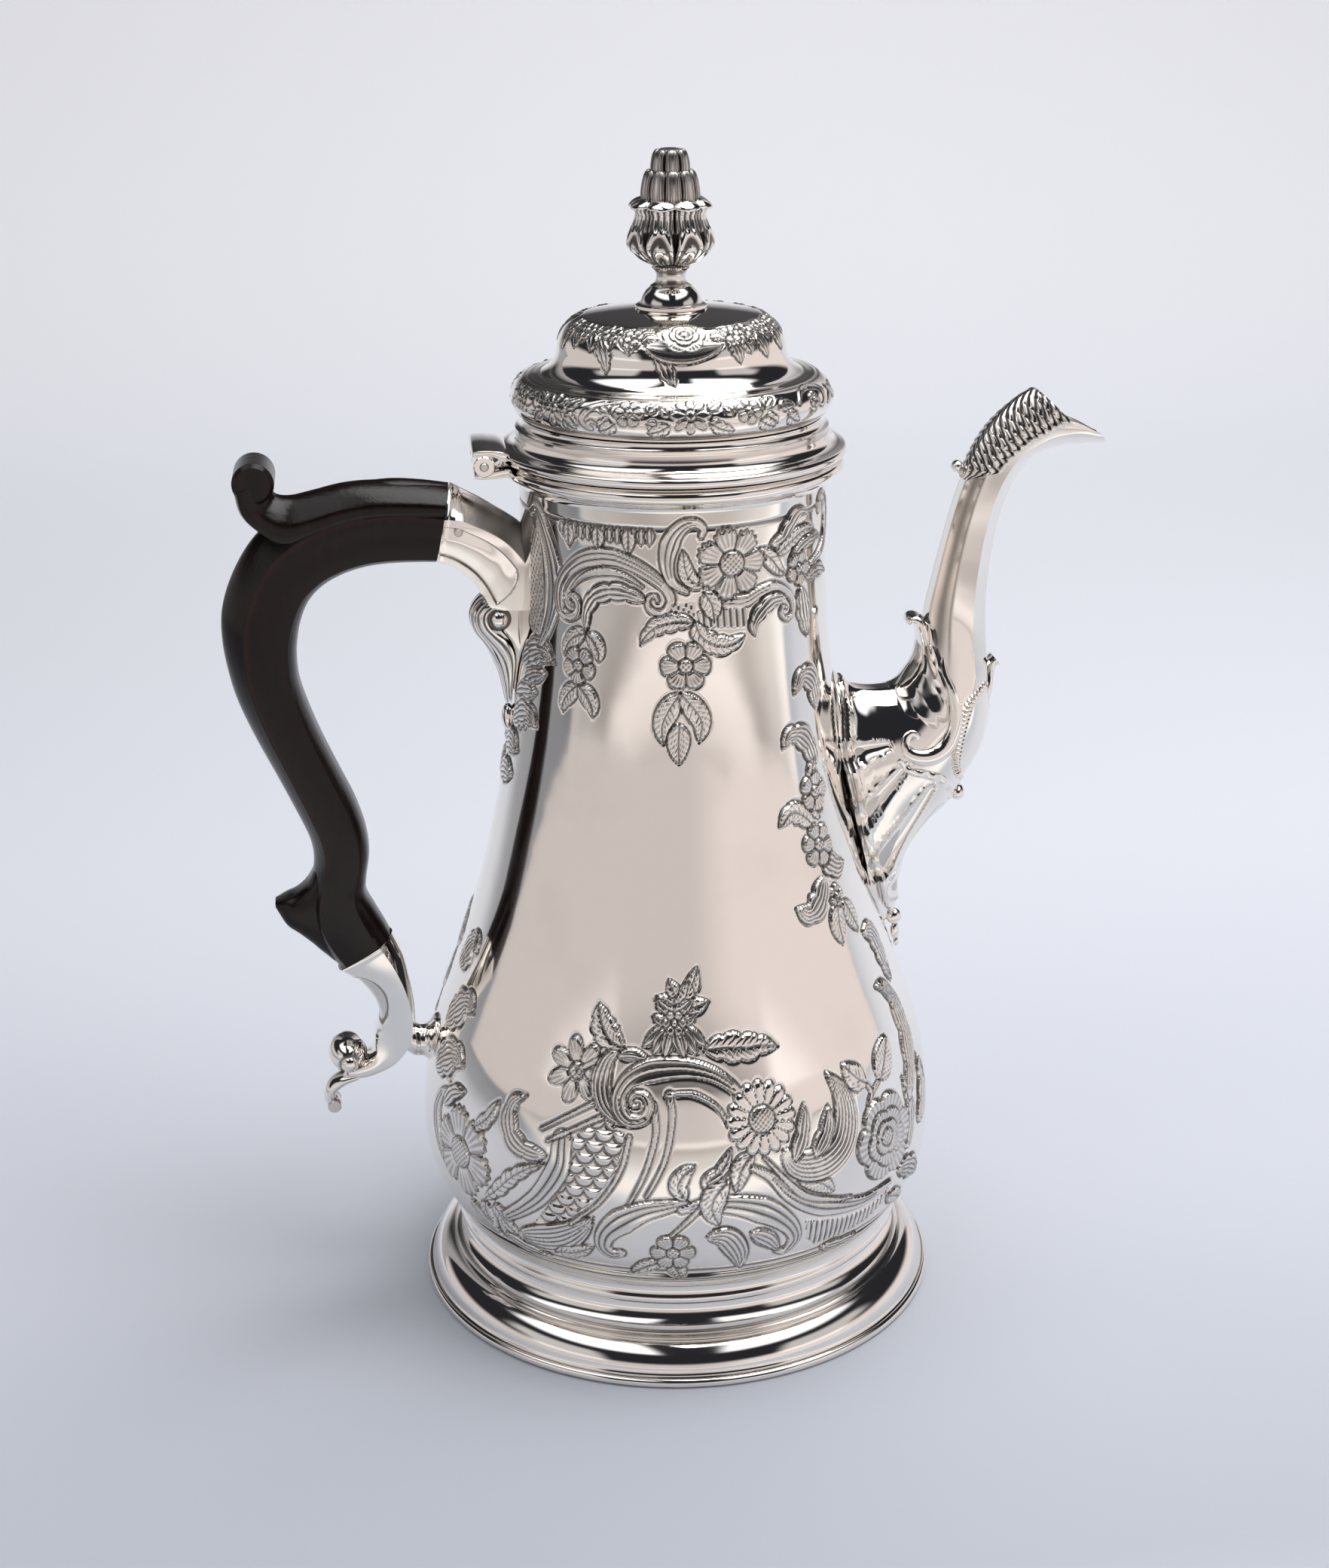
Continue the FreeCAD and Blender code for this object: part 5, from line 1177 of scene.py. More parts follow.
    def inside(self, shop: Workshop) -> None:
        """Makes the plain inner wall and floor, and cups in the oxide colour as painted shade for
        the strainer's holes.

        Args:
            shop: where the pieces are made.
        """
        z = np.linspace(202.2, 24.0, 70)
        wall = np.stack([self.radius(z) - self.wall_inside, z], axis=1)
        floor = np.array([[50.0, 20.4], [46.0, 17.6], [40.0, 16.6], [20.0, 16.4], [0.02, 16.4],
                          [0.02, 15.4], [40.0, 15.6], [47.0, 16.6], [51.0, 19.6]])
        back = np.stack([self.radius(z[::-1]) - self.wall_middle, z[::-1]], axis=1)
        shop.piece("body_inside", "pot", Finish.SILVER, *lathe(np.vstack([wall, floor, back]), 160))
        hole_shades = []
        for row in range(-1, 2):
            for column in range(-1, 2):
                height = self.strainer_height + self.strainer_pitch * row
                out = float(self.radius(np.array(height))) - 1.45
                hole_shades.append(ball((out, self.strainer_pitch * column, height),
                                 (0.25, self.strainer_hole, self.strainer_hole), 6, 14))
        points, faces = joined(*hole_shades)
        points[:, 0] -= (points[:, 1] ** 2) / 90
        # The cups take the full oxide colour as painted shade where the strainer's holes would show
        # dark.
        shop.piece("strainer_holes", "pot", Finish.SILVER, points, faces, worn=np.ones(len(points)))


@dataclass
class Turning:
    """A plain turned ring: its outline runs up the outside and back down the inside."""

    name: str
    body: str
    outline: Array
    finish: Finish = Finish.SILVER
    nodes: tuple[str, ...] = ()
    columns: int = 224

    def build(self, shop: Workshop) -> None:
        """Turns the outline round the axis; sharp hollows get a little patina.

        Args:
            shop: where the pieces are made.
        """
        points, faces = lathe(self.outline, self.columns)
        step = np.roll(self.outline, -1, axis=0) - self.outline
        last = np.roll(step, 1, axis=0)
        bend = last[:, 0] * step[:, 1] - last[:, 1] * step[:, 0]
        size = np.linalg.norm(step, axis=1) * np.linalg.norm(last, axis=1) + 1e-9
        hollow = np.clip(-1.6 * bend / size - 0.4, 0, 0.6)
        shop.piece(self.name, self.body, self.finish, points, faces, self.nodes,
                   np.repeat(hollow, self.columns), crease=30)


def foot_turnings() -> list[Turning]:
    """The stepped foot and the wire round its edge.

    Returns:
        The rings, from the bottom up.
    """
    wire = np.vstack([bowed((59.3, 0.02), (61.2, 0.02), 0, 3),
                      bowed((61.2, 0.02), (61.25, 2.15), 0.74, 8),
                      bowed((61.0, 2.18), (59.25, 2.18), 0, 3)])
    side = np.vstack([
        [[58.9, 2.3]], bowed((60.7, 2.3), (60.6, 2.9), 0.1, 4),
        bowed((60.4, 3.3), (54.9, 9.4), 1.25, 14),
        bowed((54.7, 9.6), (53.4, 10.1), 0, 3), bowed((53.3, 10.3), (53.3, 11.2), 0, 3),
        bowed((53.0, 11.4), (51.0, 15.3), -0.5, 10), bowed((51.0, 15.6), (52.6, 16.4), -0.2, 4),
        bowed((52.8, 16.6), (53.3, 19.2), 0.7, 8), bowed((53.2, 19.5), (53.6, 22.2), -0.4, 8),
        [[52.4, 22.3], [51.6, 20.0], [51.3, 17.8], [49.6, 16.6], [49.2, 15.4], [51.2, 10.8],
         [52.0, 9.6], [54.4, 7.4], [57.4, 4.2], [58.0, 2.6]]])
    return [Turning("foot_wire_ring", "pot", wire, nodes=("foot_wire",)),
            Turning("foot_steps", "pot", side, nodes=("foot_ring",))]


def rim_turning() -> Turning:
    """The moulding round the mouth.

    Returns:
        The ring.
    """
    side = np.vstack([
        bowed((34.35, 196.7), (36.0, 198.5), -0.35, 7), bowed((36.2, 198.7), (37.0, 199.0), 0, 3),
        bowed((37.2, 199.1), (37.3, 202.0), 1.1, 10), bowed((37.1, 202.25), (36.4, 202.38), 0, 3),
        [[33.15, 202.38], [33.15, 199.0], [33.2, 196.7]]])
    return Turning("mouth_moulding", "pot", side, nodes=("rim_moulding",))


def lid_turnings() -> list[Turning]:
    """The lid's flange, with its fillets, and the bezel that drops into the neck.

    Returns:
        The rings of the lid.
    """
    flange = np.vstack([
        [[33.2, 202.75], [37.6, 202.75]], bowed((37.9, 202.78), (37.8, 205.0), 1.1, 10),
        bowed((37.4, 205.2), (34.95, 207.7), -0.75, 9),
        [[34.8, 208.0], [34.8, 209.2], [34.5, 209.4]],
        bowed((34.2, 209.5), (33.35, 211.35), -0.35, 6), [[32.2, 211.3], [32.3, 205.5]]])
    bezel = np.array([[31.15, 195.8], [32.2, 195.8], [32.25, 196.0], [32.28, 206.6], [31.1, 206.6]])
    return [Turning("lid_rim", "lid", flange, nodes=("lid_flange",)),
            Turning("lid_collar", "lid", bezel, nodes=("lid_bezel",), columns=160)]


@dataclass
class LidDome:
    """The lid's bead and dome with their chased bands.

    The surface is the lid's outline turned round the axis and moved out along its own normal
    by ground plus the relief times raised, kept between deepest and highest. Rings are chased
    lines, by their place up the outline.
    """

    ground: float = -0.2
    raised: float = 0.5
    deepest: float = -0.25
    highest: float = 0.45
    rings: tuple[float, ...] = (1.9, 11.6, 14.6)
    rows: int = 193
    columns: int = 480

    def outline(self) -> Array:
        """Rows of (run, radius, height) up the outside, from the bead's foot to the crown.

        Returns:
            An array with a row for each row of corners.
        """
        line = np.vstack([bowed((33.4, 211.4), (31.6, 220.6), 3.26, 40),
                          bowed((31.5, 220.65), (30.6, 220.7), 0, 4),
                          bowed((30.5, 220.75), (25.4, 226.2), -1.4, 24),
                          bowed((25.39, 226.3), (19.5, 233.3), 1.475, 30),
                          bowed((19.4, 233.33), (7.0, 234.7), 0.16, 20)])
        return np.column_stack(evenly(line, self.rows))

    def ornament(self, run: Array, radius: Array) -> Relief:
        """The chased half of the lid on the side that is seen.

        Args:
            run: millimetres up the outline, one for each row.
            radius: the radius at each row.

        Returns:
            The relief of half the lid.
        """
        relief = Relief(np.linspace(-90, 90, self.columns + 1), run, radius, tool=0.3)
        for level in self.rings:
            relief.ring(level, 0.3, 0.25, 0.7)
        for motif in LID_ORNAMENT:
            motif.chase(relief)
        return relief

    def build(self, shop: Workshop) -> None:
        """Makes both halves of the outside, the far one as a mirror image, and the inside.

        Args:
            shop: where the pieces are made.
        """
        line = self.outline()
        relief = self.ornament(line[:, 0], line[:, 1])
        slope = heading(line[:, 1:])
        lift = np.clip(self.raised * relief.height, self.deepest, self.highest) + self.ground
        out = line[:, 1:2] + slope[:, 1:] * lift
        up = line[:, 2:] - slope[:, :1] * lift
        turn = np.radians(relief.angle)
        points = np.stack([out * np.sin(turn), -out * np.cos(turn), up], axis=-1)
        for name, flip, stride, nodes in (("lid_near_half", 1, 1, ("lid_dome",)),
                                          ("lid_far_half", -1, 2, ())):
            cut = np.s_[::stride, ::stride]
            shop.piece(name, "lid", Finish.SILVER, (points[cut] * [1, flip, 1]).reshape(-1, 3),
                       grid_faces(*points[cut].shape[:2])[:, ::flip], nodes, relief.oxide[cut],
                       crease=60, chased=relief.chased[cut])
        inward = np.stack([slope[::6, 1], -slope[::6, 0]], axis=1)
        skin, thin = (line[::6, 1:] - inward * depth for depth in (0.85, 1.25))
        shop.piece("lid_inside", "lid", Finish.SILVER, *lathe(np.vstack([skin, thin[::-1]]), 128))


def spun(turn: float) -> Array:
    """A matrix that turns rows of (outwards, across, up) round the axis, by an angle from -Y."""
    c, s = math.cos(turn), math.sin(turn)
    return np.array([[s, -c, 0], [c, s, 0], [0, 0, 1]])


@dataclass
class Finial:
    """The bud finial: a turned foot, a cup of leaves, leaf tips and a ribbed bud in two tiers."""

    leaves: int = 8

    def ribbed(self, profile: Path, rows: int, columns: int,
               work: Callable[[Array, Array], tuple[Array, Array]]) -> tuple[Array, list, Array]:
        """A closed profile turned round the axis and worked into ribs.

        Args:
            profile: points of (radius, height) from the bottom to the top.
            rows: rows of corners.
            columns: corners round the axis.
            work: gives added radius and darkness from the share of the height and the angle.

        Returns:
            Corners, faces and darkness.
        """
        line = smooth_path(profile, rows)
        turn = np.linspace(0, 2 * math.pi, columns, endpoint=False)[None]
        share = np.linspace(0, 1, rows)[:, None]
        more, dark = work(share, turn)
        r = np.maximum(line[:, :1] + more * smoothstep(0.5, 2.0, line[:, :1]), 0.05)
        points = np.stack([r * np.sin(turn), -r * np.cos(turn), line[:, 1:] + 0 * turn], axis=-1)
        return points.reshape(-1, 3), tube_faces(rows, columns), dark.ravel()

    def cup_work(self, share: Array, turn: Array) -> tuple[Array, Array]:
        """Leaves side by side: arcs round the foot of each midrib, and ribs up to the tips.

        Args:
            share: share of the height.
            turn: angle round the axis.

        Returns:
            Added radius and darkness.
        """
        phase = ((turn * self.leaves / (2 * math.pi)) % 1 - 0.5) * 2
        gap = bell(1 - np.abs(phase), 0.13)
        ring = np.cos(2 * math.pi * 2.6 * np.hypot(phase * 0.85, (share - 0.12) * 1.7))
        ribs = np.cos(2 * math.pi * 2.5 * phase * (1.1 - 0.3 * share))
        wave = ring * smoothstep(0.62, 0.5, share) + ribs * smoothstep(0.5, 0.62, share)
        return 0.24 * wave - 0.9 * gap, np.clip(gap + 0.85 * smoothstep(0.1, -0.7, wave), 0, 1)

    @staticmethod
    def bud_work(share: Array, turn: Array) -> tuple[Array, Array]:
        """The dark core of the bud, with fine upright ridges."""
        fine = np.cos(turn * 40) + 0 * share
        return 0.06 * fine, 0.8 - 0.2 * fine

    @staticmethod
    def petals(count: int, radius: float, middle: float, size: Sequence[float],
               lean: float) -> list[tuple[Array, list, Array]]:
        """Upright petals side by side round the axis, with fine ridges.

        Each is a ball drawn out to three radii, made squarer by raising its place across and up,
        from -1 to 1, to the power of 0.7, and leant inwards towards the top.

        Args:
            count: how many there are.
            radius: how far their middles are from the axis.
            middle: the height of their middles.
            size: their radii outwards, across and up.
            lean: how far their tops come in.

        Returns:
            Corners, faces and darkness of each.
        """
        made = []
        for n in range(count):
            place, sides = ball((0, 0, 0), (1, 1, 1), 20, 56)
            square = np.sign(place) * np.abs(place) ** 0.7
            x = size[0] * place[:, 0] + radius - lean * square[:, 2]
            y = size[1] * square[:, 1] * (1 - 0.12 * square[:, 2])
            z = middle + size[2] * square[:, 2]
            ridge = np.cos(2 * math.pi * 3.5 * square[:, 1])
            x = x + 0.07 * ridge
            points = np.stack([x, y, z], axis=1) @ spun(2 * math.pi * n / count)
            rim = smoothstep(0.75, 1.0, np.abs(square[:, 1]))
            dark = 0.58 - 0.36 * ridge * smoothstep(0.9, 0.5, square[:, 2]) + rim
            made.append((points, sides, np.clip(dark, 0, 1)))
        return made

    def build(self, shop: Workshop) -> None:
        """Makes the foot, the cup with its leaf tips, and the bud.

        Args:
            shop: where the pieces are made.
        """
        foot = np.array([[0.4, 234.45], [7.6, 234.5], [7.9, 234.8], [7.85, 235.2], [7.4, 235.45],
                         [6.9, 235.6], [6.75, 236.1], [6.2, 237.3], [5.4, 238.4], [4.7, 238.95],
                         [4.55, 239.3], [4.2, 239.5], [3.5, 239.9], [3.2, 240.8], [3.2, 241.6],
                         [3.45, 242.4], [4.0, 242.8], [4.2, 243.15], [4.0, 243.45],
                         [0.4, 243.45]])
        Turning("finial_foot", "lid", foot, Finish.CAST, ("finial_base",), 128).build(shop)
        cup = ((3.0, 243.62), (4.6, 244.0), (7.2, 245.4), (9.1, 247.4), (9.4, 248.8), (8.8, 251.0),
               (7.8, 253.2), (7.5, 254.6), (7.9, 255.6), (6.8, 256.4), (3.0, 256.6))
        points, faces, dark = self.ribbed(cup, 56, 256, self.cup_work)
        tips = []
        for n in range(self.leaves):
            corners, sides = ball((0, 0, 0), (2.7, 3.35, 0.9), 12, 24)
            x, y = corners[:, 0], corners[:, 1]
            corners[:, 2] -= 0.11 * x ** 2 + 0.05 * y ** 2 + 0.12 * x
            turn = 2 * math.pi * (n + 0.5) / self.leaves
            tips.append(((corners + [6.7, 0, 257.2]) @ spun(turn), sides))
        tip_points, tip_faces = joined(*tips)
        both, sides = joined((points, faces), (tip_points, tip_faces))
        shop.piece("finial_leaves", "lid", Finish.CAST, both, sides, ("finial_cup",),
                   np.concatenate([dark, np.zeros(len(tip_points))]), crease=70, turned=True,
                   chased=np.concatenate([np.full(len(dark), 0.6), np.zeros(len(tip_points))]))
        lower = ((3.0, 257.0), (5.3, 257.1), (5.5, 258.4), (5.2, 260.4), (4.7, 262.4),
                 (4.0, 263.6), (3.0, 264.0))
        upper = ((2.6, 263.4), (3.5, 263.7), (3.5, 265.0), (3.2, 266.6), (2.8, 267.8),
                 (1.6, 268.3), (0.2, 268.4))
        tiers = [self.ribbed(tier, 34, 240, self.bud_work) for tier in (lower, upper)]
        both, sides, dark = darkened(*tiers, *self.petals(10, 5.15, 260.4, (1.1, 1.85, 3.5), 0.55),
                                     *self.petals(7, 3.1, 265.4, (1.05, 1.6, 2.75), 0.4))
        shop.piece("finial_ribbed_bud", "lid", Finish.CAST, both, sides, ("finial_bud",), dark, 70,
                   turned=True, chased=0.6)


def rod(x: float, z: float, radius: float, start: float, end: float, edge: float = 0.25,
        bore: float = 0.02) -> tuple[Array, Array]:
    """A round rod along Y with softened ends and a bore.

    Args:
        x: where its axis is.
        z: how high its axis is.
        radius: its radius.
        start: where it starts along Y.
        end: where it ends along Y.
        edge: how much its ends are softened.
        bore: the radius of the bore.

    Returns:
        The corners and the faces.
    """
    outline = np.array([[bore, start], [radius - edge, start], [radius, start + edge],
                        [radius, end - edge], [radius - edge, end], [bore, end]])
    points, faces = lathe(outline, 40)
    return np.stack([points[:, 0] + x, points[:, 2], -points[:, 1] + z], axis=1), faces


def pinned(shop: Workshop, name: str, node: str,
           pin: tuple[float, float, float, float]) -> None:
    """Makes a pin across the handle, from its place (x, z), its radius and half its length.

    Args:
        shop: where the pieces are made.
        name: the name of the piece.
        node: the solid that it is shown in place of.
        pin: place, radius and half length, in millimetres.
    """
    x, z, radius, half = pin
    shop.piece(name, "pot", Finish.PIN, *rod(x, z, radius, -half, half, 0.3), (node,), turned=True)


@dataclass
class Hinge:
    """The lid's hinge: two leaves with knuckles in turn on one pin."""

    out: float = -42.3
    height: float = 202.55
    barrel: float = 2.35
    length: float = 20.0
    knuckle: float = 6.8
    gap: float = 0.3
    bore: float = 1.0
    pin: float = 0.9
    pin_end: float = 0.4
    lid_leaf: Path = (
        (-35.6, 203.6), (-37.4, 205.4), (-40.6, 205.95), (-43.2, 206.0), (-44.6, 205.7),
        (-44.5, 204.9), (-42.4, 204.75), (-40.2, 204.6), (-38.4, 203.6), (-36.2, 203.0))
    lid_neck: Path = (
        (-39.2, 203.3), (-39.6, 205.2), (-42.4, 205.2), (-43.9, 203.9), (-42.4, 204.2),
        (-41.0, 203.5))
    pot_leaf: Path = (
        (-36.4, 200.2), (-39.0, 199.9), (-42.0, 199.75), (-44.2, 199.9), (-44.2, 200.7),
        (-42.4, 200.9), (-39.6, 201.6), (-36.6, 201.8))

    def build(self, shop: Workshop) -> None:
        """Makes the leaf on the pot, the leaf on the lid, and the pin.

        Args:
            shop: where the pieces are made.
        """
        half, middle = self.length / 2, self.knuckle / 2
        spans = (-middle, middle), (-half, -middle - self.gap), (middle + self.gap, half)
        inner, *ends = (rod(self.out, self.height, self.barrel, *span, bore=self.bore)
                        for span in spans)
        upper, lower = (slab(leaf, self.length - 0.4, 0.25, 72)
                        for leaf in (self.lid_leaf, self.pot_leaf))
        neck = slab(self.lid_neck, self.knuckle - 0.1, 0.1, 40)
        shop.piece("hinge_lid_leaf", "lid", Finish.SILVER, *joined(upper, neck, inner),
                   ("lid_hinge_leaf",), turned=True)
        shop.piece("hinge_pot_leaf", "pot", Finish.SILVER, *joined(lower, *ends),
                   ("body_hinge_leaf",), turned=True)
        far = half + self.pin_end
        shop.piece("hinge_rod", "pot", Finish.PIN,
                   *rod(self.out, self.height, self.pin, -far, far, 0.2), ("hinge_pin",),
                   turned=True)


def moulded(rails: Sequence[Sequence[float]], rows: int = 120, across: int = 14,
            flat: int = 40) -> tuple[Array, list, Array, Array]:
    """A bar with a rounded back, upright sides and a flatter belly.

    From the middle of the back to the edge of the side the section is back + (edge - back) s^1.8,
    and from the middle of the belly belly + (edge - belly) s^3, at s half widths across; between
    the two edges it bulges by a twentieth of that.

    Args:
        rails: rows of (x, z) for the back, the side's two edges and the belly, then half the width.
        rows: sections along the bar.
        across: corners from the middle to an edge.
        flat: corners down a side.

    Returns:
        The corners as an array of (row, column, 3), the faces, the share of the length of each row,
        and how far down the side each column is.
    """
    table = smooth_path(rails, rows)[:, :, None]
    s, q = np.linspace(0, 1, across), np.linspace(0, 1, flat + 2)[1:-1]
    place = []
    for k in (0, 1):
        back, top, low, belly = (table[:, n + k] for n in (0, 2, 4, 6))
        place.append(np.concatenate([back + (top - back) * s ** 1.8, top + (low - top) * q,
                                     belly + (low - belly) * s[::-1] ** 3], axis=1))
    wide = table[:, 8] * np.concatenate([s, 1 + 0.05 * (1 - (2 * q - 1) ** 2), s[::-1]])
    half = np.stack([place[0], -wide, place[1]], axis=-1)
    points = np.concatenate([half, (half * [1, -1, 1])[:, -2:0:-1]], axis=1)
    down = np.concatenate([np.zeros(across), q, np.ones(across)])
    share, down = np.linspace(0, 1, rows)[:, None], np.concatenate([down, down[-2:0:-1]])[None]
    return points, tube_faces(rows, points.shape[1]), share, down


def reeded(inner: Path, outer: Path, halves: Sequence[float], reeds: int = 4, rows: int = 120,
           columns: int = 113) -> tuple[Array, list, Array]:
    """A band of reeds side by side, arched from an inner line to an outer one in the middle.

    Across the band, at u from -1 to 1, it is inner + (outer - inner) cos(90 u) high and half a
    width times sin(90 u) wide, drawn in where two reeds meet.

    Args:
        inner: the line along both sides, as (x, z).
        outer: the line along the middle, in pairs with inner.
        halves: half the width at each pair.
        reeds: reeds on each side of the middle.
        rows: sections along the band.
        columns: corners across it.

    Returns:
        Corners, faces and darkness.
    """
    table = smooth_path([(*i, *o, h) for i, o, h in zip(inner, outer, halves)], rows)
    u = np.linspace(-1, 1, columns)
    turn = reeds * u + 0.5
    seam = bell(turn - np.round(turn), 0.14)
    high = np.cos(u * math.pi / 2) * (1 - 0.1 * seam)
    wide = np.sin(u * math.pi / 2) * (1 - 0.05 * seam)
    points = np.stack([table[:, :1] + (table[:, 2:3] - table[:, :1]) * high, table[:, 4:] * wide,
                       table[:, 1:2] + (table[:, 3:4] - table[:, 1:2]) * high], axis=-1)
    return points.reshape(-1, 3), tube_faces(rows, columns), np.tile(0.9 * seam, rows)


def darkened(*shapes: tuple[Array, Sequence, Array | float]) -> tuple[Array, list, Array]:
    """Several shapes as one, each with its darkness.

    Args:
        shapes: corners, faces and darkness of each.

    Returns:
        Corners, faces and darkness.
    """
    points, faces = joined(*[shape[:2] for shape in shapes])
    worn = [np.zeros(len(np.reshape(place, (-1, 3)))) + dark for place, _, dark in shapes]
    return points, faces, np.concatenate(worn)


@dataclass
class Grip:
    """The wooden handle: a bar bent round the fingers, with a thumb scroll and a spur."""

    half: float = 7.4
    back: Path = (
        (-49.9, 197.2), (-56.5, 198.2), (-63.5, 198.6), (-71.0, 197.6), (-79.0, 195.2),
        (-86.5, 191.6), (-93.0, 186.6), (-98.0, 179.0), (-101.0, 170.8), (-101.5, 163.5),
        (-100.6, 155.9), (-98.8, 148.5), (-95.5, 140.0), (-91.5, 131.2), (-87.8, 122.8),
        (-84.8, 115.3), (-84.1, 110.0), (-85.0, 104.5), (-86.0, 98.5), (-85.2, 92.0),
        (-82.6, 87.0), (-79.7, 83.0))
    front: Path = (
        (-53.5, 180.1), (-58.5, 180.2), (-64.0, 180.1), (-69.0, 179.5), (-74.0, 178.0),
        (-78.5, 175.5), (-81.8, 172.0), (-83.8, 167.5), (-84.8, 163.0), (-85.2, 158.8),
        (-84.9, 153.4), (-83.2, 147.0), (-80.5, 139.5), (-77.0, 131.2), (-73.9, 124.0),
        (-71.9, 117.3), (-71.3, 111.5), (-72.2, 105.5), (-72.4, 101.2), (-70.4, 96.8),
        (-68.6, 93.3), (-67.3, 90.5))

    @staticmethod
    def framed(back: Path, front: Path, edges: Sequence[Point],
               halves: Sequence[float]) -> list[tuple[float, ...]]:
        """Rails for a moulded bar, its side's edges as shares of the way from back to front.

        Args:
            back: points of the back, as (x, z).
            front: points of the front, in pairs with back.
            edges: the two shares at each pair.
            halves: half the width at each pair.

        Returns:
            Rows of rails.
        """
        made = []
        for b, f, shares, half in zip(back, front, edges, halves):
            (x, z), reach = b, np.subtract(f, b)
            inner = [v for share in shares for v in (x + share * reach[0], z + share * reach[1])]
            made.append((x, z, *inner, *f, half))
        return made

    def build(self, shop: Workshop) -> None:
        """Makes the bar with its scroll and spur as one piece of wood.

        Args:
            shop: where the pieces are made.
        """
        along = np.linspace(0, 1, len(self.back))
        edges = np.stack([np.interp(along, (0, 0.4, 1), (0.37, 0.3, 0.16)),
                          np.interp(along, (0, 0.5, 1), (0.92, 0.88, 0.76))], axis=1)
        halves = np.interp(along, (0, 0.8, 1), (self.half, self.half, 6.3))
        rails = self.framed(self.back, self.front, edges, halves)
        bar, bar_faces, _, down = moulded(rails, 170, 14, 18)
        top = ((-50.0, 197.0), (-57.0, 197.9), (-66.0, 198.4), (-73.0, 198.0), (-79.5, 196.6),
               (-84.4, 195.6), (-87.6, 196.0), (-88.8, 198.0), (-89.0, 200.0))
        low = ((-51.6, 190.6), (-57.0, 190.6), (-66.0, 190.6), (-73.5, 189.2), (-80.5, 186.6),
               (-87.0, 185.4), (-92.2, 188.6), (-95.6, 192.4), (-96.8, 197.6))
        rails = self.framed(top, low, [(0.5, 0.9)] * len(top), np.linspace(7.5, 6.6, len(top)))
        thumb, thumb_faces, _, _ = moulded(rails, 90, 14, 12)
        roll = rod(-92.3, 199.5, 4.6, -6.6, 6.6, 0.8)
        spur = railed(((-76.5, 113.5), (-80.5, 111.8), (-83.6, 108.4), (-85.9, 104.6),
                       (-88.4, 102.3), (-90.9, 101.2), (-93.5, 100.0)),
                      ((-74.5, 88.0), (-79.0, 83.9), (-82.6, 86.5), (-85.6, 89.6), (-88.2, 92.0),
                       (-91.1, 94.4), (-93.4, 98.4)),
                      (10.8, 11.6, 11.8, 11.4, 10.6, 9.0, 4.6), 60, 40, 3.2)
        points, faces = joined((bar, bar_faces), (thumb, thumb_faces), roll, spur)
        wear = np.zeros(len(points))
        wear[:down.size * len(bar)] = np.tile(0.8 * bell(down[0], 0.1) * (down[0] > 0), len(bar))
        shop.piece("handle_wood", "pot", Finish.WOOD, points, faces, ("handle_grip",), wear, 26,
                   turned=True)


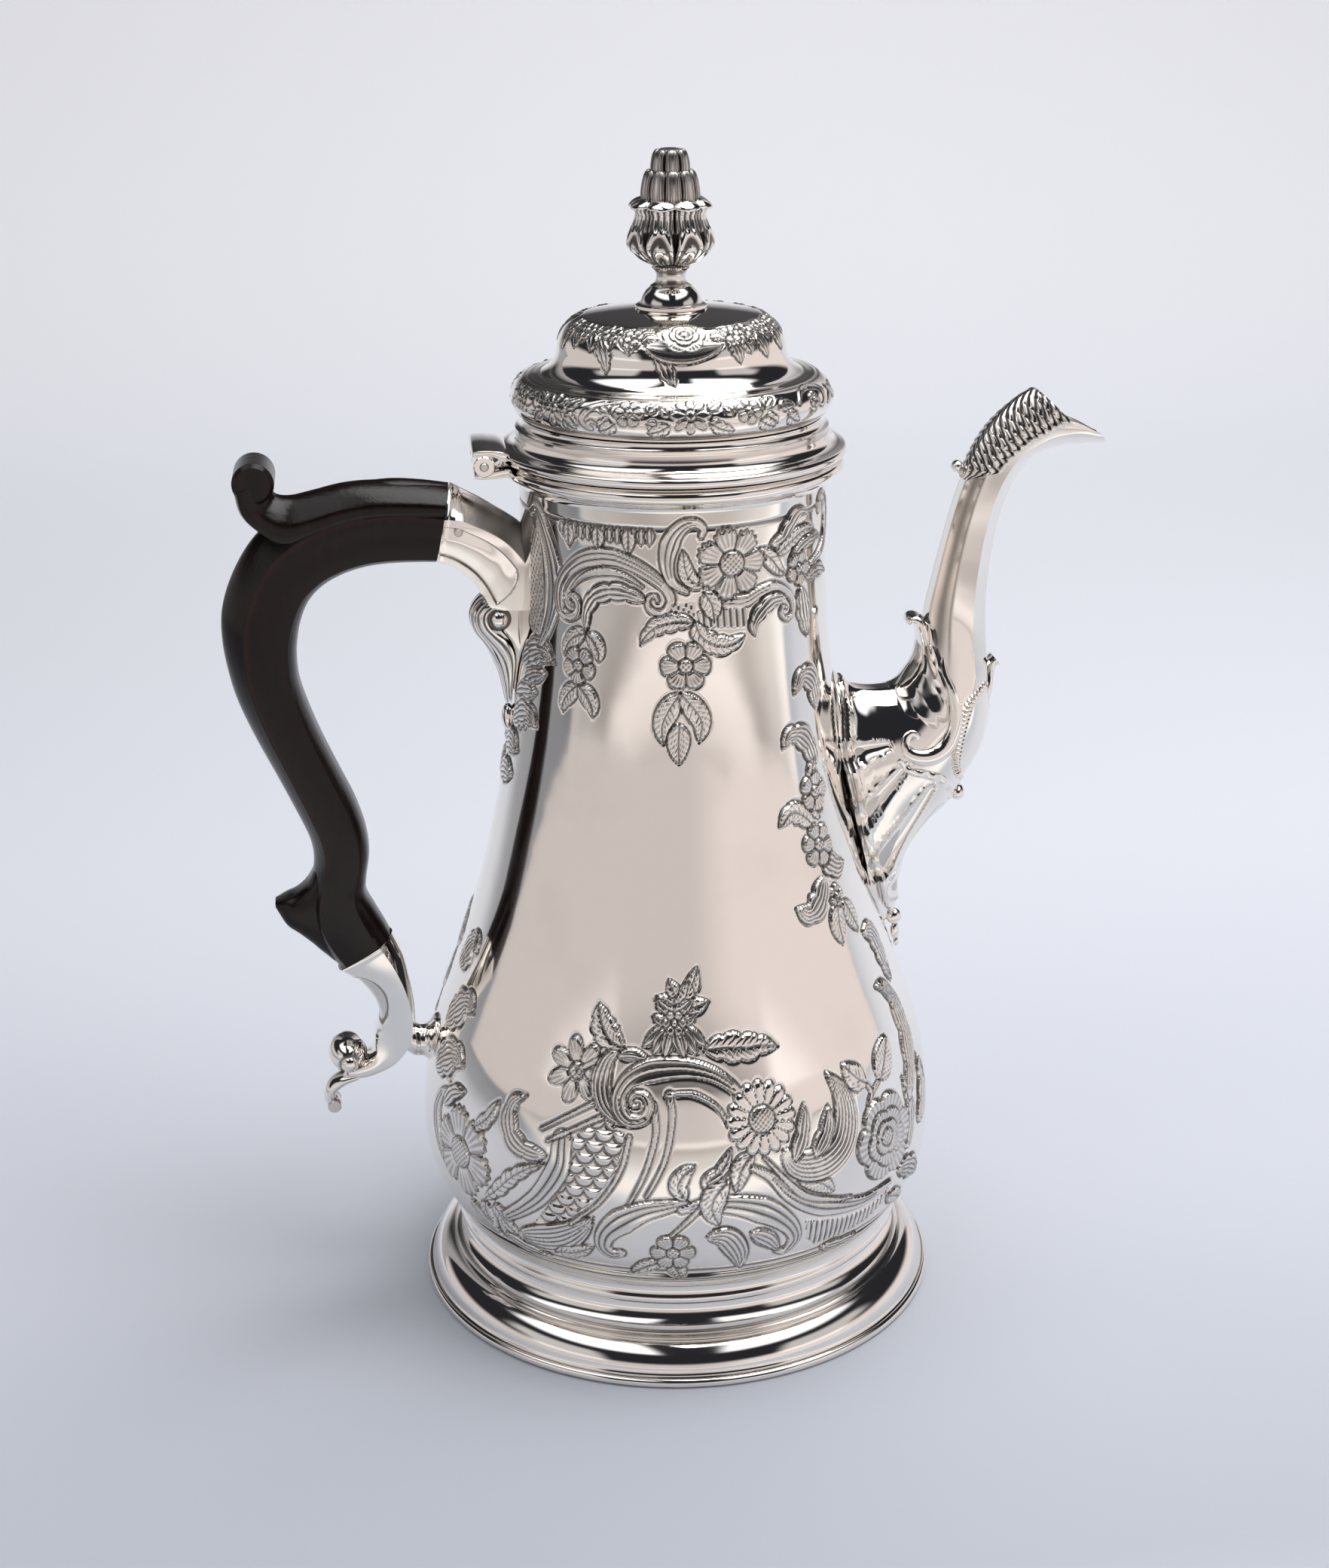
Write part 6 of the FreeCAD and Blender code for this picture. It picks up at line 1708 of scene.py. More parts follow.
@dataclass
class UpperSocket:
    """The socket at the neck: a curved bar with framed sides, a pin, and a reeded bracket."""

    pin: tuple[float, float, float, float] = (-48.3, 187.6, 1.0, 7.75)
    panel_from: float = 0.17
    panel_ends: Point = (0.88, 0.82)
    panel_depth: float = 0.85
    rails: tuple[tuple[float, ...], ...] = (
        (-49.6, 197.3, -51.2, 190.8, -53.2, 181.7, -53.7, 180.0, 7.7),
        (-46.1, 195.4, -47.7, 190.2, -49.8, 180.2, -50.0, 178.9, 7.5),
        (-42.8, 193.5, -44.4, 188.8, -47.4, 178.5, -47.6, 177.2, 7.2),
        (-39.7, 191.5, -41.1, 187.1, -45.6, 176.7, -45.8, 175.4, 6.9),
        (-36.9, 189.7, -38.3, 185.2, -44.3, 174.9, -44.5, 173.6, 6.7),
        (-34.2, 187.6, -35.9, 182.8, -43.3, 173.2, -43.5, 171.8, 6.5),
        (-32.2, 184.6, -33.6, 179.6, -42.6, 171.6, -42.6, 170.4, 6.4),
        (-31.4, 180.0, -32.5, 176.0, -42.0, 170.4, -41.8, 169.2, 6.3),
        (-31.4, 174.6, -32.6, 172.0, -41.2, 169.6, -40.8, 168.4, 6.2),
        (-32.0, 169.8, -33.4, 168.9, -40.0, 169.2, -39.6, 168.0, 6.1))
    volute: Point = (-39.9, 166.9)

    def build(self, shop: Workshop) -> None:
        """Makes the socket, its pin and the bracket.

        Args:
            shop: where the pieces are made.
        """
        points, faces, share, down = moulded(self.rails)
        border = self.panel_from + 0.85 * np.clip((share - 0.62) / 0.24, 0, 1) ** 2.4
        panel = smoothstep(0, 0.05, down - border) * smoothstep(*self.panel_ends, down)
        depth = panel * (self.panel_depth - 0.4 * bell(down - 0.52, 0.24))
        points[..., 1] -= np.sign(points[..., 1]) * depth
        points[..., 1] *= 1 + 0.025 * bell(share - 0.02, 0.018)
        edge = 3.4 * panel * (1 - panel)
        # The top face above 180 mm is darkened: partly tarnish and partly a painted dark
        # reflection.
        shade = smoothstep(0.1, 0.3, share) * (down == 0) * (points[..., 2] > 180)
        shop.piece("upper_socket_cup", "pot", Finish.CAST, points.reshape(-1, 3), faces,
                   ("upper_socket",), np.maximum(edge, 0.7 * shade), 28, turned=True)
        pinned(shop, "upper_pin", "upper_handle_pin", self.pin)
        self.bracket(shop)

    def bracket(self, shop: Workshop) -> None:
        """Reeds that roll round a volute with a ball in it, down to a bud, on a plain web.

        Args:
            shop: where the pieces are made.
        """
        x, z = self.volute
        band = reeded(
            ((-36.9, 169.2), (-39.9, 169.8), (-42.0, 168.7), (-42.6, 167.0), (-42.0, 165.2),
             (-40.6, 163.6), (-38.6, 161.8), (-37.0, 159.4), (-36.5, 156.4), (-36.8, 152.4),
             (-37.2, 149.0)),
            ((-38.2, 172.8), (-43.0, 171.9), (-45.9, 168.9), (-46.4, 166.0), (-45.5, 163.0),
             (-43.5, 160.2), (-41.8, 157.0), (-40.3, 153.2), (-39.5, 149.8), (-39.0, 147.0),
             (-38.4, 145.2)),
            (6.3, 6.3, 6.3, 6.3, 6.2, 6.0, 5.5, 4.7, 3.9, 3.1, 2.2))
        web = railed(((-33.4, 169.4), (-33.4, 164.0), (-33.8, 159.0), (-34.6, 154.0),
                      (-35.6, 148.0)),
                     ((-40.4, 168.6), (-40.0, 164.4), (-37.6, 161.0), (-36.6, 157.0),
                      (-37.0, 149.4)),
                     (10.4, 10.2, 9.0, 6.8, 4.0), 60, 40, 4.0)
        balls = [(*ball((x, side * 5.7, z), (2.0, 1.6, 2.0), 14, 24), 0.0) for side in (-1, 1)]
        drops = [(*ball((-34.6, side * 4.2, 157.7), (0.9, 0.9, 0.9)), 0.0) for side in (-1, 1)]
        bud = ball((-38.2, 0, 142.2), (1.6, 2.2, 3.2), 14, 24)
        core = rod(x, z, 2.8, -5.5, 5.5, 0.3)
        points, faces, worn = darkened(band, (*core, 0.85), (*web, 0.12), *balls, *drops,
                                       (*bud, 0.0))
        shop.piece("upper_bracket_scroll", "pot", Finish.CAST, points, faces,
                   ("upper_scroll_bracket",), worn, 45, turned=True)


@dataclass
class LowerSocket:
    """The socket at the belly that bends into a scroll, and the strut that holds it."""

    pin: tuple[float, float, float, float] = (-71.3, 84.6, 1.0, 6.55)
    hollow_depth: float = 1.3
    rails: tuple[tuple[float, ...], ...] = (
        (-66.9, 90.7, -70.0, 88.9, -78.9, 83.9, -79.9, 83.0, 6.5),
        (-64.6, 84.6, -67.2, 84.0, -74.6, 81.0, -75.7, 79.5, 6.2),
        (-63.2, 77.7, -64.9, 78.4, -71.6, 76.4, -72.5, 75.4, 5.7),
        (-62.5, 72.0, -63.6, 73.0, -70.2, 71.7, -71.0, 71.4, 5.3),
        (-62.4, 67.0, -63.1, 68.0, -70.4, 67.9, -71.2, 68.0, 5.1),
        (-63.0, 62.8, -63.8, 63.6, -71.4, 65.4, -72.1, 65.8, 5.0),
        (-65.2, 59.2, -65.8, 60.2, -71.8, 63.0, -72.4, 63.4, 5.0),
        (-68.4, 56.8, -68.6, 57.7, -72.0, 60.8, -72.4, 61.3, 5.1),
        (-72.2, 55.2, -72.2, 56.1, -73.2, 59.0, -73.4, 59.6, 5.2),
        (-75.6, 54.4, -75.6, 55.3, -75.8, 58.0, -75.8, 58.4, 5.3),
        (-79.0, 54.9, -78.8, 55.8, -78.4, 57.4, -78.4, 57.8, 5.3))
    roll: Point = (-78.8, 60.2)

    def build(self, shop: Workshop) -> None:
        """Makes the socket and its pin, then scroll and strut.

        Args:
            shop: where the pieces are made.
        """
        points, faces, share, down = moulded(self.rails, rows=150)
        off = share - 0.3
        hollow = smoothstep(0, 0.14, down - 0.62 - 9.0 * off ** 2) * (np.abs(off) < 0.21)
        inward = np.minimum(self.hollow_depth * hollow, np.abs(points[..., 1]))
        points[..., 1] -= np.sign(points[..., 1]) * inward
        points[..., 1] *= 1 + 0.02 * bell(share - 0.015, 0.014)
        worn = 2.6 * hollow * (1 - hollow) + 0.2 * hollow
        shop.piece("lower_socket_cup", "pot", Finish.CAST, points.reshape(-1, 3), faces,
                   ("lower_socket",), worn, 28, turned=True)
        pinned(shop, "lower_pin", "lower_handle_pin", self.pin)
        self.scroll(shop)
        self.strut(shop)

    def scroll(self, shop: Workshop) -> None:
        """The roll at the end of the bend, an eye in each of its ends, and a tail under it.

        Args:
            shop: where the pieces are made.
        """
        x, z = self.roll
        barrel, sides = ball((x, 0, z), (4.6, 6.6, 4.6), 40, 64)
        groove = bell(np.hypot(barrel[:, 0] - x - 0.5, barrel[:, 2] - z + 0.9) - 2.35, 0.3)
        eyes = [(*ball((x + 0.5, side * 5.8, z - 0.9), (2.05, 1.5, 2.05), 14, 24), 0.0)
                for side in (-1, 1)]
        tail = strap(((-76.6, 54.6), (-80.4, 53.2), (-83.0, 51.0), (-83.6, 48.6), (-82.8, 46.8)),
                     (2.2, 2.9, 3.1, 2.8, 2.3), (8.0, 7.2, 6.4, 5.6, 5.0), 60, 24, 2.4)
        tip = rod(-82.6, 46.8, 1.6, -2.9, 2.9, 0.25)
        points, faces, worn = darkened((barrel, sides, 0.9 * groove), *eyes, (*tail, 0.0),
                                       (*tip, 0.25))
        shop.piece("lower_scroll_roll", "pot", Finish.CAST, points, faces, ("lower_scroll",), worn,
                   45, turned=True)

    def strut(self, shop: Workshop) -> None:
        """A turned trumpet from the socket down to the body, widening to a flange.

        Args:
            shop: where the pieces are made.
        """
        spool = np.array([[0.02, -65.0], [3.2, -64.8], [3.9, -63.8], [4.15, -62.9], [4.0, -62.0],
                          [3.85, -61.2], [4.1, -60.3], [4.9, -59.4], [6.2, -58.6], [7.4, -57.8],
                          [7.8, -57.0], [7.6, -56.4], [0.02, -56.0]])
        points, faces = lathe(smooth_path(spool, 60), 72)
        points = np.stack([points[:, 2], points[:, 1],
                           points[:, 0] + 62.2 - 0.3 * (points[:, 2] + 62.0)], axis=1)
        shop.piece("lower_strut_spool", "pot", Finish.CAST, points, faces, ("lower_strut",),
                   crease=40, turned=True)


@dataclass
class Spout:
    """The cast spout: a fluted swelling base, a faceted neck and a leaf-capped lip.

    Each row is a section between a point of the back and a point of the front,
    a^2 + b^2 = 1 turning into an eight-sided one up the neck, bent open along the mouth,
    with an inner skin one wall inside the outer one. A flute runs from its narrow end to its
    wide one, as (x, z). Dark stripes on the neck are painted reflections, each given as
    (amount, angle from the front, width).
    """

    wall: float = 1.2
    rows: int = 290
    fine_rows: int = 1200
    half: int = 112
    inner_half: int = 32
    back: Path = (
        (33.0, 152.0), (38.0, 148.9), (41.0, 147.0), (44.5, 146.1), (48.2, 146.0), (51.5, 146.6),
        (54.2, 148.6), (56.2, 151.5), (57.2, 155.2), (57.8, 158.6), (58.4, 162.3), (59.2, 166.5),
        (60.4, 171.8), (61.9, 178.3), (63.6, 185.2), (65.4, 191.4), (67.4, 197.0), (70.2, 203.0),
        (74.4, 208.2), (80.0, 212.2), (85.6, 213.0), (92.0, 210.3))
    front: Path = (
        (48.0, 86.0), (53.2, 91.5), (53.6, 97.5), (55.6, 105.5), (59.6, 111.3), (64.6, 116.4),
        (69.2, 124.1), (72.6, 130.2), (74.2, 137.0), (74.2, 143.5), (73.3, 151.0), (72.5, 159.0),
        (72.4, 167.0), (73.0, 175.0), (74.2, 183.0), (76.2, 190.0), (79.0, 195.6), (83.2, 199.4),
        (88.6, 201.2), (93.5, 201.4), (97.0, 201.4), (99.5, 201.4))
    widths: tuple[float, ...] = (26.5, 25.4, 25.2, 24.9, 24.4, 23.4, 21.8, 20.0, 18.2, 16.6, 15.0,
                                 13.4, 12.5, 12.0, 11.6, 11.3, 11.3, 11.5, 11.7, 11.5, 9.8, 6.6)
    open_from: tuple[float, ...] = (-1.0,) * 19 + (-0.35, 0.1, 0.55)
    facets: tuple[float, ...] = (0.0,) * 8 + (0.2, 0.5, 0.8, 1.0, 1.0, 1.0, 1.0, 1.0, 0.9, 0.6,
                                              0.4, 0.2, 0.1, 0.0)
    flutes: tuple[tuple[Point, Point], ...] = (
        ((48.0, 134.6), (38.4, 132.6)), ((52.0, 129.2), (41.2, 116.8)),
        ((58.6, 123.6), (46.4, 104.4)), ((62.4, 116.6), (52.6, 97.6)))
    # Stripes of painted dark reflection on the back facets of the neck, each (amount, angle from
    # the front, width).
    neck_reflection_stripes: tuple[tuple[float, float, float], ...] = ((0.62, 2.32, 0.2), (0.5, 1.963, 0.05),
                                                       (0.35, 2.75, 0.06))

    def stations(self, rows: int) -> Array:
        """Rows of back (x, z), front (x, z), width, opening and facets.

        Args:
            rows: how many to give back.

        Returns:
            An array of seven columns.
        """
        columns = self.back, self.front, self.widths, self.open_from, self.facets
        return smooth_path([(*b, *f, w, o, k) for b, f, w, o, k in zip(*columns)], rows)

    @staticmethod
    def covered(table: Array) -> Array:
        """How far each section reaches from the front to the opening, as an angle."""
        return np.arccos(np.clip(table[:, 5:6], -1, 1))

    @staticmethod
    def place(table: Array, turn: Array, out: Array | float) -> Array:
        """Points on the sections at angles from the front, moved off the skin by out.

        Args:
            table: rows of stations.
            turn: angles from the front.
            out: how far off the skin.

        Returns:
            The corners as an array of (row, column, 3).
        """
        middle = (table[:, :2] + table[:, 2:4]) / 2
        reach = (table[:, 2:4] - table[:, :2]) / 2
        size = np.linalg.norm(reach, axis=1)[:, None]
        eighth = (turn + math.pi / 8) % (math.pi / 4) - math.pi / 8
        grow = 1 + table[:, 6:7] * (0.965 / np.cos(eighth) - 1)
        a, b = np.cos(turn) * grow, np.sin(turn) * grow
        stretch = np.maximum(size + out, 0.3) / size
        across = np.maximum(table[:, 4:5] / 2 + out, 0.3) * b
        return np.stack([middle[:, :1] + reach[:, :1] * a * stretch, across,
                         middle[:, 1:] + reach[:, 1:] * a * stretch], axis=-1)

    def skin(self) -> tuple[Array, Array]:
        """The outer skin with a wavy flange on the body and the flutes, and its darkness with the
        neck's painted reflections.

        Returns:
            The corners as an array of (row, column, 3), and the darkness.
        """
        table = self.stations(self.rows)
        turn = np.linspace(-1, 1, 2 * self.half + 1)[None] * self.covered(table)
        plain = self.place(table, turn, 0.0)
        off = np.hypot(plain[..., 0], plain[..., 1]) - BodyShell().radius(plain[..., 2])
        off = off + 0.25 * np.cos(turn * 9)
        low = (plain[..., 0] < 60) * (plain[..., 2] < 156)
        lift = (1.3 * smoothstep(1.3, 0.1, off) + 0.95 * bell(off - 2.3, 0.75)) * low
        points = self.place(table, turn, lift)
        depth, dark = self.scoops(points)
        points[..., 1] += np.sign(points[..., 1]) * depth
        neck = smoothstep(148, 158, points[..., 2]) * smoothstep(206, 192, points[..., 2])
        # Painted dark reflections: stripes on the neck's back facets.
        painted_stripes = sum(amount * bell(np.abs(turn) - middle, width)
                      for amount, middle, width in self.neck_reflection_stripes)
        seam = 0.75 * bell(off - 1.35, 0.22) * low
        return points, np.maximum.reduce([dark, seam, np.minimum(painted_stripes, 1) * neck])

    def scoops(self, points: Array) -> tuple[Array, Array]:
        """How deep the flutes are hollowed in the sides of the base, and how dark they are.

        Args:
            points: corners of the skin.

        Returns:
            How far each corner moves outwards, and its darkness.
        """
        x, z = points[..., 0], points[..., 2]
        depth = np.zeros_like(x)
        dark = np.zeros_like(x)
        for narrow, wide in self.flutes:
            step = np.subtract(wide, narrow)
            off_x, off_z = x - narrow[0], z - narrow[1]
            share = np.clip((off_x * step[0] + off_z * step[1]) / (step @ step), 0, 1)
            far = np.hypot(off_x - share * step[0], off_z - share * step[1])
            q = far / (1.3 + 2.1 * share)
            scoop = -(0.7 + 1.0 * share) * np.clip(1 - q ** 2, 0, 1)
            depth = np.where(q < 1, scoop,
                             np.maximum(depth, 0.35 * bell(q - 1.12, 0.12)) * (depth >= 0)
                             + np.minimum(depth, 0))
            dark = np.maximum(dark, 0.5 * bell(q - 1.0, 0.07))
        side = smoothstep(2.0, 6.0, np.abs(points[..., 1]))
        return depth * side, dark * side

    def build(self, shop: Workshop) -> None:
        """Makes the spout's two skins as one casting, then its leaves, ridges and drop.

        Args:
            shop: where the pieces are made.
        """
        outer, dark = self.skin()
        table = self.stations(self.rows)
        turn = np.linspace(1, -1, 2 * self.inner_half + 1)[None] * self.covered(table)
        inner = self.place(table, turn, -self.wall)
        loop = np.concatenate([outer, inner], axis=1)
        count = loop.shape[1]
        last = (self.rows - 1) * count
        faces = grid_faces(self.rows, count, ring=True).tolist() + [list(range(last, last + count))]
        worn = np.concatenate([dark, np.full(inner.shape[:2], 0.35)], axis=1)
        shop.piece("spout_casting", "pot", Finish.CAST, loop.reshape(-1, 3), faces,
                   ("spout_left_half", "spout_right_half"), worn, 24, turned=True)
        self.lip_leaf(shop)
        self.leaves(shop, outer)
        drop = joined(ball((53.0, 0, 87.4), (2.0, 2.0, 2.0)),
                      ball((53.4, 0, 83.6), (1.1, 1.1, 2.2)),
                      ball((53.8, 0, 80.6), (0.7, 0.7, 1.2)))
        shop.piece("spout_bead_drop", "pot", Finish.CAST, *drop, ("spout_drop",), turned=True)

    def clad(self, span: Point, shape: Callable[[Array, Array], tuple[Array, Array, Array]],
             rows: int, columns: int) -> tuple[Array, list, Array]:
        """A leaf laid over the back of the spout.

        Args:
            span: where along the back rail it starts and ends, as x.
            shape: gives half its reach round the section, its height and its darkness from
                the share of its length and the place across it, from -1 to 1.
            rows: rows along it.
            columns: corners across it.

        Returns:
            Corners, faces and darkness.
        """
        table = self.stations(self.fine_rows)
        number = np.arange(self.fine_rows)
        rail = np.linspace(*np.interp(span, table[:, 0], number), rows)
        table = np.stack([np.interp(rail, number, column) for column in table.T], axis=1)
        share, across = np.linspace(0, 1, rows)[:, None], np.linspace(-1, 1, columns)[None]
        reach, lift, dark = shape(share, across)
        turn = math.pi + reach * across
        loop = np.concatenate([self.place(table, turn, lift),
                               self.place(table, turn, -0.3)[:, ::-1]], axis=1)
        worn = np.concatenate([dark + 0 * turn, 0 * turn], axis=1).ravel()
        return loop.reshape(-1, 3), tube_faces(rows, 2 * columns), worn

    @staticmethod
    def lip_shape(share: Array, across: Array) -> tuple[Array, Array, Array]:
        """Slanting ribs that sweep up to a crest, with a beaded ragged edge.

        Args:
            share: share of the leaf's length.
            across: place across it, from -1 to 1.

        Returns:
            Half the reach round the section, height and darkness.
        """
        wave = np.cos(2 * math.pi * (14.0 * share + 5.4 * np.abs(across)))
        notch = np.abs(np.sin(math.pi * 11 * share)) ** 0.6
        reach = 0.22 + 0.30 * smoothstep(0, 0.14, share) + 0.05 * np.sin(math.pi * share)
        reach = math.pi * reach * (0.93 + 0.07 * notch)
        inside = smoothstep(0.97, 0.88, np.abs(across))
        edge = bell(np.abs(across) - 0.94, 0.045)
        crest = 0.7 * smoothstep(0.72, 1.0, share) * (1 - across ** 2)
        crest = crest + 0.4 * bell(share - 0.97, 0.03)
        lift = 0.3 + (0.4 + 0.17 * wave) * inside + 0.42 * edge + crest
        dark = 0.9 * smoothstep(0.1, -0.8, wave) * inside
        return reach, lift, dark + 0.5 * bell(np.abs(across) - 0.87, 0.03)

    @staticmethod
    def curl_shape(share: Array, across: Array) -> tuple[Array, Array, Array]:
        """A leaf that narrows upwards, with lines along it and a ragged edge.

        Args:
            share: share of the leaf's length.
            across: place across it, from -1 to 1.

        Returns:
            Half the reach round the section, height and darkness.
        """
        notch = np.abs(np.sin(math.pi * 6 * share)) ** 0.6
        reach = 0.26 + 0.2 * smoothstep(0, 0.35, share) - 0.24 * smoothstep(0.4, 1.0, share)
        line = np.cos(2 * math.pi * 2.5 * across) * smoothstep(0.1, 0.4, share)
        edge = bell(np.abs(across) - 0.9, 0.08)
        lift = 0.15 + smoothstep(0, 0.4, share) * (0.75 + 0.2 * edge + 0.12 * line)
        return math.pi * reach * (0.9 + 0.1 * notch), lift, 0.4 * smoothstep(-0.3, -1.0, line)

    def lip_leaf(self, shop: Workshop) -> None:
        """The ribbed leaf over the bend, and the ball at its foot.

        Args:
            shop: where the pieces are made.
        """
        points, faces, dark = self.clad((66.4, 83.8), self.lip_shape, 210, 121)
        tip = ball((65.0, 0, 197.0), (1.4, 1.8, 1.4))
        points, sides = joined((points, faces), tip)
        worn = np.concatenate([dark, np.zeros(len(points) - dark.size)])
        shop.piece("spout_lip_ribs", "pot", Finish.CAST, points, sides, ("spout_lip_leaf",), worn,
                   60, turned=True, chased=0.7)

    def ridge(self, outer: Array, path: Path, sizes: Sequence[float], pitch: float = 0.0,
              rows: int = 90) -> tuple[Array, list]:
        """A rounded ridge laid on the spout's side, and its mirror image on the other side.

        Args:
            outer: the spout's outer skin.
            path: where the ridge runs, seen from the side, as (x, z).
            sizes: its half width at each point.
            pitch: the length of one rib across it, or nothing for a smooth ridge.
            rows: sections along it.

        Returns:
            Corners and faces.
        """
        line = smooth_path([(*p, s) for p, s in zip(path, sizes)], rows)
        side = outer[::2, self.half // 8: self.half:2].reshape(-1, 3)
        side = side[(side[:, 1] < 0) & (side[:, 2] < 170)]
        apart = ((line[:, None, :2] - side[None, :, [0, 2]]) ** 2).sum(axis=-1)
        depth = side[apart.argmin(axis=1), 1]
        blur = 2 * (rows // 18) + 1
        depth = np.convolve(np.pad(depth, blur // 2, mode="edge"), np.ones(blur) / blur,
                            mode="valid")
        run = np.linspace(0, 1, rows) * np.linalg.norm(np.diff(line[:, :2], axis=0), axis=1).sum()
        swell = 1 + 0.3 * np.cos(2 * math.pi * run / pitch) if pitch else np.ones(rows)
        slope, size = heading(line[:, :2]), line[:, 2:3]
        columns = 16
        a, b = section(2.0, columns).T
        points = np.stack([line[:, :1] - slope[:, 1:] * size * a,
                           depth[:, None] - 0.7 * size * swell[:, None] * b,
                           line[:, 1:2] + slope[:, :1] * size * a], axis=-1)
        faces = tube_faces(rows, columns)
        return joined((points, faces), (points * [1, -1, 1], faces))

    def leaves(self, shop: Workshop, outer: Array) -> None:
        """The curled leaf behind the neck, the shield in front, and the scrolls on the sides.

        Args:
            shop: where the pieces are made.
            outer: the spout's outer skin.
        """
        leaf, sides, dark = self.clad((50.0, 58.2), self.curl_shape, 90, 65)
        curl = strap(((58.6, 156.0), (57.8, 159.4), (56.6, 161.6), (55.0, 161.9), (54.3, 160.9)),
                     (3.4, 3.2, 2.8, 2.2, 1.3), (9.6, 9.0, 8.2, 7.0, 5.4), 60, 28, 2.4)
        path = ((55.6, 136.4), (53.8, 137.2), (52.4, 135.8), (52.6, 133.4), (54.8, 131.8),
                (58.4, 131.6), (61.6, 133.4), (63.6, 137.0), (64.2, 141.4), (63.4, 145.8),
                (61.8, 150.0), (61.4, 154.0))
        sizes = (0.7, 0.9, 1.1, 1.4, 1.8, 2.1, 2.1, 1.9, 1.7, 1.4, 1.0, 0.4)
        scroll = self.ridge(outer, path, sizes, rows=140)
        path = ((50.6, 131.4), (53.4, 128.6), (57.2, 127.4), (61.0, 125.8), (64.0, 122.2),
                (66.8, 119.4))
        hem = self.ridge(outer, path, (0.5, 0.9, 1.1, 1.1, 1.0, 0.7), 3.4, 120)
        points, faces = joined((leaf, sides), curl, scroll, hem)
        worn = np.concatenate([dark, np.zeros(len(points) - dark.size)])
        shop.piece("spout_curled_leaf", "pot", Finish.CAST, points, faces, ("spout_acanthus",),
                   worn, 50, turned=True)
        path = ((74.0, 147.0), (70.6, 145.6), (67.6, 142.8), (66.0, 138.6), (65.0, 133.8),
                (64.6, 129.4), (65.6, 126.0), (67.4, 123.6))
        frill = self.ridge(outer, path, (0.8, 1.2, 1.35, 1.4, 1.4, 1.3, 1.1, 0.7), 1.0, 340)
        prow = strap(((71.4, 139.0), (73.2, 144.6), (73.9, 148.0), (74.5, 150.3), (75.5, 151.3)),
                     (4.0, 3.4, 2.8, 2.6, 3.0), (9.6, 8.4, 6.4, 5.6, 6.6), 60, 24, 2.2)
        knobs = [ball((67.4, 0, 118.6), (2.0, 2.8, 2.0)),
                 *(ball((64.2, side * 5.0, 119.6), (1.2, 1.2, 1.2)) for side in (-1, 1))]
        points, faces = joined(frill, prow, *knobs)
        shop.piece("spout_shield", "pot", Finish.CAST, points, faces, ("spout_front_leaf",),
                   crease=50, turned=True)


Colour = tuple[float, float, float]
Span = tuple[float, float, float, float]
Stops = tuple[tuple[float, Colour], ...]
Feed = float | Sequence[float] | bpy.types.NodeSocket


@dataclass(frozen=True)
class Graph:
    """A node tree with short ways to add nodes that are already wired."""

    tree: bpy.types.NodeTree

    def feed(self, node: bpy.types.Node, feeds: dict[str | int, Feed]) -> None:
        """Gives each named input of a node the socket that feeds it, or its fixed value.

        Args:
            node: the node.
            feeds: what each input takes.
        """
        for socket, given in feeds.items():
            if isinstance(given, bpy.types.NodeSocket):
                self.tree.links.new(given, node.inputs[socket])
            else:
                node.inputs[socket].default_value = given

    def add(self, kind: str, feeds: dict[str | int, Feed] | None = None,
            **settings: object) -> bpy.types.Node:
        """Adds one shader node.

        Args:
            kind: the node's type, without the leading ShaderNode.
            feeds: what each input takes, as a socket or a fixed value.
            settings: the node's own properties.

        Returns:
            The new node.
        """
        node = self.tree.nodes.new("ShaderNode" + kind)
        for name, value in settings.items():
            setattr(node, name, value)
        self.feed(node, feeds or {})
        return node

    def maths(self, operation: str, *feeds: Feed, clamp: bool = False) -> bpy.types.NodeSocket:
        """The result of a maths node."""
        numbers = dict(enumerate(feeds))
        return self.add("Math", numbers, operation=operation, use_clamp=clamp).outputs[0]

    def noise(self, place: Feed, scale: float, detail: float) -> bpy.types.NodeSocket:
        """Noise from 0 to 1 at a place."""
        feeds = {"Vector": place, "Scale": scale, "Detail": detail}
        return self.add("TexNoise", feeds).outputs["Fac"]

    def ranged(self, value: Feed, low: float, high: float, first: float = 0.0, last: float = 1.0,
               kind: str = "SMOOTHSTEP") -> bpy.types.NodeSocket:
        """A value carried over from the range low to high to the range first to last."""
        feeds = {"Value": value, "From Min": low, "From Max": high, "To Min": first, "To Max": last}
        return self.add("MapRange", feeds, interpolation_type=kind).outputs["Result"]

    def mixed(self, share: Feed, one: Feed, other: Feed, kind: str = "RGBA",
              blend: str = "MIX") -> bpy.types.NodeSocket:
        """Two colours or two numbers mixed by a share."""
        feeds = {"Factor": share, "A": one, "B": other}
        return self.add("Mix", feeds, data_type=kind, blend_type=blend).outputs["Result"]


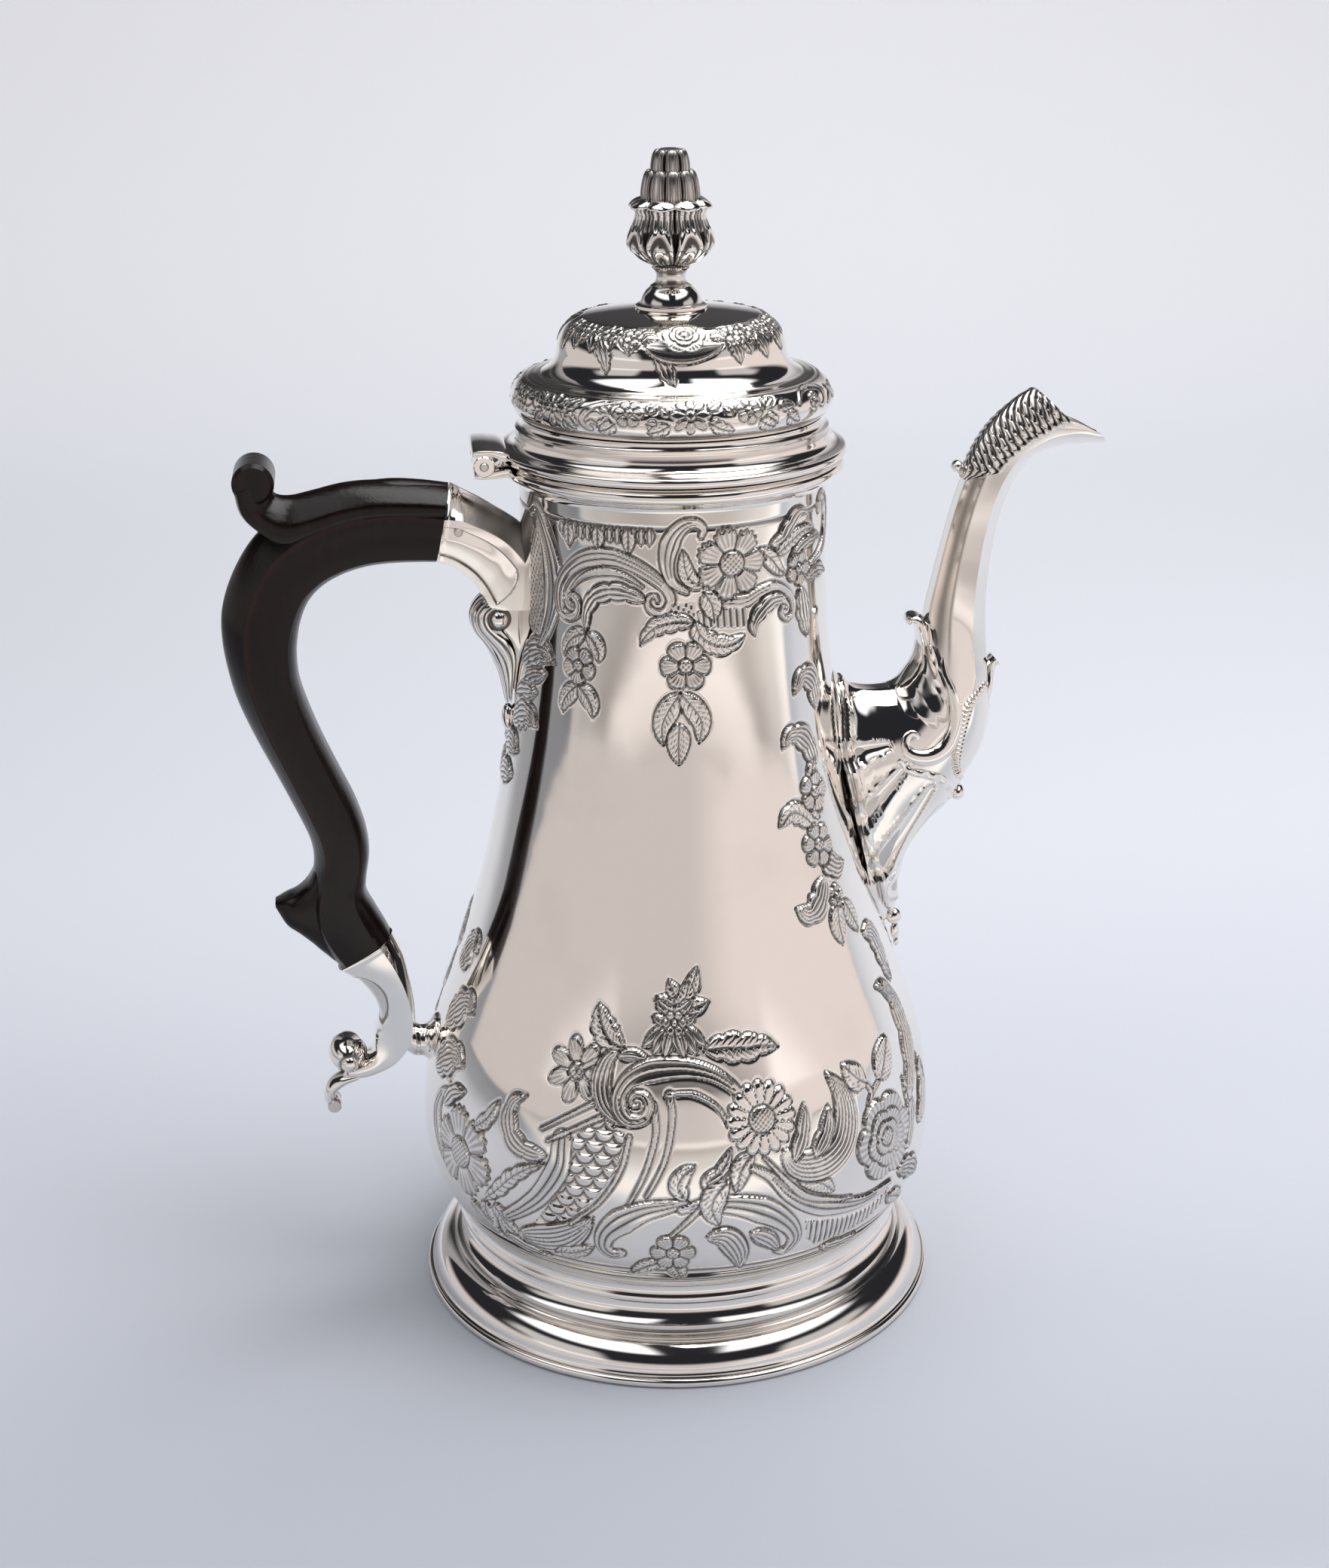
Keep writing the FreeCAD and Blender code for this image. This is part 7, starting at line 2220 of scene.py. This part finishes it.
@dataclass(frozen=True)
class SurfaceFinish:
    """What every finish has in common: a slot, and a material round a shared group."""

    slot: Finish

    def dressed(self, group: bpy.types.NodeTree, layers: Sequence[str], feeds: dict[str, Feed],
                bump: tuple[float, float], **fixed: float) -> bpy.types.Material:
        """Builds the material.

        Args:
            group: the shared effect, which puts out Color, Roughness and Height.
            layers: inputs of the group that read the attribute of the same name.
            feeds: the group's other inputs.
            bump: strength of the bump and the height it stands for, in metres.
            fixed: inputs of the Principled node with a fixed value, with _ for each space.

        Returns:
            The new material.
        """
        made = bpy.data.materials.new(self.slot.value)
        made.use_nodes = True
        graph = Graph(made.node_tree)
        shader = made.node_tree.nodes["Principled BSDF"]
        read = {name: graph.add("Attribute", attribute_name=name.lower()).outputs["Fac"]
                for name in layers}
        place = graph.add("TexCoord").outputs["Object"]
        effect = graph.add("Group", {"Place": place, **read, **feeds}, node_tree=group).outputs
        relief = graph.add("Bump", {"Height": effect["Height"], "Strength": bump[0],
                                    "Distance": bump[1]}).outputs["Normal"]
        graph.feed(shader, {"Base Color": effect["Color"], "Roughness": effect["Roughness"],
                            "Normal": relief})
        graph.feed(shader, {name.replace("_", " "): value for name, value in fixed.items()})
        return made


@dataclass(frozen=True)
class SilverFinish(SurfaceFinish):
    """Polished silver that is darker and duller where the patina is."""

    metal: Colour
    oxide: Colour = (0.034, 0.028, 0.024)
    polish: float = 0.07
    dull: float = 0.5
    ripple: tuple[float, float] = (0.025, 0.001)

    def material(self, groups: dict[str, bpy.types.NodeTree]) -> bpy.types.Material:
        """Builds the material round the shared group for oxide.

        Args:
            groups: the shared groups, by name.

        Returns:
            The new material.
        """
        feeds = {"Metal": (*self.metal, 1), "Oxide": (*self.oxide, 1), "Polish": self.polish,
                 "Dull": self.dull}
        return self.dressed(groups["oxide"], ("Patina", "Chased"), feeds, self.ripple, Metallic=1.0)


@dataclass(frozen=True)
class WoodFinish(SurfaceFinish):
    """Dark stained wood with a satin polish, browner where hands have worn it."""

    dark: Colour = (0.002, 0.0017, 0.0022)
    brown: Colour = (0.046, 0.0145, 0.0075)
    pores: tuple[float, float] = (0.12, 0.0006)
    shine: float = 0.3

    def material(self, groups: dict[str, bpy.types.NodeTree]) -> bpy.types.Material:
        """Builds the material round the shared group for grain.

        Args:
            groups: the shared groups, by name.

        Returns:
            The new material.
        """
        feeds = {"Dark": (*self.dark, 1), "Brown": (*self.brown, 1)}
        return self.dressed(groups["grain"], ("Patina",), feeds, self.pores,
                            Specular_IOR_Level=self.shine)


class NodeGroups:
    """The effects that materials share, each as a node group with named sockets.

    Noises are (scale, detail).
    """

    TARNISH: ClassVar[Point] = (55.0, 3.0)
    GRIT: ClassVar[Point] = (1500.0, 2.0)
    RIPPLE: ClassVar[Point] = (95.0, 1.0)
    STREAK: ClassVar[Point] = (900.0, 4.0)
    WEAR: ClassVar[Point] = (60.0, 3.0)

    @staticmethod
    def start(name: str, numbers: Sequence[str], colours: Sequence[str]) -> Graph:
        """An empty group that takes Place, numbers and colours.

        Args:
            name: the group's name.
            numbers: names of its inputs that are numbers.
            colours: names of its inputs that are colours.

        Returns:
            The group, which gives Color, Roughness and Height.
        """
        tree = bpy.data.node_groups.new(name, "ShaderNodeTree")
        takes = {"Place": "Vector", **dict.fromkeys(numbers, "Float"),
                 **dict.fromkeys(colours, "Color")}
        gives = {"Color": "Color", "Roughness": "Float", "Height": "Float"}
        for way, sockets in (("INPUT", takes), ("OUTPUT", gives)):
            for socket, kind in sockets.items():
                tree.interface.new_socket(socket, in_out=way, socket_type="NodeSocket" + kind)
        tree.nodes.new("NodeGroupInput")
        tree.nodes.new("NodeGroupOutput")
        return Graph(tree)

    def oxide(self) -> bpy.types.NodeTree:
        """Silver to oxide by the patina, clouded a little, with the sheet's faint ripple.

        Returns:
            The new group.
        """
        group = self.start("Oxide in the recesses", ("Patina", "Chased", "Polish", "Dull"),
                           ("Metal", "Oxide"))
        taken = group.tree.nodes["Group Input"].outputs
        cloud = group.maths("MULTIPLY_ADD", group.noise(taken["Place"], *self.TARNISH), 0.22, -0.11)
        grit = group.maths("MULTIPLY", group.noise(taken["Place"], *self.GRIT), taken["Chased"])
        shade = group.maths("MULTIPLY_ADD", grit, 0.16, cloud)
        amount = group.maths("ADD", taken["Patina"], shade, clamp=True)
        ripple = group.noise(taken["Place"], *self.RIPPLE)
        group.feed(group.tree.nodes["Group Output"], {
            "Color": group.mixed(amount, taken["Metal"], taken["Oxide"]),
            "Roughness": group.mixed(amount, taken["Polish"], taken["Dull"], "FLOAT"),
            "Height": group.maths("MULTIPLY_ADD", grit, 0.12, ripple)})
        return group.tree

    def grain(self) -> bpy.types.NodeTree:
        """Streaks along the wood, and brown where it is worn.

        Returns:
            The new group.
        """
        group = self.start("Wood grain and wear", ("Patina",), ("Dark", "Brown"))
        taken = group.tree.nodes["Group Input"].outputs
        drawn = group.add("Mapping", {"Vector": taken["Place"], "Scale": (1.0, 1.6, 0.16)})
        streak = group.noise(drawn.outputs["Vector"], *self.STREAK)
        cloud = group.noise(taken["Place"], *self.WEAR)
        lit = group.maths("MULTIPLY_ADD", streak, 0.5, -0.12)
        worn = group.maths("MULTIPLY", taken["Patina"], cloud)
        amount = group.maths("ADD", lit, worn, clamp=True)
        group.feed(group.tree.nodes["Group Output"], {
            "Color": group.mixed(amount, taken["Dark"], taken["Brown"]),
            "Roughness": group.maths("MULTIPLY_ADD", cloud, 0.16, 0.16), "Height": streak})
        return group.tree


@dataclass
class Studio:
    """A pale sweep, soft light from above, a painted glow behind, and the camera at the
    photograph's place.

    Lengths are in metres. Stops are (place along Y, colour). The patches of the room are
    (colour, edges), and an edge is (axis, where the patch starts, where it is full) on the
    direction's x, y, z or size of x. A span is (from, to, first value, last value).
    """

    eye: tuple[float, float, float] = (-0.0666, -0.5424, 0.3220)
    heading: float = 7.0
    pitch: float = 19.94
    roll: float = -0.36
    lens: float = 57.18
    shift: float = -0.0061
    front: float = -2.4
    bend_at: float = 0.9
    bend: float = 0.6
    high: float = 1.9
    half_width: float = 1.25
    shown_from: float = -0.14
    # In front of the pot, where only reflections see it, the paper is painted brighter towards -0.2
    # m: painted light.
    paper_colours: Stops = (
        (-2.4, (0.50, 0.46, 0.44)), (-0.8, (0.52, 0.48, 0.46)), (-0.4, (0.64, 0.61, 0.59)),
        (-0.2, (0.80, 0.79, 0.78)), (-0.14, (0.52, 0.55, 0.61)), (0.05, (0.65, 0.675, 0.735)),
        (0.3, (0.725, 0.745, 0.795)), (0.8, (0.715, 0.73, 0.77)), (1.3, (0.79, 0.795, 0.82)))
    # Painted light: the glow of the paper in front of the pot and on the backdrop.
    paper_glow: Stops = (
        (-2.4, (0.34, 0.31, 0.30)), (-1.05, (0.63, 0.59, 0.58)), (-0.75, (0.06, 0.055, 0.05)),
        (-0.4, (0.10, 0.095, 0.09)), (-0.2, (0.22, 0.205, 0.19)), (-0.13, (0.0, 0.0, 0.0)),
        (0.3, (0.0, 0.0, 0.0)), (1.4, (0.14, 0.142, 0.15)))
    patches: tuple[tuple[Colour, tuple[tuple[str, float, float], ...]], ...] = (
        ((0.02, 0.021, 0.026), (("z", -2.0, -1.5),)),
        ((0.60, 0.555, 0.545), (("z", 0.3, 0.14),)),
        ((0.20, 0.17, 0.16), (("z", 0.3, 0.14), ("x", 0.0, 0.5))),
        ((1.25, 1.27, 1.32), (("z", 0.68, 0.78), ("y", 0.36, 0.2), ("wide", 0.14, 0.24))),
        ((0.55, 0.54, 0.54), (("wide", 0.55, 0.66), ("wide", 0.97, 0.9), ("z", 0.1, 0.22),
                              ("z", 0.62, 0.5), ("y", 0.1, -0.1))))
    pale: Colour = (0.80, 0.82, 0.86)
    lit_across: Span = (-0.35, 0.35, 1.0, 1.05)
    shadow_slant: float = 0.125
    shadow_across: Span = (-0.5, -0.24, 1.0, 0.0)
    shadow_along: Span = (-0.5, 0.0, 0.0, 0.42)
    # Spans over which the paper high up turns dark in reflections only: a painted dark reflection.
    reflection_dark_up: Span = (0.26, 0.5, 0.0, 0.95)
    reflection_dark_out: Span = (0.4, 1.0, 1.0, 0.0)

    def camera(self) -> None:
        """Sets the camera up from its place and its three angles."""
        head, down = math.radians(self.heading), math.radians(self.pitch)
        ahead = Vector((math.sin(head) * math.cos(down), math.cos(head) * math.cos(down),
                        -math.sin(down)))
        right = Vector((math.cos(head), -math.sin(head), 0))
        roll = Matrix.Rotation(math.radians(self.roll), 3, "Z")
        turned = Matrix((right, right.cross(ahead), -ahead)).transposed() @ roll
        data = bpy.data.cameras.new("photo_camera")
        data.sensor_fit = "VERTICAL"
        data.sensor_height = 36.0
        data.lens = self.lens
        data.shift_x = self.shift
        data.clip_start = 0.01
        made = bpy.data.objects.new("photo_camera", data)
        made.matrix_world = Matrix.Translation(self.eye) @ turned.to_4x4()
        bpy.context.scene.collection.objects.link(made)
        bpy.context.scene.camera = made

    def sweep(self) -> None:
        """A floor that curves up into a backdrop: level, a quarter circle, then upright."""
        level = np.stack([np.linspace(self.front, self.bend_at, 24), np.zeros(24)], axis=1)
        turn = np.radians(np.linspace(0, 90, 17)[1:])
        bend = np.stack([self.bend_at + self.bend * np.sin(turn),
                         self.bend - self.bend * np.cos(turn)], axis=1)
        line = np.vstack([level, bend, [[self.bend_at + self.bend, self.high]]])
        x = np.linspace(-self.half_width, self.half_width, 12)[None]
        points = np.stack([x + 0 * line[:, :1], line[:, :1] + 0 * x, line[:, 1:] + 0 * x], axis=-1)
        mesh = bpy.data.meshes.new("sweep")
        mesh.from_pydata(points.reshape(-1, 3).tolist(), [], grid_faces(len(line), 12).tolist())
        mesh.shade_smooth()
        mesh.materials.append(self.paper())
        made = bpy.data.objects.new("sweep", mesh)
        bpy.context.scene.collection.objects.link(made)

    def paper(self) -> bpy.types.Material:
        """Pale paper: cool round the pot and warmer towards the camera, with painted light and
        shade.

        The floor in front of the pot and the backdrop glow as painted light, a band just in front
        of the pot is painted brighter where only reflections see it, the far left is darkened as a
        painted shadow, and high up the paper is darkened in reflections only as a painted dark
        reflection.

        Returns:
            The new material.
        """
        made = bpy.data.materials.new("pale_paper")
        made.use_nodes = True
        graph = Graph(made.node_tree)
        shader = made.node_tree.nodes["Principled BSDF"]
        graph.feed(shader, {"Roughness": 0.9, "Specular IOR Level": 0.0, "Emission Strength": 1.0})
        split = graph.add("SeparateXYZ", {0: graph.add("TexCoord").outputs["Object"]}).outputs
        x, y, z = (split[axis] for axis in "XYZ")
        ray = graph.add("LightPath").outputs
        back = self.bend_at + self.bend
        # The camera sees the paper no nearer than shown_from, so the painted bright band and glow
        # in front show only in reflections.
        nearest = graph.maths("MULTIPLY_ADD", ray["Is Camera Ray"], 10.0, self.shown_from - 10.0)
        share = graph.ranged(graph.maths("MAXIMUM", y, nearest), self.front, back, kind="LINEAR")
        slant = graph.maths("MULTIPLY_ADD", y, self.shadow_slant, x)
        shadow = graph.maths("MULTIPLY", graph.ranged(slant, *self.shadow_across),
                             graph.ranged(y, *self.shadow_along))
        lit = graph.maths("SUBTRACT", graph.ranged(x, *self.lit_across), shadow)
        # In reflections only, the paper high up in the middle is darkened: a painted dark
        # reflection.
        above = graph.ranged(z, *self.reflection_dark_up, "LINEAR")
        amid = graph.ranged(graph.maths("ABSOLUTE", x), *self.reflection_dark_out, "LINEAR")
        dark_in_reflections = graph.maths("MULTIPLY", ray["Is Glossy Ray"], graph.maths("MULTIPLY", above, amid))
        shown = graph.maths("SUBTRACT", lit, dark_in_reflections)
        for stops, socket in ((self.paper_colours, "Base Color"),
                              (self.paper_glow, "Emission Color")):
            node = graph.add("ValToRGB", {"Fac": share})
            ramp = node.color_ramp
            ramp.interpolation = "EASE"
            while len(ramp.elements) < len(stops):
                ramp.elements.new(0.5)
            for element, (at, colour) in zip(ramp.elements, stops):
                element.position = (at - self.front) / (back - self.front)
                element.color = (*colour, 1)
            faded = graph.mixed(1.0, node.outputs["Color"], shown, blend="MULTIPLY")
            graph.feed(shader, {socket: faded})
        return made

    def room(self) -> None:
        """A dim room: a bright horizon, a bright ceiling in front, a tall panel on each side."""
        world = bpy.data.worlds.new("studio")
        bpy.context.scene.world = world
        world.use_nodes = True
        graph = Graph(world.node_tree)
        split = graph.add("SeparateXYZ", {0: graph.add("TexCoord").outputs["Generated"]}).outputs
        axes = {"x": split["X"], "y": split["Y"], "z": split["Z"],
                "wide": graph.maths("ABSOLUTE", split["X"])}
        whole: Feed = (0.0, 0.0, 0.0)
        for colour, edges in self.patches:
            amount: Feed = 1.0
            for axis, low, high in edges:
                edge = graph.ranged(axes[axis], min(low, high), max(low, high), float(low > high),
                                    float(low < high))
                amount = graph.maths("MULTIPLY", amount, edge)
            tint = graph.add("VectorMath", {0: colour, "Scale": amount}, operation="SCALE")
            whole = graph.add("VectorMath", {0: whole, 1: tint.outputs[0]}).outputs[0]
        seen = graph.add("LightPath").outputs["Is Camera Ray"]
        graph.feed(world.node_tree.nodes["Background"],
                   {"Color": graph.mixed(seen, whole, (*self.pale, 1))})

    def lamps(self) -> None:
        """Soft boxes: a wide one overhead, and one on the right that is not mirrored."""
        for name, place, aim, size, power, glossy in (
                ("overhead", (0.25, 0.1, 1.25), (0, 0, 0.1), 0.9, 10.0, True),
                ("right", (1.0, -0.45, 0.75), (0, 0, 0.12), 0.5, 2.4, False)):
            data = bpy.data.lights.new(name, "AREA")
            data.shape = "SQUARE"
            data.size = size
            data.energy = power
            made = bpy.data.objects.new(name, data)
            made.location = place
            made.visible_glossy = glossy
            made.rotation_euler = (Vector(aim) - Vector(place)).to_track_quat("-Z", "Y").to_euler()
            bpy.context.scene.collection.objects.link(made)

    def build(self) -> None:
        """Sets up everything round the pot."""
        bpy.context.scene.view_settings.view_transform = "Standard"
        self.camera()
        self.sweep()
        self.room()
        self.lamps()


def finishes() -> dict[Finish, bpy.types.Material]:
    """One material for each slot of the record.

    Returns:
        The materials by slot.
    """
    groups = {"oxide": NodeGroups().oxide(), "grain": NodeGroups().grain()}
    made = [SilverFinish(Finish.SILVER, (0.94, 0.895, 0.84)),
            SilverFinish(Finish.CAST, (0.93, 0.89, 0.84), polish=0.06),
            SilverFinish(Finish.PIN, (0.70, 0.67, 0.62), polish=0.3),
            SilverFinish(Finish.INNER, (0.66, 0.64, 0.60), polish=0.35),
            WoodFinish(Finish.WOOD)]
    return {finish.slot: finish.material(groups) for finish in made}


def main() -> None:
    """Builds the pot piece by piece, dresses what is left of the solids, and sets the stage."""
    logging.basicConfig(level=logging.INFO, format="%(name)s: %(message)s")
    shop = Workshop(finishes())
    assemblies = [BodyShell(), *foot_turnings(), rim_turning(), LidDome(), *lid_turnings(),
                  Finial(), Hinge(), Grip(), UpperSocket(), LowerSocket(), Spout()]
    for assembly in assemblies:
        start = len(shop.made)
        assembly.build(shop)
        log.info("%s made %s", type(assembly).__name__, ", ".join(shop.made[start:]))
    for name in ("finial_stud", "finial_nut"):
        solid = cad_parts[name]
        solid.data.materials.clear()
        solid.data.materials.append(shop.materials[Finish.INNER])
    Studio().build()


if __name__ == "__main__":
    main()
